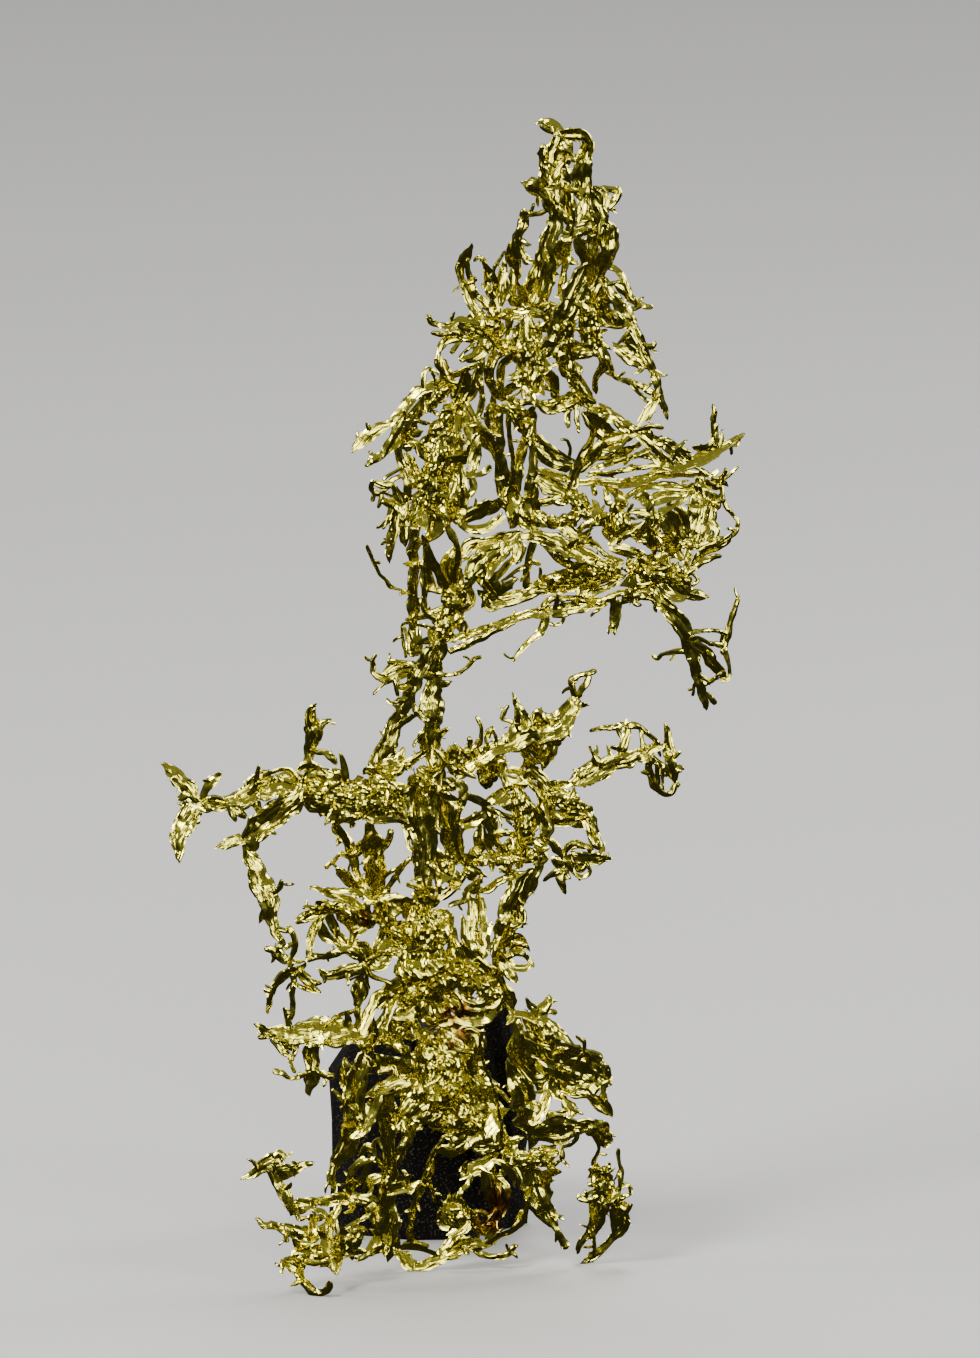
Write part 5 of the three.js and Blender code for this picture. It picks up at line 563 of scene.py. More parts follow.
  "left_twigs": [  # the tangle of small ribbons and fingers left of the trunk
    blade(-1, 0, 308,888,3, 316,888,5, 322,891,6, 330,896,8, 340,898,10, 350,901,10, 358,908,10, 368,918,9,
      380,922,10),
    blade(-2, -1, 317,901,3, 321,908,6, 327,914,8, 332,924,10, 338,934,8, 344,942,8, 350,948,8),
    mass(-1, -1, 324,904,9, 336,908,16, 350,914,20, 364,921,18, 376,922,12),
    twig(-3, -2, 302,908,3, 309,908,4, 322,910,6),
    wire(-3, -2, 295,923,4, 302,918,6, 310,914,7, 323,911,7),
    blade(-2, -3, 325,911,8, 317,922,10, 313,932,10, 311,942,8, 309,952,8, 306,960,8),
    twig(-2, -2, 322,922,4, 330,935,4, 345,947,5),
    twig(-1, -1, 346,920,5, 351,934,5, 356,944,6),
    blade(-2, -1, 346,947,8, 356,947,13, 364,953,9, 366,962,8),
    wire(-3, -1, 300,957,6, 312,958,6, 324,956,6, 336,953,7, 346,951,8, 356,956,8, 364,962,9),
    blade(-2, -1, 318,971,6, 326,976,9, 336,974,12, 348,971,13, 358,968,11, 368,963,9),
    twig(-2, -2, 325,974,6, 324,984,4),
    twig(-2, -2, 348,974,5, 348,987,3),
    wire(-1, 0, 362,962,8, 372,957,7, 384,954,7, 392,957,7),
    twig(-1, 0, 370,956,5, 377,946,5, 383,934,6, 386,924,8),
    twig(-1, 0, 364,962,6, 372,976,5, 384,981,5, 392,984,5),
    wire(-1, 0, 363,964,7, 361,976,6, 359,988,11, 358,1000,12, 357,1009,10),
    twig(-1, 0, 363,968,5, 367,982,5, 369,990,4),
    leaf(0, 0, 380,948,8, 388,944,12, 396,946,10),
  ],
  "left_twig_fork": [  # the forked twig hanging at the outer end of the tangle
    blade(-3, -3, 303,964,9, 298,969,10, 290,973,9, 281,979,8, 274,986,8, 270,993,8, 269,1003,6,
      269,1011,5),
    twig(-3, -3, 263,990,4, 271,992,6),
    twig(-3, -3, 296,971,8, 303,978,6, 309,986,7, 314,990,6, 321,993,3),
    wire(-3, -3, 298,970,7, 306,976,8, 314,983,7, 322,984,4),
    wire(-3, -3, 294,972,7, 293,984,6, 292,995,6, 293,1005,6, 292,1014,6, 289,1020,6),
    twig(-3, -3, 293,1014,5, 286,1012,4),
  ],
  "left_low_arm": [  # the low left arm with its hanging leg and claws
    blade(-2, 0, 254,1026,4, 260,1029,8, 270,1033,11, 280,1035,15, 290,1036,20, 304,1034,24, 318,1033,26,
      332,1033,30, 346,1031,30, 359,1031,28),
    twig(-2, -2, 257,1038,5, 264,1038,4, 276,1038,6),
    wire(-2, -2, 275,1040,6, 282,1050,6, 288,1056,5, 291,1064,4, 295,1074,4),
    twig(-2, -2, 294,1042,8, 294,1053,5),
    blade(-1, -1, 308,1040,18, 311,1054,16, 312,1066,15, 312,1078,14, 311,1086,15, 311,1094,8),
    twig(-2, -1, 272,1072,5, 280,1074,6, 288,1078,5, 296,1078,4, 310,1073,5),
    twig(-1, -1, 315,1069,5, 324,1076,6, 335,1077,4),
    twig(0, 0, 356,1030,9, 358,1018,8, 357,1007,6),
  ],
  "base_mass": [  # the dense crumpled mass at the top of the base
    mass(1, 1, 414,906,30, 418,916,44, 421,936,58, 424,956,66, 430,976,76, 436,992,84, 436,1004,70),
    blade(0, 0, 381,908,8, 392,902,10, 404,903,12, 412,912,14),
    mass(1, 0, 384,918,12, 392,930,20, 400,944,26),
    blade(1, 0, 442,910,9, 446,918,15, 450,930,14, 453,942,12, 456,956,12),
    blade(0, 0, 438,922,7, 445,934,9, 453,946,11, 461,958,14, 467,968,12, 472,980,12),
    mass(1, 1, 452,968,34, 470,984,26, 488,988,28, 500,998,16),
    blade(0, 0, 472,966,6, 482,970,10, 490,976,12),
    blade(1, 2, 400,984,22, 390,996,18, 381,1005,11, 374,1010,6),
    blade(0, 1, 394,1000,14, 387,1014,12, 380,1028,12, 374,1042,9, 368,1050,8),
    mass(1, 2, 402,1008,30, 404,1022,28, 402,1032,20, 396,1040,10),
    mass(1, 1, 436,1000,74, 442,1014,60, 450,1024,46),
  ],
  "sheaf": [  # the pale upright blades standing between the base and the crumpled sheets
    blade(1, 0, 471,894,6, 472,908,9, 473,920,10, 475,935,13, 478,948,14, 481,958,10),
    blade(2, 1, 479,894,7, 481,908,9, 483,922,8, 483,940,8, 484,956,9),
    blade(1, 0, 492,922,4, 488,932,6, 486,945,9, 486,958,9),
    twig(0, 0, 470,893,8, 476,888,6, 478,882,4),
    twig(1, 2, 471,896,5, 464,899,4, 448,905,3),
    leaf(1, 0, 464,917,4, 465,928,8, 466,940,10, 472,952,9),
  ],
  "base_shell": [  # the crumpled hollow below the dense mass, with the bright-edged sheet beside it
    mass(1.6, 2, 431,1033,40, 428,1044,46, 436,1056,62, 444,1068,72, 448,1082,84, 454,1098,86, 464,1112,72,
      470,1124,60, 474,1136,44),
    blade(0, -1, 466,1030,26, 470,1042,26, 468,1060,32, 472,1080,36, 478,1098,38, 482,1114,40, 484,1130,38,
      484,1142,34, 480,1152,16),
    leaf(2, 1, 374,1054,6, 382,1063,16, 394,1067,18, 410,1064,18, 424,1058,18),
    wire(-1, -1, 486,1076,5, 499,1091,4, 510,1104,3),
    blade(2, 1, 424,1092,22, 414,1106,20, 402,1120,14, 394,1130,10),
    wire(2, 2, 426,1112,12, 414,1128,10, 404,1148,10, 396,1166,6),
    twig(1, 1, 404,1118,8, 404,1130,5, 404,1142,4),
    twig(1, 1, 452,1120,14, 456,1140,12, 460,1154,7),
    blade(2, 2, 408,1080,16, 400,1088,12, 392,1094,8),
  ],
  "left_leg": [  # the long ribbon leg at the left of the base
    blade(-1, -2, 364,1056,10, 360,1063,14, 354,1074,17, 351,1088,19, 350,1102,18, 349,1116,18, 348,1130,17,
      345,1142,15, 341,1154,13, 335,1164,11, 332,1174,9, 332,1184,9, 334,1193,9),
    twig(-1, -1, 331,1090,4, 336,1096,4, 345,1105,6),
    blade(-1, -1, 377,1096,9, 372,1108,14, 367,1120,16, 360,1132,12, 352,1144,10),
    twig(-1, -1, 352,1074,7, 346,1066,7, 344,1058,4),
    twig(-1, -1, 350,1086,8, 342,1082,5),
    leaf(-1, -1, 358,1058,6, 365,1063,12, 371,1072,5),
    blade(-1, -1, 366,1064,8, 364,1084,7, 360,1104,8, 358,1122,9),
    twig(-2, -2, 330,1170,5, 328,1180,4, 332,1186,5),
  ],
  "middle_leg": [  # the straight bundled leg left of the middle
    blade(0, 3, 394,1098,10, 392,1104,18, 388,1114,21, 388,1128,19, 387,1142,15, 388,1158,14, 389,1172,15,
      387,1184,18, 387,1200,18, 388,1214,19, 387,1228,22, 385,1242,27, 384,1254,24),
    twig(1, 1, 384,1140,5, 375,1144,5, 374,1152,4, 378,1162,5, 380,1171,5),
    blade(1, 2, 390,1186,10, 402,1184,12, 411,1179,4),
    blade(1, 2, 390,1194,10, 406,1190,9, 420,1184,4),
    blade(1, 0, 378,1238,10, 370,1251,8, 363,1259,6, 355,1263,3),
  ],
  "left_foot": [  # the left foot: a cross arm, and a stalk carrying a boat-shaped pair of leaves
    blade(-5, -5, 240,1180,2, 248,1176,7, 258,1171,12, 266,1165,18, 273,1162,18, 278,1168,8),
    twig(-5, -5, 273,1158,9, 279,1152,5, 287,1156,4, 293,1152,3),
    blade(-5, -5, 270,1168,10, 280,1172,20, 290,1172,14, 302,1167,8, 314,1164,3),
    blade(-5, -5, 275,1174,10, 278,1184,9, 284,1192,11, 288,1200,12, 290,1208,13, 289,1215,8),
    blade(-5, 0, 288,1205,12, 300,1205,12, 316,1203,9, 330,1201,9, 344,1200,12, 358,1200,12, 370,1203,11,
      374,1204,11),
    wire(-5, -5, 296,1208,6, 312,1209,5, 322,1213,5, 328,1218,4),
    twig(-5, -5, 297,1208,4, 299,1220,4, 307,1218,3),
    twig(-4, -4, 353,1202,6, 351,1211,6, 344,1215,4),
    blade(-4, -3, 344,1198,8, 352,1187,12, 362,1180,9, 368,1168,8, 371,1158,5),
    blade(-4, -3, 350,1190,8, 351,1176,8, 357,1166,10, 365,1157,9),
  ],
  "left_low_foot": [  # the lowest left foot: crumpled claws and the curled wire that meets the ground
    blade(-8, -3.2, 256,1221,6, 266,1226,8, 278,1227,9, 290,1231,13, 302,1236,17, 313,1236,14, 322,1230,10,
      329,1222,9, 334,1215,9, 338,1209,7),
    twig(-8, -8, 285,1231,6, 287,1243,4),
    blade(-8, -8, 292,1234,12, 300,1244,12, 308,1250,12),
    blade(-8, -8, 331,1218,9, 329,1232,12, 326,1244,13, 322,1252,11),
    mass(-8, -7, 294,1262,17, 302,1257,24, 316,1256,22, 332,1254,18, 346,1245,20, 358,1236,20, 365,1229,14),
    twig(-8, -8, 291,1258,9, 283,1264,6, 281,1270,4, 282,1277,3),
    blade(-8, -8, 335,1254,11, 337,1264,9, 334,1274,5),
    wire(-8, -10, 297,1266,8, 299,1276,8, 303,1283,9, 309,1289,9, 316,1293,8, 324,1291,7, 328,1286,7,
      329,1281,4),
    twig(-8, -8, 310,1240,5, 310,1226,4, 311,1214,3),
  ],
  "base_rim": [  # the low rim that joins the feet along the ground
    blade(2, 3, 397,1252,10, 403,1258,14, 410,1265,13, 420,1269,8, 432,1263,10, 444,1257,16, 456,1251,18,
      466,1247,15, 478,1247,10, 492,1248,7),
    wire(3, 3, 471,1250,5, 480,1256,5, 492,1259,6, 504,1257,6, 512,1252,5, 516,1247,4),
    wire(4, 5, 484,1247,5, 492,1243,4, 498,1238,4, 506,1236,5, 514,1231,7, 520,1221,10, 523,1212,7),
    blade(3, 3, 442,1252,12, 452,1242,9, 457,1237,6),
  ],
  "inner_twigs": [  # the thin forked twigs standing in the middle of the base
    wire(1, 5, 442,1142,5, 436,1152,5, 430,1162,5, 427,1174,6, 423,1186,7, 418,1198,7, 414,1210,7,
      411,1222,6, 410,1234,6, 411,1249,7),
    wire(5, 5, 402,1247,4, 412,1246,6, 420,1247,6, 429,1250,7),
    twig(1, 5, 436,1163,5, 431,1174,5, 428,1182,6),
    twig(5, 5, 427,1180,5, 431,1190,5, 433,1198,5, 435,1206,3),
    twig(5, 5, 432,1195,4, 437,1194,2),
    twig(5, 5, 412,1202,3, 412,1214,5),
    wire(1, 1, 450,1142,3, 446,1138,4, 440,1146,5),
  ],
  "base_strands": [  # the rust-stained ribbons under the shell, with the cubic crystal they carry
    blade(2, 3, 460,1180,8, 466,1173,13, 478,1168,14, 490,1163,14, 498,1158,10),
    wire(2, 1, 472,1176,6, 468,1186,6, 461,1193,6, 457,1201,6),
    blade(3, 3, 494,1168,12, 495,1190,11, 497,1204,12, 496,1218,12, 491,1230,12, 485,1239,9),
    blade(4, 4, 504,1176,11, 507,1192,8, 506,1206,6, 503,1218,5),
    blade(4, 3, 497,1176,10, 508,1176,10),
    twig(2, 2, 497,1210,5, 490,1221,4, 481,1230,4),
    blade(2, 3, 473,1214,8, 478,1228,12, 480,1238,12),
    mass(1, 1, 444,1213,12, 451,1215,24, 459,1220,24, 465,1224,10),
    twig(1, 3, 460,1224,8, 468,1226,8, 478,1230,8),
  ],
  "right_low_fan": [  # the wide crumpled sheet low on the right
    blade(1, 1, 508,1010,12, 514,1018,13, 518,1030,12, 521,1042,13),
    leaf(1, 3, 522,1040,14, 545,1054,24, 565,1060,26, 585,1068,28, 598,1076,22, 609,1082,12),
    leaf(1, 2, 522,1052,20, 540,1068,26, 560,1080,24, 576,1087,20, 592,1084,12),
    blade(1, 2, 522,1034,8, 545,1044,6, 570,1048,6, 586,1055,7, 596,1066,8),
    blade(2, 3, 556,1082,7, 564,1091,8, 574,1095,8, 588,1091,7, 602,1086,8),
    blade(3, 3, 580,1092,8, 592,1099,12, 602,1106,13, 610,1113,9, 612,1119,3),
    blade(1, 2, 512,1014,12, 524,1016,9, 536,1019,8, 549,1025,13, 559,1034,13, 568,1043,9, 574,1050,8),
    mass(2, 2, 534,1028,11, 548,1036,20, 562,1044,14),
    twig(2, 2, 585,1055,5, 585,1046,4, 584,1039,2),
    twig(1, 1, 526,998,2, 530,1004,3, 536,1008,4, 532,1014,5, 528,1018,6),
    twig(2, 2, 549,995,3, 549,1005,6, 543,1012,8, 538,1020,8),
    twig(2, 2, 557,1014,3, 550,1012,5, 542,1014,6),
    blade(1, 2, 523,1020,6, 530,1030,7, 536,1040,6),
  ],
  "right_strip": [  # the crumpled strip that drops from the low fan to the right leg
    blade(0, 1, 510,1062,7, 511,1070,9, 516,1082,17, 522,1094,26, 526,1108,30, 528,1122,26, 530,1136,20,
      528,1144,20),
    blade(2, 1, 548,1086,8, 546,1098,12, 541,1110,14, 534,1122,14),
    blade(1, 1, 534,1130,16, 548,1129,20, 558,1126,21, 568,1127,18, 578,1129,14, 586,1128,18, 592,1130,12),
    blade(2, 1, 562,1098,7, 566,1106,9, 570,1112,12, 572,1120,12),
    twig(1, 1, 545,1118,6, 556,1114,5, 568,1112,6),
    wire(1, 1, 576,1130,8, 577,1140,5, 571,1146,4, 562,1150,5, 563,1158,7, 562,1164,4),
    mass(3, 4, 588,1130,12, 598,1132,9, 606,1138,13, 612,1142,6),
  ],
  "right_leg": [  # the right leg: a knotted top and a long pointed foot
    mass(1, 3, 503,1156,11, 512,1160,16, 526,1161,22, 540,1158,24, 550,1156,20, 558,1154,8),
    blade(1, 3, 532,1162,32, 534,1180,30, 539,1194,24, 545,1206,20, 551,1218,11, 557,1229,5),
    wire(1, 3, 532,1206,6, 540,1216,6, 550,1226,6, 558,1233,7, 562,1242,8, 567,1252,8),
    twig(1, 3, 526,1203,4, 528,1196,5, 533,1189,6),
    twig(1, 0, 540,1188,5, 549,1183,5, 555,1181,3),
    twig(0, 0, 544,1162,6, 552,1170,5, 561,1173,3),
  ],
  "right_foot": [  # the far right foot: a crumpled knot on three bent legs, hung from a thin wire
    mass(3, 3, 600,1170,14, 604,1178,22, 607,1188,26, 611,1198,24, 614,1206,18),
    wire(1, 3, 590,1134,6, 596,1138,5, 600,1148,4, 598,1157,4, 594,1165,5, 597,1174,6),
    twig(3, 3, 578,1197,6, 583,1202,6, 592,1201,6, 600,1195,7),
    twig(3, 3, 582,1200,4, 590,1195,3, 600,1192,5),
    blade(3, 5.5, 598,1196,12, 596,1214,14, 594,1226,10, 590,1236,8, 584,1243,6, 580,1249,6, 577,1256,5),
    wire(3, 3, 606,1198,7, 604,1212,7, 602,1222,8, 596,1232,8, 590,1239,7),
    twig(3, 5.5, 592,1236,5, 595,1247,4, 594,1260,5),
    blade(3, 5.7, 616,1198,16, 620,1212,17, 623,1222,14, 625,1230,10, 616,1239,9, 610,1245,8, 602,1252,8,
      594,1258,9, 586,1262,8),
    wire(3, 3, 619,1150,3, 619,1158,4, 620,1166,4, 622,1174,5, 622,1182,5, 620,1190,5, 616,1198,8),
    twig(3, 3, 620,1190,4, 630,1189,3, 631,1196,3, 624,1200,5, 618,1200,6),
    twig(3, 3, 632,1206,3, 628,1212,4, 620,1208,6),
  ],
}

# Finer strands that the solids leave out, drawn the same way. They fill in and join the pieces.
FINER = {
  "crown_tip": [
    blade(-0.5, 0, 541,127,6, 548,131,7, 553,135,5),
    leaf(0, 0.5, 565,140,5, 573,140,7, 581,141,6),
    blade(0, 0, 569,141,5, 570,150,5, 568,160,8, 569,169,8),
    twig(0, 0, 572,176,4, 572,192,4, 574,208,5, 577,226,4),
    blade(-1, 0, 523,185,4, 530,190,8, 538,196,6, 546,207,6),
    twig(0, 0, 562,208,5, 566,226,7),
    blade(1, 1, 574,225,6, 582,223,7, 591,222,6),
    twig(1, 1, 600,228,4, 601,240,5, 601,254,4),
    leaf(1, 1, 574,238,8, 579,248,14, 583,258,9, 583,266,4, 577,275,4),
    blade(1, 1, 561,236,6, 558,246,12, 557,264,10, 553,280,5),
    twig(0, 0.5, 532,258,4, 530,275,4, 526,290,5, 522,304,5),
    blade(0, 0.5, 528,296,12, 526,312,12, 528,328,9),
    wire(1, 1, 566,284,7, 566,300,6, 560,316,5),
  ],
  "crown_left": [
    blade(0, 0, 521,245,4, 523,256,6, 527,262,10, 533,264,5),
    leaf(-1, 0, 519,284,5, 522,293,9, 524,303,6),
    twig(-1, -1, 511,243,4, 508,256,5, 511,267,5),
    blade(-1, -1, 508,274,4, 506,286,7, 503,299,6, 498,310,6),
    leaf(-2, -2, 487,266,4, 491,276,8, 495,285,6, 492,298,7),
    leaf(-2, -1, 455,324,5, 465,328,9, 479,333,8, 490,336,6),
    blade(-1, 0, 462,362,6, 474,358,10, 484,350,12, 494,340,6),
    mass(-1, 0, 478,318,14, 492,326,22, 508,322,18),
    blade(-1, 0, 470,312,7, 484,318,7, 500,332,6),
    twig(-2, -1, 442,348,4, 450,342,5, 462,340,5, 474,334,5),
  ],
  "crown_core": [
    mass(1.5, 1.5, 590,303,20, 590,330,28, 594,352,24),
    blade(1, 2, 598,345,14, 604,362,14, 596,380,8, 595,394,6),
    leaf(1, 1, 548,362,10, 552,380,12, 555,398,8),
    twig(0, 0, 540,306,6, 556,301,7),
    twig(0, 0, 550,303,6, 548,320,6, 552,334,5),
    blade(0, 0, 498,312,8, 515,315,12, 530,313,10, 545,317,8),
    blade(0, 0, 509,312,8, 508,335,6, 500,348,5),
    blade(0, 0, 512,354,8, 502,365,8, 500,380,8, 503,402,6),
    leaf(-0.5, 0, 505,396,8, 512,388,10, 519,383,8),
    blade(1, 1, 569,358,6, 580,358,6, 592,358,6),
    blade(0, 0, 528,318,8, 534,334,9, 530,350,7),
    leaf(1, 1, 560,330,10, 568,344,12, 580,350,8),
    wire(0, 0, 578,384,8, 588,398,8, 596,404,7),
    blade(0.5, 1, 572,372,8, 582,384,9, 590,398,8),
  ],
  "right_drape": [
    leaf(2, 2, 598,286,6, 603,296,12, 608,304,8),
    leaf(2, 2, 613,284,4, 619,288,8, 625,297,5),
    blade(2, 2, 597,292,8, 606,305,6, 612,320,6, 612,332,5),
    blade(2, 2, 586,272,8, 594,282,8, 606,296,7),
    twig(2, 2, 604,310,4, 618,316,5, 632,312,4),
    leaf(3, 3, 622,338,6, 634,346,10, 646,352,6),
    blade(2, 2, 606,372,5, 622,380,6, 640,386,7, 654,396,5),
  ],
  "crown_middle": [
    blade(0, 0, 490,400,12, 492,420,14, 498,438,8),
    blade(0, 0, 474,424,8, 482,436,14, 494,450,12, 500,466,6),
    mass(0, 0, 505,402,12, 518,412,20, 524,428,16, 528,443,8),
    blade(0, 0.5, 522,438,8, 520,458,10, 518,475,10, 521,493,5),
    leaf(1, 1, 534,445,6, 545,456,12, 556,464,12, 570,468,10),
    leaf(1, 1, 534,474,10, 548,484,20, 560,490,14, 568,498,6),
    leaf(-0.5, -0.5, 472,440,8, 472,455,18, 470,471,14),
    blade(0.5, 0.5, 556,522,6, 568,530,12, 582,536,8, 592,530,6),
    blade(-0.5, 0, 507,500,10, 490,508,12, 478,514,10, 460,523,6),
    leaf(0, 0, 508,482,8, 514,496,12, 520,510,8),
    twig(0.5, 1, 562,478,5, 574,486,6, 580,478,6),
    mass(0.5, 0.5, 574,492,14, 584,506,16, 592,518,10),
  ],
  "right_arm": [
    blade(2, 2, 580,470,8, 592,457,12, 603,446,10, 618,440,8, 636,436,8),
    blade(2, 2, 594,460,5, 612,456,6, 628,450,8, 642,444,6),
    blade(2, 3, 574,484,8, 600,482,9, 625,484,12, 642,480,10, 662,474,11, 682,474,9, 708,477,6),
    blade(1, 1.5, 582,402,8, 590,415,10, 597,430,12, 606,440,8),
    blade(1, 1, 590,402,8, 600,418,12, 608,430,10, 618,432,6),
    leaf(3, 3, 660,444,8, 670,450,10, 684,458,8),
    twig(3, 3, 648,428,6, 653,442,6, 664,446,5),
    twig(2, 2, 604,482,5, 606,495,6, 610,506,6),
    twig(2, 2, 592,482,6, 596,496,5),
    blade(2, 2, 632,424,8, 644,434,8, 656,438,6),
    leaf(3, 3, 694,446,8, 706,448,10, 716,440,8),
  ],
  "right_fan": [
    mass(2, 2, 624,497,22, 618,512,28, 624,530,26, 626,545,16),
    mass(2.5, 2.5, 642,548,12, 662,540,16, 680,545,20, 696,556,14),
    leaf(3, 3, 662,514,8, 670,528,18, 676,542,14),
    leaf(3, 3, 676,503,8, 682,515,12, 688,531,8),
    blade(2.5, 3, 694,560,8, 708,550,12, 722,544,12, 735,537,6),
    blade(2, 2, 690,554,10, 684,570,8),
    blade(3, 3, 714,518,8, 716,532,8, 710,544,6),
    twig(3, 3, 720,484,5, 726,468,5),
    leaf(3, 3, 700,480,10, 704,494,14, 700,508,12),
    twig(3, 3, 706,474,5, 712,484,6, 722,488,6),
  ],
  "roof": [
    blade(0, 0, 510,536,8, 517,548,14, 515,562,10),
    blade(0, 0, 518,530,6, 500,538,10, 485,541,9, 468,546,14, 462,557,8),
    blade(0.5, 1, 536,541,6, 550,549,9, 560,560,10, 576,565,8, 584,562,5),
    blade(0, 0, 500,574,8, 508,564,8, 522,555,8),
    leaf(0, 0, 498,590,10, 507,586,10, 516,582,8),
    blade(0, 0, 480,600,6, 490,607,9, 500,605,7, 515,602,6, 542,594,5),
    blade(1, 1, 582,600,5, 596,591,8, 610,586,6, 622,580,8),
    blade(1, 1, 612,546,8, 630,552,12, 642,556,8),
    blade(0, 0, 476,574,8, 484,584,10, 492,594,6),
    wire(0, 0, 552,574,5, 570,580,6, 590,576,6),
  ],
  "stem_head": [
    mass(0, 0, 462,584,12, 469,598,18, 470,610,14),
    leaf(-0.5, -0.5, 450,550,8, 446,566,14, 446,580,12, 446,590,6),
    blade(-0.5, 0, 424,546,6, 428,562,8, 430,578,8, 434,592,6),
    blade(0, 0, 455,618,6, 457,638,8),
    twig(0, 0, 426,590,5, 441,592,6),
    blade(0, 0, 417,596,4, 418,616,6),
    blade(0, 0, 432,612,6, 439,600,5),
    leaf(0, 0, 417,624,6, 418,640,10, 422,653,8),
    blade(0, 0, 428,626,4, 432,635,10, 430,645,6),
    blade(0, 0, 421,645,8, 430,640,8, 439,644,4),
    twig(1, 0, 404,626,4, 408,642,4, 411,655,5, 422,650,6),
    leaf(0, 0, 441,660,4, 444,650,8, 452,645,6),
    blade(0, 0, 462,566,7, 458,580,8, 452,594,8),
  ],
  "left_wing": [
    blade(-1, -1, 442,358,6, 446,372,10, 454,382,8),
    blade(-1, -1, 434,391,6, 447,380,9, 464,371,8, 476,362,5),
    mass(-1, -1, 422,412,10, 434,400,14, 446,390,10),
    mass(-1.5, -1.5, 422,408,8, 415,420,14, 408,436,16, 407,452,10),
    blade(-1, -1, 476,382,8, 474,393,12, 470,404,8),
    leaf(-1, -1, 411,458,8, 414,470,12, 415,489,8),
    blade(-1, -1, 411,498,8, 413,513,9, 410,524,5),
    leaf(-1, -1, 430,510,10, 434,522,20, 430,536,14, 422,543,6),
    blade(-1, -1, 456,478,6, 456,494,8, 452,508,6),
    wire(-1, -0.5, 464,404,4, 474,420,5, 486,430,4, 502,436,4),
    leaf(-1, -1, 470,474,8, 474,488,8, 470,502,6),
  ],
  "left_wing_tips": [
    blade(-2.5, -2.5, 394,424,6, 381,430,7, 368,441,7, 357,451,5),
    leaf(-2.5, -2.5, 388,456,5, 394,446,8, 398,434,6),
    leaf(-2.5, -2.5, 376,482,6, 384,486,8, 392,486,6, 398,496,10, 402,508,6),
    blade(-2, -2, 403,518,7, 402,534,9, 399,548,6),
    blade(-2.5, -2.5, 397,542,6, 393,560,5),
    leaf(-2.5, -2.5, 408,398,6, 418,390,7, 424,396,6),
    twig(-2.5, -2.5, 376,492,5, 372,502,4),
  ],
  "right_knot": [
    leaf(2, 2, 660,582,10, 674,594,16, 690,602,12),
    mass(1.5, 2, 622,596,8, 636,594,12, 650,592,14, 658,606,10),
    blade(2, 3, 656,590,10, 668,606,12, 676,620,10),
    leaf(2, 2, 630,566,12, 644,576,14, 656,584,10),
  ],
  "left_stem": [
    leaf(-1, -1, 384,673,5, 392,667,9, 402,665,8, 414,666,5),
    blade(-1, -1, 396,684,6, 403,688,8, 410,683,5),
    twig(-1, -1, 396,681,4, 407,676,5),
    twig(0, 0, 419,686,4, 414,702,5, 415,710,6, 420,716,5, 428,723,5),
    blade(-0.5, -0.5, 414,716,5, 404,722,6, 399,732,5),
    mass(-2, -1, 366,766,8, 380,770,10, 396,770,14, 410,764,8),
    blade(-1, 0, 400,768,8, 412,760,7, 426,750,5),
    blade(-1, -1, 403,748,4, 400,760,10, 398,776,12),
    leaf(-0.5, -0.5, 386,756,12, 380,768,14, 376,780,10),
  ],
  "right_stem": [
    twig(0, 0, 426,676,4, 424,694,4, 423,710,4),
    blade(0, 0, 425,720,4, 423,734,4, 422,748,5, 426,762,5),
    blade(0, 0, 441,740,6, 446,730,5, 450,727,4),
    mass(0, 0, 422,768,8, 432,772,10, 444,774,8),
    blade(1, 1, 441,748,6, 443,762,8, 446,776,8),
    leaf(0, 0, 434,762,12, 436,776,14, 436,790,10),
  ],
  "trunk": [
    mass(0, 0, 438,866,8, 449,874,16, 458,882,10),
    mass(0, 0, 424,896,10, 434,903,14, 444,908,12),
    blade(1, 1, 458,776,6, 463,788,10, 462,800,10, 462,814,8),
    blade(1, 2, 464,796,6, 478,800,8, 490,806,6),
    twig(1, 1, 460,822,6, 472,818,6, 482,812,5),
    blade(1, 1, 460,828,7, 472,826,6, 482,821,5),
    twig(0, 0, 404,824,4, 406,834,5, 410,847,4, 416,856,4),
    leaf(-0.5, 0, 396,792,12, 408,790,12, 420,788,10),
    twig(0, 0, 412,842,4, 412,860,4),
    blade(0.5, 0.5, 484,876,8, 476,884,6, 469,890,8, 462,900,6),
    blade(1, 1, 476,866,8, 488,868,8),
    twig(0, 0, 448,907,3, 466,900,4, 474,894,3),
  ],
  "left_arm": [
    leaf(-5, -5, 234,808,8, 243,799,20, 254,790,26, 262,781,22, 268,775,10),
    leaf(-5, -5, 300,773,6, 312,776,12, 326,777,11, 342,780,5),
    leaf(-4.6, -4, 306,790,16, 322,797,34, 342,802,42, 362,807,36, 378,811,24, 392,815,10),
    leaf(-4.8, -4.6, 308,780,8, 314,788,14, 318,798,8),
    blade(-3, -3, 360,816,6, 372,819,9, 384,820,8, 398,820,6, 408,824,4),
    leaf(-4, -4, 296,770,5, 308,765,10, 318,768,6, 328,771,5),
    leaf(-3, -3, 340,752,3, 343,762,6, 346,776,10),
    blade(-3, -3, 332,768,5, 341,774,6, 352,778,6),
    blade(-4, -4, 260,772,4, 275,771,4, 290,770,6, 302,776,8),
    blade(-4, -3, 230,800,4, 236,812,5, 242,821,4),
    twig(-5, -5, 204,810,4, 226,808,5, 238,804,5),
    blade(-2.5, -2, 324,806,5, 331,812,9, 336,824,9, 342,834,8, 350,846,8),
  ],
  "left_arm_hanger": [
    leaf(-6, -5, 250,850,14, 251,838,22, 262,826,24, 278,815,20, 292,803,22, 304,791,14),
    leaf(-5, -4, 256,810,8, 274,807,16, 290,804,14, 302,799,5),
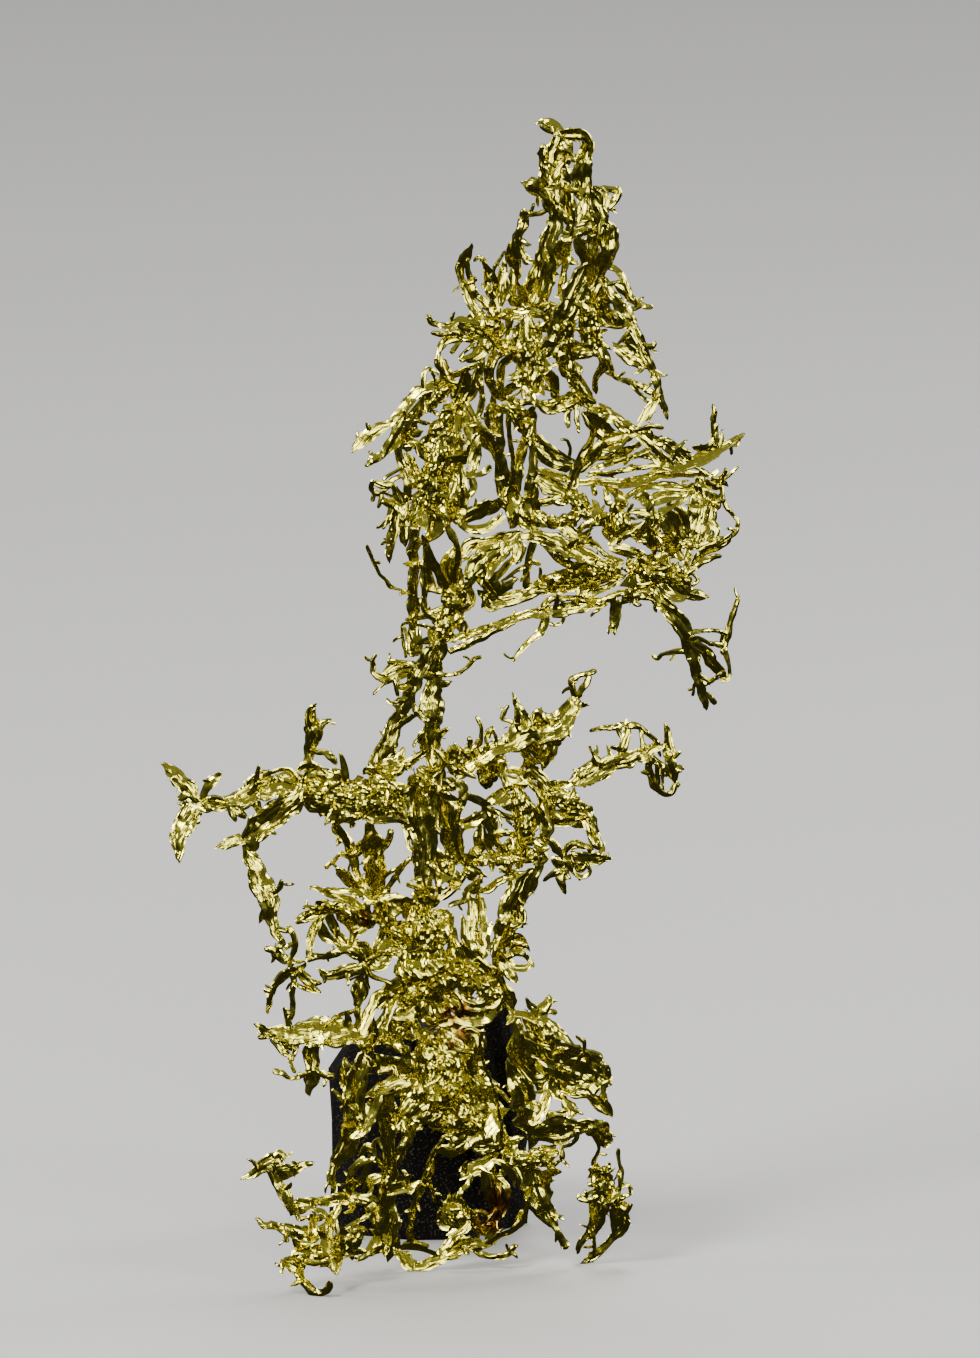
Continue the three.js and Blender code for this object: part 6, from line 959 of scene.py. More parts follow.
    blade(-5, -5, 293,806,8, 284,818,8, 272,829,5),
    blade(-6, -6, 264,837,6, 256,849,7),
    blade(-6, -6, 293,942,5, 286,953,5),
    twig(-5, -5, 246,816,4, 240,812,5, 230,808,4),
  ],
  "left_arm_leaf": [
    twig(-3, -3, 316,708,3, 318,719,4),
    blade(-3, -3, 324,720,5, 323,737,5),
    blade(-3, -3.5, 308,752,6, 308,766,7, 306,776,6),
  ],
  "left_arm_blades": [
    twig(-6, -6, 168,779,5, 175,784,5, 184,782,4),
    blade(-5, -5, 204,800,6, 216,800,8, 230,800,7),
  ],
  "rising_arm": [
    twig(2, 2, 515,694,3, 522,708,5, 528,720,8),
    blade(2, 2, 526,744,6, 534,751,7, 536,759,5),
    leaf(2, 2, 488,738,5, 490,731,7, 494,726,3),
    twig(2, 2, 480,738,5, 474,747,5, 464,749,5),
    leaf(2, 2.5, 522,762,6, 532,770,14, 541,777,10, 547,784,6),
    blade(3, 3, 504,776,5, 516,780,6, 526,772,5),
  ],
  "far_right_arm": [
    blade(3, 3, 546,783,5, 560,784,6, 572,784,5, 582,781,4),
    blade(4, 4, 592,782,5, 606,776,6, 620,768,4),
  ],
  "mid_right_mass": [
    blade(2, 2, 482,824,6, 486,838,7, 490,850,7, 500,857,5),
    leaf(3, 3, 488,804,5, 500,799,12, 508,801,12, 516,813,6),
    twig(3, 3, 531,794,6, 535,810,5, 536,826,6, 533,840,6),
    blade(2, 2, 498,830,8, 513,834,6),
    blade(3, 3, 553,826,5, 566,824,5, 580,824,6),
    blade(3, 3, 586,830,5, 592,842,5, 599,848,5, 602,840,3),
    leaf(3, 3, 545,838,5, 555,846,10, 560,858,7),
    blade(3, 3, 538,866,6, 545,857,8, 549,851,4),
    blade(2, 2, 518,868,7, 529,861,6),
  ],
  "right_star": [
    twig(4, 4, 566,850,4, 576,848,5, 586,850,3),
    twig(4, 4, 573,865,4, 581,870,5, 590,864,4),
    blade(3, 4, 556,856,6, 566,862,7, 574,872,5),
  ],
  "lower_blade": [
    blade(1, 1, 512,880,4, 506,896,6, 500,910,5, 494,926,5),
    blade(1, 1, 506,951,4, 518,947,7, 530,949,3),
    leaf(1, 1, 508,957,6, 514,968,7, 524,969,8, 533,965,4),
    leaf(0.5, 0.5, 463,945,5, 470,954,8, 478,960,8, 488,968,8, 495,974,6),
    blade(1, 1, 490,976,8, 500,990,10, 508,1004,10),
  ],
  "rear_struts": [
    twig(2, 2, 381,892,5, 385,878,5, 393,871,4, 411,861,4),
    leaf(1, 1, 356,896,8, 372,900,10, 387,898,10, 398,896,5),
    blade(2, 2, 341,868,4, 350,880,6, 360,890,6),
    twig(1, 1, 355,850,5, 362,842,6, 370,832,5),
  ],
  "left_twigs": [
    blade(-1, -1, 322,887,4, 340,891,6, 352,892,8, 364,898,8),
    twig(-1, -1, 296,924,4, 306,920,5, 318,916,5),
    blade(-1, -1, 314,920,4, 310,934,6, 307,952,4),
    leaf(-1, -1, 318,922,5, 324,935,14, 334,942,8),
    twig(-1, -1, 330,938,4, 345,951,5, 358,959,5),
    leaf(-1, -1, 340,920,6, 350,929,6, 357,930,10, 366,925,8),
    twig(-1, -1, 356,940,4, 366,945,5, 372,956,4),
    twig(-1, -1, 379,928,4, 376,944,5, 372,958,4),
    leaf(-1, -1, 375,955,5, 386,950,8, 397,955,6),
    leaf(-1, -1, 366,960,8, 378,965,14, 391,962,8),
    twig(-1, -1, 362,978,4, 367,993,4, 366,1004,4),
    leaf(-0.5, 0, 390,904,6, 394,911,12, 402,914,8),
  ],
  "left_twig_fork": [
    blade(-3, -2, 284,968,5, 294,962,6, 306,958,5),
    twig(-3, -3, 294,984,4, 308,991,5, 322,991,3),
    twig(-3, -3, 268,986,4, 280,976,5, 290,968,5),
  ],
  "left_low_arm": [
    blade(-1, -1, 284,1008,4, 287,1018,7, 290,1030,6),
    twig(-1, -1, 270,1038,5, 280,1050,6, 291,1055,5),
    leaf(-1, -1, 282,1040,5, 292,1046,9, 302,1041,6),
    twig(-1, -1, 300,1044,5, 294,1054,5, 292,1062,3),
    blade(-1, -1, 318,1044,5, 334,1046,5, 352,1042,5),
    twig(-1, -1, 316,1070,4, 332,1075,4),
    blade(-1, 0, 324,1020,4, 338,1017,6, 354,1012,7),
    blade(-0.5, 0, 350,1030,10, 362,1032,10, 374,1032,8),
  ],
  "base_mass": [
    leaf(0, -0.5, 384,984,8, 377,996,8, 371,1008,10, 364,1022,12, 358,1040,14),
    leaf(-0.5, 0, 390,1018,8, 385,1034,12, 381,1048,10),
    mass(0, 0, 384,1044,10, 396,1047,13, 405,1054,8),
    leaf(0.5, 1, 454,1003,10, 468,1011,20, 482,1011,16, 496,1008,12, 510,999,10),
    leaf(0.5, 1, 456,1020,10, 472,1022,10, 488,1021,7, 500,1016,6),
    blade(0, 1, 478,988,8, 490,994,9, 504,998,10),
    mass(0.5, 0.5, 350,1048,10, 360,1052,12),
    leaf(0, 0, 438,1028,8, 449,1021,12, 458,1014,6),
    leaf(0, 0, 368,1018,10, 372,1034,12, 370,1050,10),
  ],
  "base_shell": [
    leaf(-2.2, -2.0, 470,1078,16, 477,1094,30, 481,1110,36, 484,1126,36, 484,1140,30, 478,1150,12),
    wire(-2.4, -2.2, 484,1030,3, 480,1044,3, 482,1056,3, 485,1070,3, 495,1092,3, 498,1112,3.4, 501,1128,3.4,
      500,1146,3.4, 490,1154,4),
    leaf(-2.6, -2.6, 467,1142,4, 477,1145,9, 488,1146,4),
    leaf(-2.0, -1.8, 432,1020,12, 446,1030,26, 458,1036,30, 470,1044,24, 478,1054,10),
    leaf(-1.8, -1.8, 392,1082,18, 404,1094,34, 418,1102,40, 434,1108,36, 448,1116,22),
    leaf(-1.8, -1.8, 440,1060,20, 446,1078,44, 450,1094,50, 452,1110,40, 452,1124,18),
    blade(1, 1, 366,1099,6, 380,1091,12, 392,1084,12, 406,1076,8),
    blade(1, 1, 372,1062,6, 379,1073,6, 388,1075,4),
    leaf(1, 1, 436,1150,8, 452,1152,12, 465,1146,12, 476,1142,10, 488,1139,6),
    blade(1, 1, 422,1120,6, 434,1128,10, 443,1134,6),
    leaf(1, 1.5, 496,1150,8, 508,1144,12, 522,1141,8),
    leaf(1.5, 1.5, 494,1162,6, 504,1166,8, 512,1172,12, 518,1187,8),
    blade(1, 1, 396,1098,6, 407,1092,7),
    leaf(0.5, 0.5, 458,1024,8, 466,1036,10, 470,1050,8),
  ],
  "left_leg": [
    blade(-2.4, -2.2, 360,1058,7, 365,1063,11, 370,1068,7),
    blade(-1, -1, 360,1138,6, 352,1150,9, 342,1164,6),
    blade(-1, -1, 330,1088,3, 337,1096,4, 343,1106,5),
    leaf(-1, -0.5, 366,1054,8, 362,1066,14, 356,1080,14),
    blade(-1, -1, 344,1062,6, 342,1078,8, 346,1092,8),
  ],
  "middle_leg": [
    leaf(1, 2, 360,1158,5, 367,1149,9, 374,1152,5),
    leaf(2, 2, 364,1194,6, 370,1183,10, 380,1177,6),
    leaf(3, 3, 362,1203,8, 372,1212,16, 377,1223,12, 384,1232,8),
    blade(3, 3, 364,1258,6, 374,1253,8, 386,1252,10, 400,1259,9),
    twig(3, 3, 402,1181,4, 410,1195,5, 419,1190,4),
    blade(2, 2, 386,1150,8, 386,1170,9, 388,1190,8, 386,1212,8),
  ],
  "left_foot": [
    blade(-5, -5, 268,1176,5, 277,1190,5, 284,1203,6),
    blade(-4, -4, 284,1212,5, 299,1214,5, 312,1206,4),
    blade(-2, -1, 316,1207,6, 330,1205,6, 342,1205,5),
    blade(-3, -3, 338,1206,5, 335,1222,5, 337,1234,5),
    leaf(-4, -4, 310,1219,6, 320,1219,8, 328,1214,5),
    blade(-3, -2, 334,1242,5, 345,1231,6, 358,1222,5, 370,1216,5),
  ],
  "left_low_foot": [
    leaf(-8, -8, 282,1261,8, 292,1268,12, 302,1273,8),
    blade(-8, -7, 300,1268,6, 318,1264,6, 331,1264,8, 334,1275,5),
    leaf(-7, -7, 304,1248,8, 318,1250,12, 332,1244,10),
  ],
  "base_rim": [
    blade(3, 3, 396,1262,8, 408,1270,8, 420,1271,8, 438,1265,6, 462,1254,5),
    blade(3, 3.5, 396,1246,5, 412,1249,7, 426,1253,6, 438,1257,6),
    blade(4, 4, 468,1253,5, 486,1258,6, 506,1259,6, 517,1247,5),
  ],
  "base_strands": [
    leaf(0, 0, 438,1214,12, 447,1224,15, 456,1233,11),
    leaf(-0.3, -0.3, 446,1208,12, 455,1218,15, 463,1227,11),
    leaf(-0.6, -0.6, 452,1203,11, 461,1213,14, 469,1222,11),
    leaf(3, 3, 438,1212,8, 448,1221,12, 462,1229,6),
    blade(3, 3, 472,1178,6, 482,1174,8, 487,1190,8, 490,1210,8),
    blade(3, 3, 509,1198,5, 504,1213,6, 496,1222,5),
    blade(3, 4, 527,1206,5, 524,1222,6, 514,1232,6, 500,1238,6, 489,1247,7, 476,1251,5),
    twig(3, 3, 476,1208,5, 485,1217,6, 494,1222,5),
    leaf(2, 2, 456,1196,10, 460,1208,14, 458,1222,10),
  ],
  "right_low_fan": [
    leaf(-0.6, 0, 518,1030,10, 532,1044,34, 548,1058,50, 566,1070,52, 584,1078,44, 600,1084,26,
      610,1088,10),
    wire(-1.2, -0.6, 524,1036,2.6, 534,1040,3, 548,1044,3, 564,1046,3, 578,1049,3, 590,1056,3, 598,1066,3),
    wire(-1.2, -0.8, 554,1082,3, 562,1092,4.4, 574,1096,4.8, 586,1093,3.6, 604,1090,3),
    leaf(1, 1, 503,986,6, 508,998,14, 515,1010,10),
    leaf(1, 1, 512,1034,8, 514,1052,12, 522,1066,12, 534,1080,12, 544,1090,8),
    blade(2, 2, 546,1086,8, 556,1096,8, 566,1102,6, 578,1109,5),
    blade(2, 2, 554,1090,5, 572,1097,6, 588,1098,6, 600,1110,6, 611,1117,5),
    leaf(2, 2, 590,1093,5, 602,1088,8, 611,1084,6),
    blade(2, 2, 606,1088,5, 611,1105,5),
    twig(2, 2, 525,999,3, 532,1008,5, 540,1006,5, 549,997,3),
    twig(2, 2, 544,1014,5, 552,1012,5, 560,1014,4),
    leaf(2, 2, 548,1004,5, 556,1003,5),
    twig(2, 2, 584,1042,3, 584,1052,4, 578,1060,5),
  ],
  "right_strip": [
    leaf(2, 2.5, 528,1142,6, 545,1138,10, 558,1140,14, 572,1136,8, 590,1138,5),
    leaf(3, 3, 596,1124,4, 606,1128,7, 613,1133,3),
    leaf(3, 3, 598,1138,4, 606,1147,6, 613,1144,3),
  ],
  "right_leg": [
    twig(2, 2, 542,1161,5, 552,1168,6, 561,1162,3),
    leaf(2, 2, 544,1176,5, 554,1174,7, 563,1172,3),
    blade(1, 2, 520,1190,8, 528,1202,8, 538,1216,6, 550,1230,4),
  ],
  "right_foot": [
    twig(4, 4, 577,1200,4, 588,1204,4, 598,1196,4),
    leaf(4, 4, 610,1212,6, 614,1223,8, 612,1234,4),
    twig(4, 4, 618,1192,4, 628,1187,4, 632,1196,3),
    twig(4, 4, 633,1205,3, 628,1215,4, 620,1224,4),
  ],
}


# ---- Plain helpers ----------------------------------------------------------------------------
def linear(hexed):
    """An sRGB hex colour as a linear red, green, blue and alpha."""
    parts = [int(hexed[i:i + 2], 16) / 255 for i in (1, 3, 5)]
    return [c / 12.92 if c <= 0.04045 else ((c + 0.055) / 1.055) ** 2.4 for c in parts] + [1.0]


def place(across, down, back):
    """Points of the sheet, in millimetres, as points in space."""
    height = (GROUND_LINE - down - back * math.sin(LOOK_DOWN)) / math.cos(LOOK_DOWN)
    return np.stack([across - MIDDLE_ACROSS, back - MIDDLE_BACK, height], axis=-1)


def sheet_place(points):
    """Points in space as places across and down the sheet, in millimetres."""
    down = GROUND_LINE - points[:, 2] * math.cos(LOOK_DOWN) \
        - (points[:, 1] + MIDDLE_BACK) * math.sin(LOOK_DOWN)
    return points[:, 0] + MIDDLE_ACROSS, down


def chance(cells, seed):
    """A repeatable number from 0 to 1 for each whole-number cell, from large odd multipliers."""
    c = cells.astype(np.int64)
    n = c[..., 0] * 73856093 ^ c[..., 1] * 19349663 ^ c[..., 2] * 83492791 ^ (seed * 50331653 + 977)
    n = ((n ^ (n >> 13)) * 1274126177) & 0x7FFFFFFF
    n = ((n ^ (n >> 16)) * 668265263) & 0x7FFFFFFF
    return ((n ^ (n >> 15)) & 0xFFFFF) / 0xFFFFF


def noise(points, size, seed):
    """Smooth noise from -1 to 1, with lumps of the given size."""
    p = points / size
    base = np.floor(p)
    f = p - base
    f = f * f * (3 - 2 * f)
    total = np.zeros(len(points))
    for corner in np.ndindex(2, 2, 2):
        weight = np.prod(np.where(corner, f, 1 - f), axis=-1)
        total += weight * chance(base + corner, seed)
    return total * 2 - 1


def facets(points, size, seed):
    """Leaning facets that meet in creases, from about -0.5 to 0.5."""
    p = points / size
    base = np.floor(p - 0.5)
    best = np.full(len(points), -9.0)
    for corner in np.ndindex(2, 2, 2):
        cell = base + corner
        spot = cell + 0.25 + 0.5 * np.stack([chance(cell, seed + k) for k in (1, 2, 3)], axis=-1)
        lean = np.stack([chance(cell, seed + k) for k in (4, 5, 6)], axis=-1) - 0.5
        away = p - spot
        best = np.maximum(best, (away * lean * 1.8).sum(-1) - 0.8 * (away * away).sum(-1))
    return best + 0.15


def kinks(run, size, seed):
    """A zigzag from -1 to 1 along a length, with a kink about every so often."""
    knots = np.arange(-1, int(run[-1] / size) + 3)
    cells = np.stack([knots, knots * 0, knots * 0 + 7], axis=-1)
    places = (knots + 0.6 * chance(cells, seed + 50)) * size
    return np.interp(run, places, chance(cells, seed) * 2 - 1)


# ---- Strands ----------------------------------------------------------------------------------
def nearest(strand, across, down):
    """The place on a strand nearest to a place on the sheet, and how far outside its edge that is."""
    _, back_start, back_end, *route = strand
    steps = [math.hypot(b[0] - a[0], b[1] - a[1]) for a, b in zip(route, route[1:])]
    total, run, best = sum(steps), 0.0, None
    for (ax, ay, aw), (bx, by, bw), step in zip(route, route[1:], steps):
        share = ((across - ax) * (bx - ax) + (down - ay) * (by - ay)) / step ** 2
        t = min(max(share, 0.0), 1.0)
        x, y, width = ax + t * (bx - ax), ay + t * (by - ay), aw + t * (bw - aw)
        off = math.hypot(x - across, y - down) - width / 2
        if best is None or off < best[0]:
            best = (off, x, y, width, back_start + (back_end - back_start) * (run + t * step) / total)
        run += step
    return best


def rooted(strands):
    """Leads each strand's ends to the middle of the strands they meet, at the same depth."""
    done = []
    for kind, start, end, *drawn in strands:
        route = [list(point) for point in drawn]

        def meet(point):
            near = [nearest(earlier, point[0], point[1]) for earlier in done]
            near = [here for here in near if here[0] < point[2] / 2 + 1]
            return min(near) if near else None

        def lead(point, here):
            _, x, y, width, back = here
            away = math.hypot(point[0] - x, point[1] - y)
            share = min(1.0, ROOT_DEPTH * width / max(away, 1e-6))
            point[0], point[1] = x + (point[0] - x) * share, y + (point[1] - y) * share
            return back

        at_start, at_end = meet(route[0]), meet(route[-1])
        back_start = lead(route[0], at_start) if at_start else start
        back_end = lead(route[-1], at_end) if at_end else end
        if not at_start and not at_end:
            crossing = next((i for i, point in enumerate(route) if meet(point)), -1)
            if crossing > 0:
                shift = meet(route[crossing])[4] - (start + (end - start) * crossing / (len(route) - 1))
                back_start, back_end = back_start + shift, back_end + shift
        done.append([kind, back_start, back_end, *route])
    return done


def curve_through(rows, step):
    """Rows of point and width, evenly spaced on a smooth curve through the given rows."""
    knots = np.concatenate([[0], np.cumsum(np.linalg.norm(np.diff(rows[:, :3], axis=0), axis=1))])
    slopes = np.gradient(rows, knots, axis=0)
    count = max(int(knots[-1] / step) + 1, LEAST_RINGS)
    s = np.linspace(0, knots[-1], count)
    i = np.clip(np.searchsorted(knots, s, side="right") - 1, 0, len(knots) - 2)
    span = (knots[i + 1] - knots[i])[:, None]
    t = (s - knots[i])[:, None] / span
    a, b = rows[i], rows[i + 1]
    made = (2 * t**3 - 3 * t**2 + 1) * a + (t**3 - 2 * t**2 + t) * span * slopes[i] \
        + (3 * t**2 - 2 * t**3) * b + (t**3 - t**2) * span * slopes[i + 1]
    return s, made


def foil_section(look, s, width, body, tip, angle, seed):
    """A folded sheet's section at each ring: places across it from -1 to 1, and heights in mm."""
    u = np.tile(np.interp(angle, [0, np.pi, 2 * np.pi], [1, -1, 1]), (len(s), 1))
    side = np.where(angle < np.pi, 1.0, -1.0) * (1 - np.abs(u) ** 6) ** 0.5
    fold = 0
    for i, (spot, stray, stray_length, lean, change, change_length) in enumerate(FOLDS):
        at = spot + stray * kinks(s, stray_length, seed + 10 + 2 * i)
        steep = lean + change * kinks(s, change_length, seed + 11 + 2 * i)
        fold = fold + np.abs(u - at[:, None]) * steep[:, None]
    fold = fold - fold.mean(axis=1, keepdims=True)
    swell = 1 + look["rim"] * np.clip((np.abs(u) - RIM_FROM) / 0.2, 0, 1)
    return u, body[:, None] * side * swell + (look["curl"] * width * tip)[:, None] * fold


def wire_section(s, body, angle, seed):
    """A five-sided wire's section at each ring: places across it from -1 to 1, and heights in mm.

    Along the wire, each of its faces turns a little and moves in and out.
    """
    (turn, turn_every), (out, change, change_every) = FACE_TURN, FACE_REACH
    r = np.full((len(s), len(angle)), 9.0)
    for k in range(5):
        facing = k * FIFTH_TURN + turn * kinks(s, turn_every, seed + 20 + k) + 0.3 * k * (seed % 3)
        reach = out + change * kinks(s, change_every, seed + 30 + k)
        lean = np.cos(angle - facing[:, None])
        r = np.minimum(r, np.where(lean > 0.2, reach[:, None] / np.maximum(lean, 0.2), 9.0))
    r = np.minimum(r, CORNER_MOST)
    return r * np.cos(angle), body[:, None] * r * np.sin(angle)


def skin_faces(rings, around):
    """Faces of a closed tube of rings, with a point at each end after the ring points."""
    r, s = np.meshgrid(np.arange(rings - 1), np.arange(around), indexing="ij")
    a = r * around + s
    b = r * around + (s + 1) % around
    quads = np.stack([a, b, b + around, a + around], axis=-1).reshape(-1, 4)
    s = np.arange(around)
    first, last, base = rings * around, rings * around + 1, (rings - 1) * around
    near = np.stack([(s + 1) % around, s, np.full(around, first)], axis=-1)
    far = np.stack([base + s, base + (s + 1) % around, np.full(around, last)], axis=-1)
    return quads, np.concatenate([near, far])


def directions(centre, s):
    """At each ring: the way along the strand, the way across it as it is seen, and the way through it."""
    along = np.gradient(centre, s, axis=0)
    along /= np.linalg.norm(along, axis=1)[:, None]
    wide = np.cross(along, SIGHT)
    wide /= np.linalg.norm(wide, axis=1)[:, None]
    return along, wide, np.cross(along, wide)


def ways_out(skin, centre):
    """At each point of the rings, the way out of the strand."""
    outward = np.cross(np.roll(skin, -1, axis=1) - np.roll(skin, 1, axis=1), np.gradient(skin, axis=0))
    outward /= np.linalg.norm(outward, axis=2)[..., None] + 1e-12
    if (outward * (skin - centre[:, None])).sum() < 0:
        outward = -outward
    return outward.reshape(-1, 3)


def fold_heights(points, size, seed):
    """The heights of the folds at some points, with smaller folds over them."""
    high, low = FOLD_HEIGHTS
    return high * facets(points, size, seed % 5) + low * facets(points, SMALL_FOLD, 11)


def strand_skin(strand, number, seed, cell):
    """One strand's points, faces and the attributes that the finish and the small growths read."""
    kind, back_start, back_end, *route = strand
    look, is_mass = KINDS[kind], kind == "mass"
    route = np.array(route, float) * TENTH
    run = np.concatenate([[0], np.cumsum(np.hypot(*np.diff(route[:, :2], axis=0).T))])
    depth = back_start + STAGGER * (number % 5 - 2) + (back_end - back_start) * run / run[-1]
    rows = np.column_stack([place(route[:, 0], route[:, 1], depth), route[:, 2] * look["share"]])
    widest = route[:, 2].max()
    s, rows = curve_through(rows, cell * (MASS_CELL if is_mass else 1.0))
    centre, width = rows[:, :3], np.maximum(rows[:, 3], THINNEST)
    along, wide, deep = directions(centre, s)
    turn = look["roll"] * (number % 3 - 1) + look["twist"] * kinks(s, TWIST_EVERY, seed)
    width = width * (1 + look["uneven"] * kinks(s, UNEVEN_EVERY, seed + 1))
    thick = np.maximum(width * look["flat"], look["thinnest"])
    from_end = np.minimum(s, s[-1] - s)
    tip = np.clip(TIP_LEAST + from_end / (TIP_LENGTH * width), 0, 1)
    wander = look["wander"] * widest * np.clip(from_end / 0.8, 0, 1)
    centre = centre + wide * (wander * kinks(s, WANDER_EVERY[0], seed + 2))[:, None] \
        + deep * (wander * kinks(s, WANDER_EVERY[1], seed + 3))[:, None]

    around = int(np.clip(2 * widest * (1 + look["flat"]) / cell, *POINTS_ROUND)) // 2 * 2
    angle = 2 * np.pi * np.arange(around) / around
    if look["foil"]:
        u, through = foil_section(look, s, width, thick * tip / 2, tip, angle, seed)
    else:
        u, through = wire_section(s, thick * tip / 2, angle, seed)
    sides = np.stack([kinks(s, RAGGED_EVERY[0], seed + 8), kinks(s, RAGGED_EVERY[1], seed + 9)], axis=-1)
    ragged = 1 + look["uneven"] * 0.8 * np.where(u > 0, sides[:, :1], sides[:, 1:])
    across = (width * tip / 2)[:, None] * u * ragged
    leaning = ((seed // 5) % 3 - 1) or 0.6      # one way, the other way, or less
    slant = SLANT * width * np.clip(1 - from_end / (0.9 * width), 0, 1) * leaning
    cos, sin = np.cos(turn)[:, None], np.sin(turn)[:, None]
    skin = centre[:, None] + along[:, None] * (slant[:, None] * u * look["foil"])[..., None] \
        + wide[:, None] * (across * cos - through * sin)[..., None] \
        + deep[:, None] * (across * sin + through * cos)[..., None]

    outward = ways_out(skin, centre)
    skin = skin.reshape(-1, 3)
    run_of_points = np.repeat(s, around)
    most = look["crumple"] if is_mass else 0.25 * thick
    reach = np.repeat(np.minimum(look["crumple"], most) * tip, around)
    if is_mass:
        folds = fold_heights(skin, MASS_FOLD, seed)
    else:
        laid = np.stack([run_of_points * FOLD_STRETCH, across.ravel(), through.ravel()], axis=-1)
        folds = fold_heights(laid, FOLD, seed)
    skin = skin + outward * (reach * folds)[:, None]

    quads, fans = skin_faces(len(s), around)
    points = np.concatenate([skin, [skin[:around].mean(0), skin[-around:].mean(0)]])
    a, b, c = points[quads[:, 0]], points[quads[:, 1]], points[quads[:, 2]]
    if np.einsum("ij,ij->i", a - centre.mean(0), np.cross(b - a, c - a)).sum() < 0:
        quads, fans = quads[:, ::-1], fans[:, ::-1]
    # The foils' edges: the spurs grow here, and the finish paints a highlight on them
    edge = np.concatenate([(np.abs(u) > EDGE_FROM).astype(float).ravel(), [0, 0]]) * (not is_mass)
    leafy = np.full(len(points), look["scatter"])
    lay = np.stack([run_of_points, across.ravel(), np.full(len(skin), seed % 97)], axis=-1)
    return points, quads, fans, edge, leafy, np.concatenate([lay, lay[:1], lay[-1:]]) * MM


def mesh_of(name, points, quads, fans, attributes):
    """A mesh object in metres from points in millimetres."""
    mesh = bpy.data.meshes.new(name)
    mesh.vertices.add(len(points))
    mesh.vertices.foreach_set("co", (points * MM).astype(np.float32).ravel())
    corners = np.concatenate([quads.ravel(), fans.ravel()]).astype(np.int32)
    starts = np.concatenate([np.arange(len(quads)) * 4, len(quads) * 4 + np.arange(len(fans)) * 3])
    mesh.loops.add(len(corners))
    mesh.loops.foreach_set("vertex_index", corners)
    mesh.polygons.add(len(starts))
    mesh.polygons.foreach_set("loop_start", starts.astype(np.int32))
    mesh.update(calc_edges=True)
    mesh.validate()
    mesh.shade_smooth()
    mesh.set_sharp_from_angle(angle=CREASE)
    for label, values in attributes.items():
        wide = values.ndim == 2
        layer = mesh.attributes.new(label, "FLOAT_VECTOR" if wide else "FLOAT", "POINT")
        layer.data.foreach_set("vector" if wide else "value", values.astype(np.float32).ravel())
    made = bpy.data.objects.new(name, mesh)
    bpy.context.scene.collection.objects.link(made)
    return made


def along_route(strand, share):
    """The place, width, depth, heading and length of a strand at a share of its length, in tenths."""
    _, back_start, back_end, *route = strand
    route = np.array(route, float)
    run = np.concatenate([[0], np.cumsum(np.hypot(*np.diff(route[:, :2], axis=0).T))])
    across, down, width = (np.interp(share * run[-1], run, route[:, i]) for i in range(3))
    i = min(np.searchsorted(run, share * run[-1], side="right"), len(run) - 1)
    heading = math.atan2(route[i, 1] - route[i - 1, 1], route[i, 0] - route[i - 1, 0])
    return across, down, width, back_start + share * (back_end - back_start), heading, run[-1]


def bent_strand(pick, kind, start, heading, length, width, bend, lean):
    """A short strand from a start [across, down, back], bending as it goes; sizes in tenths."""
    across, down, back = start
    route = [[across, down, width]]
    for share, swell, stride in BENDS:
        turned = heading + bend * share + pick.uniform(-BEND_STRAY, BEND_STRAY)
        step = length * stride
        across, down = across + step * math.cos(turned), down + step * math.sin(turned)
        route.append([across, down, width * swell])
    return [kind, back, back + lean, *route]


def offshoots(strand, seed):
    """Small hooked spurs and blades that leave a strand along its length; sizes in tenths."""
    pick = random.Random(seed)
    length = along_route(strand, 0)[5]
    made = []
    for i in range(int(length / SPUR_EVERY + pick.random())):
        across, down, width, back, heading, _ = along_route(strand, pick.uniform(*SPUR_PLACE))
        side = pick.choice((-1, 1))
        angle = heading + side * pick.uniform(*SPUR_TURN)
        spur = min(max(0.5 * width * pick.uniform(*SPUR_SHARE), SPUR_WIDTH[0]), SPUR_WIDTH[1])
        reach = min(width * 0.5 + pick.uniform(*SPUR_LENGTH), SPUR_LONGEST)
        kind = "twig" if spur < TWIG_BELOW or pick.random() < TWIG_SHARE else "blade"
        made.append(bent_strand(pick, kind, (across, down, back), angle, reach, spur,
                                pick.uniform(-SPUR_BEND, SPUR_BEND),
                                pick.uniform(-SPUR_DEPTH, SPUR_DEPTH)))
    return made


def tangle(strand, seed):
    """Short ribbons, leaves and twigs in the place of a crumpled mass, mostly along it; sizes in tenths."""
    pick = random.Random(seed)
    length, mean = along_route(strand, 0)[5], np.mean([row[2] for row in strand[3:]])
    made = []
    for i in range(int(length * mean * RIBBONS_PER_MM2 * TENTH * TENTH)):
        across, down, width, back, heading, _ = along_route(strand, pick.uniform(0.0, 1.0))
        off, away = pick.uniform(-RIBBON_ASIDE, RIBBON_ASIDE), pick.uniform(*RIBBON_AWAY)
        across, down = across - off * width * math.sin(heading), down + off * width * math.cos(heading)
        reach = pick.uniform(*RIBBON_LENGTH)
        angle = heading + pick.gauss(0.0, RIBBON_TURN)
        across, down = across - reach / 2 * math.cos(angle), down - reach / 2 * math.sin(angle)
        kind, wide = pick.choice(RIBBONS)
        made.append(bent_strand(pick, kind, (across, down, back + away * width * TENTH), angle, reach,
                                wide * pick.uniform(*RIBBON_SHARE),
                                pick.uniform(-RIBBON_BEND, RIBBON_BEND),
                                pick.uniform(-RIBBON_DEPTH, RIBBON_DEPTH)))
    return made


# Iron stain on the gold, round these places of the sheet: [across, down, radius] in tenths.
STAINS = {
    "base_shell": [[449, 1018, 13], [465, 1014, 13], [462, 1036, 10], [452, 1046, 8]],
    "base_mass": [[449, 1016, 12], [465, 1012, 11]],
    "base_strands": [[499, 1205, 20], [493, 1228, 12]],
    "left_twigs": [[364, 921, 9]],
}


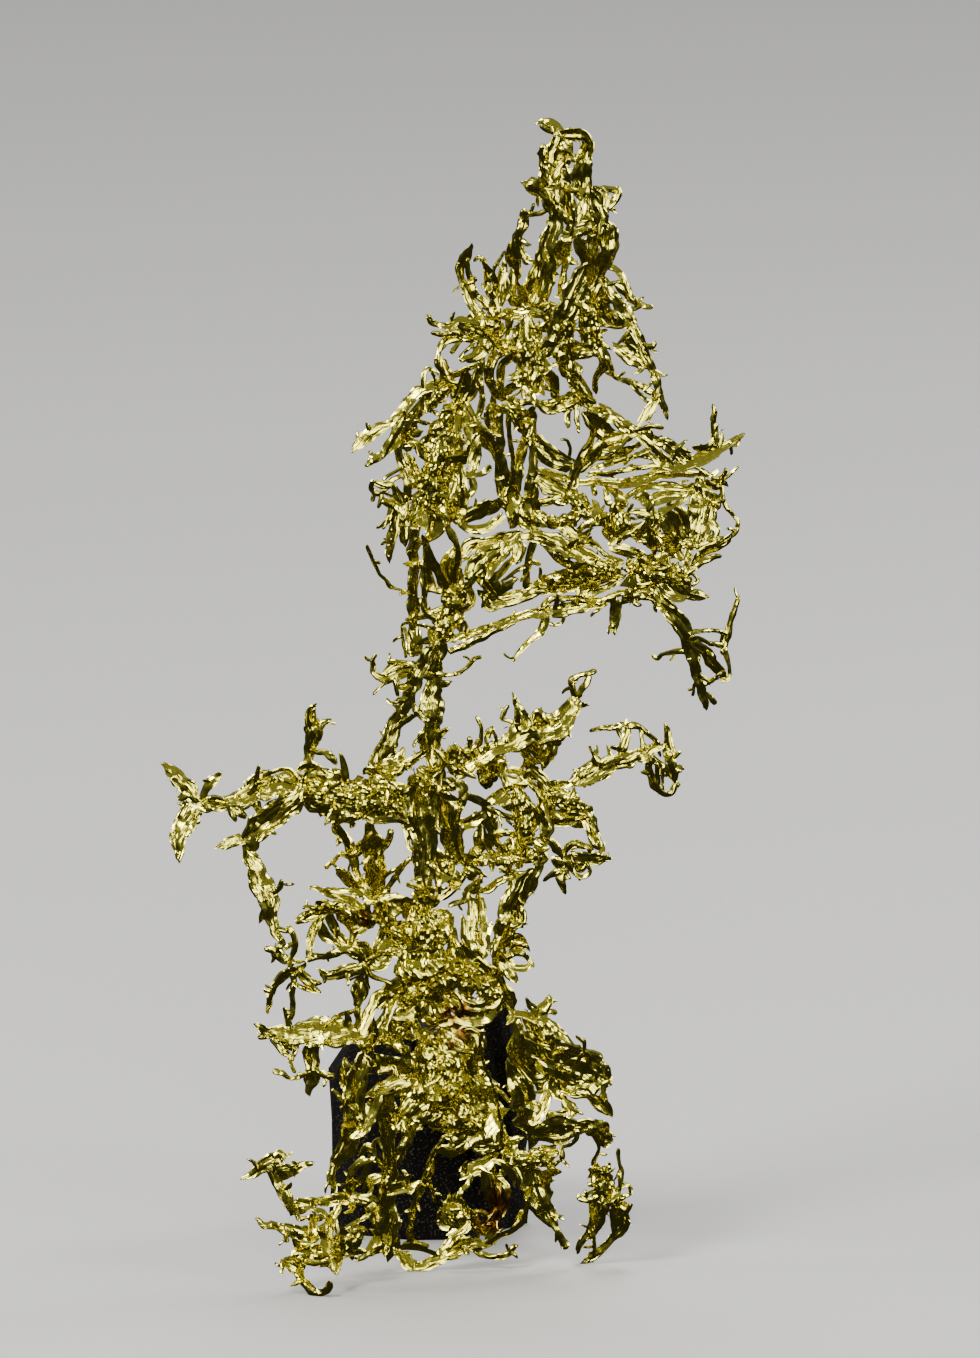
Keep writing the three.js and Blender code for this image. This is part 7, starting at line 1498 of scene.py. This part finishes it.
def gold_piece(node, seed, cell):
    """All strands of one node as one mesh."""
    thick = ROUTES[node]
    drawn = rooted(thick + FINER.get(node, []))
    small = []
    for number, strand in enumerate(drawn):
        if strand[0] == "mass":
            small += tangle(strand, seed + 13 * number)
        elif number < len(thick):
            small += offshoots(strand, seed + 13 * number)
    parts, shift = [], 0
    for number, strand in enumerate(drawn + small):
        spacing = cell if number < len(drawn) else SMALL_CELL * cell
        points, quads, fans, *rest = strand_skin(strand, number, seed + 31 * number, spacing)
        parts.append((points, quads + shift, fans + shift, *rest))
        shift += len(points)
    points, quads, fans, edge, leafy, lay = (np.concatenate(column) for column in zip(*parts))
    points[:, 2] = np.maximum(points[:, 2], LOWEST)
    across, down = sheet_place(points)
    stain = np.zeros(len(points))
    for x, y, radius in STAINS.get(node, []):
        away = np.hypot(across - x * TENTH, down - y * TENTH) / (radius * TENTH)
        stain = np.maximum(stain, np.clip(1.5 - 1.3 * away + 0.5 * noise(points, 0.5, 3), 0, 0.85))
    attributes = {"stain": stain, "edge": edge, "leafy": leafy, "lay": lay}
    return mesh_of(node + "_gold", points, quads, fans, attributes)


# ---- Geometry Nodes ---------------------------------------------------------------------------
def add_node(tree, kind, settings=None, links=None):
    """Adds a node, sets its properties and inputs, and links its inputs from other sockets."""
    node = tree.nodes.new(kind)
    for key, value in (settings or {}).items():
        if isinstance(key, int):
            node.inputs[key].default_value = value
        elif key in {i.name for i in node.inputs} and not hasattr(node, key):
            node.inputs[key].default_value = value
        else:
            setattr(node, key, value)
    for key, socket in (links or {}).items():
        tree.links.new(socket, node.inputs[key])
    return node


def sprig(name, length, width, thickness, bend, curl, rings=6, around=6):
    """One small leaf or spur, rooted at the origin and growing up, as an object to repeat.

    It is about half as wide at its root, widest just before its middle and narrow at its tip.
    """
    t = np.linspace(0, 1, rings)
    shape = np.sin(np.pi * np.clip(0.16 + 0.8 * t, 0, 1)) ** 0.8
    angle = 2 * np.pi * np.arange(around) / around
    x = (width / 2 * shape)[:, None] * np.cos(angle)
    y = (thickness / 2 * shape)[:, None] * np.sin(angle) + curl * (x * x) / width \
        + (bend * length * t * t)[:, None]
    z = np.repeat((length * (t - 0.12 * bend * t * t))[:, None], around, axis=1)
    skin = np.stack([x, y, z], axis=-1).reshape(-1, 3)
    points = np.concatenate([skin, [skin[:around].mean(0), skin[-around:].mean(0)]])
    quads, fans = skin_faces(rings, around)
    made = mesh_of(name, points, quads, fans, {})
    made.data.shade_flat()
    return made


# The inputs of the tree that scatters growths: their names, kinds and usual values.
GROWTH_INPUTS = (("Growth", "NodeSocketObject", None), ("Where", "NodeSocketString", "leafy"),
                 ("Number per mm2", "NodeSocketFloat", 1.0), ("Smallest", "NodeSocketFloat", 0.5),
                 ("Largest", "NodeSocketFloat", 1.2), ("Lean", "NodeSocketFloat", 1.0),
                 ("Seed", "NodeSocketInt", 1), ("Finish", "NodeSocketMaterial", None))


def growth_tree():
    """Small growths scattered over a piece: leaves on its crumpled parts or spurs on its edges."""
    tree = bpy.data.node_groups.new("Small growths", "GeometryNodeTree")
    face = tree.interface
    face.new_socket("Geometry", in_out="INPUT", socket_type="NodeSocketGeometry")
    for label, kind, default in GROWTH_INPUTS:
        socket = face.new_socket(label, in_out="INPUT", socket_type=kind)
        if default is not None:
            socket.default_value = default
    face.new_socket("Geometry", in_out="OUTPUT", socket_type="NodeSocketGeometry")
    start = add_node(tree, "NodeGroupInput")
    get = {socket.name: socket for socket in start.outputs}
    where = add_node(tree, "GeometryNodeInputNamedAttribute", {"data_type": "FLOAT"},
                     {"Name": get["Where"]})
    many = add_node(tree, "ShaderNodeMath", {"operation": "MULTIPLY", 1: PER_MM ** 2},
                    {0: get["Number per mm2"]})
    rate = add_node(tree, "ShaderNodeMath", {"operation": "MULTIPLY"},
                    {0: many.outputs[0], 1: where.outputs["Attribute"]})
    spots = add_node(tree, "GeometryNodeDistributePointsOnFaces", {},
                     {"Mesh": get["Geometry"], "Density": rate.outputs[0], "Seed": get["Seed"]})
    up = add_node(tree, "FunctionNodeAlignRotationToVector", {"axis": "Z"},
                  {"Vector": spots.outputs["Normal"]})
    low = add_node(tree, "ShaderNodeMath", {"operation": "MULTIPLY", 1: -1.0}, {0: get["Lean"]})
    least = add_node(tree, "ShaderNodeCombineXYZ", {2: -HALF_TURN}, {0: low.outputs[0], 1: low.outputs[0]})
    most = add_node(tree, "ShaderNodeCombineXYZ", {2: HALF_TURN}, {0: get["Lean"], 1: get["Lean"]})
    lean = add_node(tree, "FunctionNodeRandomValue", {"data_type": "FLOAT_VECTOR"},
                    {0: least.outputs[0], 1: most.outputs[0], "Seed": get["Seed"]})
    turned = add_node(tree, "FunctionNodeRotateRotation", {"rotation_space": "LOCAL"},
                      {"Rotation": up.outputs["Rotation"], "Rotate By": lean.outputs[0]})
    size = add_node(tree, "FunctionNodeRandomValue", {"data_type": "FLOAT"},
                    {2: get["Smallest"], 3: get["Largest"], "Seed": get["Seed"]})
    growth = add_node(tree, "GeometryNodeObjectInfo", {}, {"Object": get["Growth"]})
    grown = add_node(tree, "GeometryNodeInstanceOnPoints", {},
                     {"Points": spots.outputs["Points"], "Instance": growth.outputs["Geometry"],
                      "Rotation": turned.outputs[0], "Scale": size.outputs[1]})
    real = add_node(tree, "GeometryNodeRealizeInstances", {}, {"Geometry": grown.outputs[0]})
    both = add_node(tree, "GeometryNodeJoinGeometry")
    tree.links.new(get["Geometry"], both.inputs[0])
    tree.links.new(real.outputs[0], both.inputs[0])
    finish = add_node(tree, "GeometryNodeSetMaterial", {},
                      {"Geometry": both.outputs[0], "Material": get["Finish"]})
    add_node(tree, "NodeGroupOutput", {}, {0: finish.outputs[0]})
    return tree


def grow(piece, tree, settings):
    """Runs a Geometry Nodes tree on a piece and keeps the result as its plain mesh."""
    modifier = piece.modifiers.new("Growth", "NODES")
    modifier.node_group = tree
    for item in tree.interface.items_tree:
        if item.in_out == "INPUT" and item.name in settings:
            modifier[item.identifier] = settings[item.name]
    bpy.context.view_layer.update()
    shape = piece.evaluated_get(bpy.context.evaluated_depsgraph_get())
    mesh = bpy.data.meshes.new_from_object(shape)
    piece.modifiers.remove(modifier)
    old, piece.data = piece.data, mesh
    bpy.data.meshes.remove(old)


# ---- Materials --------------------------------------------------------------------------------
def new_material(name):
    """A node material, with its tree and shader if they are still to be built."""
    material = bpy.data.materials.get(name)
    if material:
        return material, None, None
    material = bpy.data.materials.new(name)
    material.use_nodes = True
    tree = material.node_tree
    return material, tree, tree.nodes["Principled BSDF"]


def blend(tree, share, first, second):
    """A mix of two colours. The first may be a socket, and the share is one."""
    is_socket = isinstance(first, bpy.types.NodeSocket)
    links = {0: share, 6: first} if is_socket else {0: share}
    mix = add_node(tree, "ShaderNodeMix", {"data_type": "RGBA"}, links)
    if not is_socket:
        mix.inputs[6].default_value = [*first[:3], 1]
    mix.inputs[7].default_value = [*second[:3], 1]
    return mix.outputs[2]


def lumps(tree, where, per_mm, detail):
    """A noise from 0 to 1 with so many lumps in a millimetre."""
    return add_node(tree, "ShaderNodeTexNoise", {"Scale": per_mm * PER_MM, "Detail": detail},
                    {"Vector": where}).outputs[0]


def remap(tree, value, low, high, first, last):
    """A value from low to high, turned into one from first to last."""
    return add_node(tree, "ShaderNodeMapRange", {1: low, 2: high, 3: first, 4: last}, {0: value}).outputs[0]


def faceted_normal(tree, where, lay):
    """The surface's direction, leaning another way on each facet of the crystal."""
    amount = remap(tree, lumps(tree, where, 0.42, 1.0), 0.49, 0.60, 0.10, 1.0)
    normal = add_node(tree, "ShaderNodeNewGeometry").outputs["Normal"]
    for follows, slim, width, tilt in FACETS:
        run = add_node(tree, "ShaderNodeVectorMath", {"operation": "MULTIPLY", 1: (slim, 1.0, 1.0)},
                       {0: lay if follows else where})
        cell = add_node(tree, "ShaderNodeTexVoronoi", {"Scale": 1 / (width * MM)},
                        {"Vector": run.outputs[0]})
        way = add_node(tree, "ShaderNodeVectorMath", {"operation": "SUBTRACT", 1: (0.5, 0.5, 0.5)},
                       {0: cell.outputs["Color"]})
        lean = add_node(tree, "ShaderNodeVectorMath", {"operation": "MULTIPLY", 1: (tilt, tilt, tilt)},
                        {0: way.outputs[0]})
        if follows:
            lean = add_node(tree, "ShaderNodeVectorMath", {"operation": "SCALE"},
                            {0: lean.outputs[0], 3: amount})
        normal = add_node(tree, "ShaderNodeVectorMath", {"operation": "ADD"},
                          {0: normal, 1: lean.outputs[0]}).outputs[0]
    return add_node(tree, "ShaderNodeVectorMath", {"operation": "NORMALIZE"}, {0: normal}).outputs[0]


def native_gold():
    """Native gold as it grew: a mirror-bright metal with a little silver, so it is greenish.
    Long narrow facets and fine streaks lie along each strand, over crystal faces of about 1.7 mm,
    and each one mirrors another way, so light and dark meet at sharp lines. Iron stains it."""
    material, tree, shader = new_material("native_gold_crystal")
    if tree is None:
        return material
    c = bpy.context.scene.wire_gold_colours
    where = add_node(tree, "ShaderNodeTexCoord").outputs["Object"]
    lay = add_node(tree, "ShaderNodeAttribute", {"attribute_name": "lay"}).outputs["Vector"]
    edge = add_node(tree, "ShaderNodeAttribute", {"attribute_name": "edge"}).outputs["Fac"]
    stain = add_node(tree, "ShaderNodeAttribute", {"attribute_name": "stain"}).outputs["Fac"]
    gold = blend(tree, lumps(tree, where, 0.9, 3.0), c.gold_deep, c.gold_bright)
    # Painted highlight: the foils' edges are blended towards a paler, almost white gold, as where light
    # catches them
    edge_highlighted = blend(tree, remap(tree, edge, 0.5, 1.0, 0.0, 0.4), gold, c.gold_edge_highlight)
    tree.links.new(blend(tree, stain, edge_highlighted, c.stain), shader.inputs["Base Color"])
    shader.inputs["Metallic"].default_value = 1.0
    rough = remap(tree, lumps(tree, where, 2.2, 2.0), 0.35, 0.75, 0.09, 0.27)
    stained = add_node(tree, "ShaderNodeMix", {"data_type": "FLOAT", 3: 0.28}, {0: stain, 2: rough})
    tree.links.new(stained.outputs[0], shader.inputs["Roughness"])
    grain = add_node(tree, "ShaderNodeVectorMath", {"operation": "MULTIPLY", 1: (0.10, 1.0, 1.0)}, {0: lay})
    fine = add_node(tree, "ShaderNodeBump", {"Strength": 0.7, "Distance": 0.1 * MM},
                    {"Height": lumps(tree, grain.outputs[0], 3.6, 2.0),
                     "Normal": faceted_normal(tree, where, lay)})
    tree.links.new(fine.outputs[0], shader.inputs["Normal"])
    return material


def black_putty():
    """Hardened black putty: matt and sandy, with brown mineral grains of about 0.1 mm in it."""
    material, tree, shader = new_material("black_putty")
    if tree is None:
        return material
    c = bpy.context.scene.wire_gold_colours
    where = add_node(tree, "ShaderNodeTexCoord").outputs["Object"]
    grains = remap(tree, lumps(tree, where, 4.6, 3.0), 0.58, 0.72, 0.0, 1.0)
    tree.links.new(blend(tree, grains, c.support, c.grains), shader.inputs["Base Color"])
    shader.inputs["Roughness"].default_value = 0.85
    shader.inputs["Specular IOR Level"].default_value = 0.15
    bump = add_node(tree, "ShaderNodeBump", {"Strength": 0.8, "Distance": 0.2 * MM},
                    {"Height": lumps(tree, where, 2.4, 4.0)})
    tree.links.new(bump.outputs[0], shader.inputs["Normal"])
    return material


def pale_paper():
    """Smooth studio paper: matt, pale and even, with a faint fibre of about 1 mm."""
    material, tree, shader = new_material("pale_paper")
    if tree is None:
        return material
    where = add_node(tree, "ShaderNodeTexCoord").outputs["Object"]
    tone = blend(tree, lumps(tree, where, 1.0, 2.0), linear("#CFCDC8"), linear("#D6D4CF"))
    tree.links.new(tone, shader.inputs["Base Color"])
    shader.inputs["Roughness"].default_value = 0.75
    return material


def studio_air():
    """Soft even light that falls off towards the ground, as under a big diffuser."""
    world = bpy.data.worlds.new("studio_air")
    world.use_nodes = True
    tree = world.node_tree
    way = add_node(tree, "ShaderNodeTexCoord").outputs["Generated"]
    height = add_node(tree, "ShaderNodeSeparateXYZ", {}, {0: way})
    light = remap(tree, height.outputs[2], -0.25, 0.85, 0.028, 0.30)
    air = tree.nodes["Background"]
    air.inputs[0].default_value = (0.93, 0.97, 1.0, 1)
    tree.links.new(light, air.inputs[1])
    return world


# ---- Sizes and colours a user would change ----------------------------------------------------
def size_property(name, description, usual, most):
    """A length that a user can change, from 0.08 mm up. Its usual and its largest value are in mm."""
    return bpy.props.FloatProperty(name=name, description=description, default=usual * MM,
                                   min=0.08 * MM, max=most * MM, unit="LENGTH", precision=5)


def colour_property(name, description, hexed):
    """A colour that a user can change."""
    return bpy.props.FloatVectorProperty(name=name, description=description, subtype="COLOR",
                                         default=linear(hexed)[:3])


class WireGoldSizes(bpy.types.PropertyGroup):
    """Sizes of the fine shapes."""
    cell: size_property("Fineness", "Spacing of the skin's points", 0.165, 1.0)
    leaf: size_property("Small leaf", "Length of the small crumpled leaves", 1.0, 3.0)
    spur: size_property("Spur", "Length of the small hooked spurs", 0.55, 3.0)
    seed: bpy.props.IntProperty(name="Seed", description="Which of the many possible growths", default=4)


class WireGoldColours(bpy.types.PropertyGroup):
    """Colours of the finishes."""
    gold_bright: colour_property("Bright gold", "The gold where it is clean", "#E6DC54")
    gold_deep: colour_property("Deep gold", "The gold where it is tarnished", "#BAB040")
    # Gold rim: a painted highlight, the pale gold laid on the foils' edges in place of the light that
    # catches them
    gold_edge_highlight: colour_property("Gold rim", "The gold on worn edges, almost white", "#F0E878")
    stain: colour_property("Iron stain", "The brown film on some leaves", "#64240C")
    support: colour_property("Support", "The black support", "#060504")
    grains: colour_property("Grains", "The brown grains in the support", "#4A4434")


# ---- Operators --------------------------------------------------------------------------------
class GoldOperator:
    """What the operators of the gold share."""
    bl_options = {"REGISTER", "UNDO"}
    nodes = ()

    def execute(self, context):
        sizes = context.scene.wire_gold_sizes
        leaf_size, spur_size = sizes.leaf / MM, sizes.spur / MM
        names = list(ROUTES)
        tree = bpy.data.node_groups.get("Small growths") or growth_tree()
        leaf_pattern = sprig("leaf_pattern", **LEAF_SHAPE)
        spur_pattern = sprig("spur_pattern", **SPUR_SHAPE)
        for node in self.nodes:
            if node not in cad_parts:
                raise RuntimeError(f"the frame has no node {node}")
            seed = sizes.seed + 101 * names.index(node)
            piece = gold_piece(node, seed, sizes.cell / MM)
            piece.data.materials.append(native_gold())
            grow(piece, tree, {
                "Growth": leaf_pattern, "Where": "leafy", "Number per mm2": LEAVES_PER_MM2, "Seed": seed,
                "Smallest": LEAF_RANGE[0] * leaf_size, "Largest": LEAF_RANGE[1] * leaf_size,
                "Lean": LEAF_LEAN, "Finish": native_gold()})
            grow(piece, tree, {
                "Growth": spur_pattern, "Where": "edge", "Number per mm2": SPURS_PER_MM2, "Seed": seed + 1,
                "Smallest": SPUR_RANGE[0] * spur_size, "Largest": SPUR_RANGE[1] * spur_size,
                "Lean": SPUR_LEAN, "Finish": native_gold()})
            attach(piece, "root")
            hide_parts(node)
        for pattern in (leaf_pattern, spur_pattern):
            bpy.data.objects.remove(pattern)
        return {"FINISHED"}


class OBJECT_OT_wire_gold_crown(GoldOperator, bpy.types.Operator):
    """The crown: its hooked tip, the hooks beside it, its crumpled heart and the chains that hang from it"""
    bl_idname = "object.wire_gold_crown"
    bl_label = "Crown"
    nodes = ("crown_tip", "crown_left", "crown_core", "right_drape", "crown_middle")


class OBJECT_OT_wire_gold_upper_arms(GoldOperator, bpy.types.Operator):
    """The upper arms: the wings on the left, the arms, the fan, the roof, the knot and the pendant"""
    bl_idname = "object.wire_gold_upper_arms"
    bl_label = "Upper arms"
    nodes = ("right_arm", "right_fan", "roof", "left_wing", "left_wing_tips", "lower_right_arm",
             "right_knot", "pendant")


class OBJECT_OT_wire_gold_stems(GoldOperator, bpy.types.Operator):
    """The stems and the trunk below the crown"""
    bl_idname = "object.wire_gold_stems"
    bl_label = "Stems"
    nodes = ("stem_head", "rear_post", "left_stem", "right_stem", "trunk")


class OBJECT_OT_wire_gold_lower_arms(GoldOperator, bpy.types.Operator):
    """The arms at the middle height, on both sides of the trunk"""
    bl_idname = "object.wire_gold_lower_arms"
    bl_label = "Lower arms"
    nodes = ("left_arm", "left_arm_leaf", "left_arm_blades", "left_arm_hanger", "rising_arm",
             "far_right_arm", "far_right_claw", "mid_right_mass", "right_star", "lower_blade",
             "rear_struts", "left_twigs", "left_twig_fork", "left_low_arm")


class OBJECT_OT_wire_gold_base(GoldOperator, bpy.types.Operator):
    """The base: the crumpled mass, the shell, the legs and the feet"""
    bl_idname = "object.wire_gold_base"
    bl_label = "Base"
    nodes = ("base_mass", "sheaf", "base_shell", "left_leg", "middle_leg", "left_foot", "left_low_foot",
             "base_rim", "inner_twigs", "base_strands", "right_low_fan", "right_strip", "right_leg",
             "right_foot")


class OBJECT_OT_wire_gold_support(bpy.types.Operator):
    """The rough black support behind the base"""
    bl_idname = "object.wire_gold_support"
    bl_label = "Support"
    bl_options = {"REGISTER", "UNDO"}

    def execute(self, context):
        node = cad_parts["support"]
        node.data.materials.clear()
        node.data.materials.append(black_putty())
        return {"FINISHED"}


def add_to_scene(context, name, data, spot=(0, 0, 0), aim=None):
    """Puts an object in the scene at a spot, turned towards an aim if there is one."""
    made = bpy.data.objects.new(name, data)
    made.location = spot
    if aim is not None:
        made.rotation_euler = (Vector(aim) - Vector(spot)).to_track_quat("-Z", "Y").to_euler()
    context.scene.collection.objects.link(made)
    return made


class OBJECT_OT_wire_gold_stage(bpy.types.Operator):
    """The floor, the lights and the camera"""
    bl_idname = "object.wire_gold_stage"
    bl_label = "Stage"
    bl_options = {"REGISTER", "UNDO"}

    def execute(self, context):
        sheet = bpy.data.meshes.new("floor")
        corners = [(x * FLOOR_REACH, y * FLOOR_REACH, -FLOOR_SINK)
                   for x, y in ((-1, -1), (1, -1), (1, 1), (-1, 1))]
        sheet.from_pydata(corners, [], [(0, 1, 2, 3)])
        sheet.materials.append(pale_paper())
        floor = add_to_scene(context, "floor", sheet)
        floor.visible_glossy = False     # the gold mirrors the dark below it and not the floor
        context.scene.world = studio_air()
        for name, spot, size, power in LAMPS:
            lamp = bpy.data.lights.new(name, "AREA")
            lamp.shape, lamp.size, lamp.energy = "SQUARE", size, power
            add_to_scene(context, name, lamp, spot, LAMPS_AIM)
        camera = bpy.data.cameras.new("camera")
        camera.sensor_width = SENSOR
        camera.lens = SENSOR * CAMERA_AWAY / PICTURE_HEIGHT
        camera.clip_start = 0.05
        aim = Vector(place(*CAMERA_AIM, 0.0) * MM)
        eye = aim - Vector(SIGHT) * CAMERA_AWAY
        context.scene.camera = add_to_scene(context, "camera", camera, eye, aim)
        return {"FINISHED"}


OPERATORS = (OBJECT_OT_wire_gold_stage, OBJECT_OT_wire_gold_support, OBJECT_OT_wire_gold_crown,
             OBJECT_OT_wire_gold_upper_arms, OBJECT_OT_wire_gold_stems, OBJECT_OT_wire_gold_lower_arms,
             OBJECT_OT_wire_gold_base)


class VIEW3D_PT_wire_gold(bpy.types.Panel):
    """Lists the pieces, the sizes and the colours"""
    bl_idname = "VIEW3D_PT_wire_gold"
    bl_label = "Wire gold"
    bl_space_type = "VIEW_3D"
    bl_region_type = "UI"
    bl_category = "Wire gold"

    def draw(self, context):
        for operator in OPERATORS:
            self.layout.operator(operator.bl_idname)
        for group in (context.scene.wire_gold_sizes, context.scene.wire_gold_colours):
            for key in group.__annotations__:
                self.layout.prop(group, key)


CLASSES = (WireGoldSizes, WireGoldColours, *OPERATORS, VIEW3D_PT_wire_gold)


def register():
    for cls in CLASSES:
        bpy.utils.register_class(cls)
    bpy.types.Scene.wire_gold_sizes = bpy.props.PointerProperty(type=WireGoldSizes)
    bpy.types.Scene.wire_gold_colours = bpy.props.PointerProperty(type=WireGoldColours)


def unregister():
    del bpy.types.Scene.wire_gold_colours
    del bpy.types.Scene.wire_gold_sizes
    for cls in reversed(CLASSES):
        bpy.utils.unregister_class(cls)


def main():
    register()
    for operator in OPERATORS:
        group, name = operator.bl_idname.split(".")
        getattr(getattr(bpy.ops, group), name)()


if __name__ == "__main__":
    main()
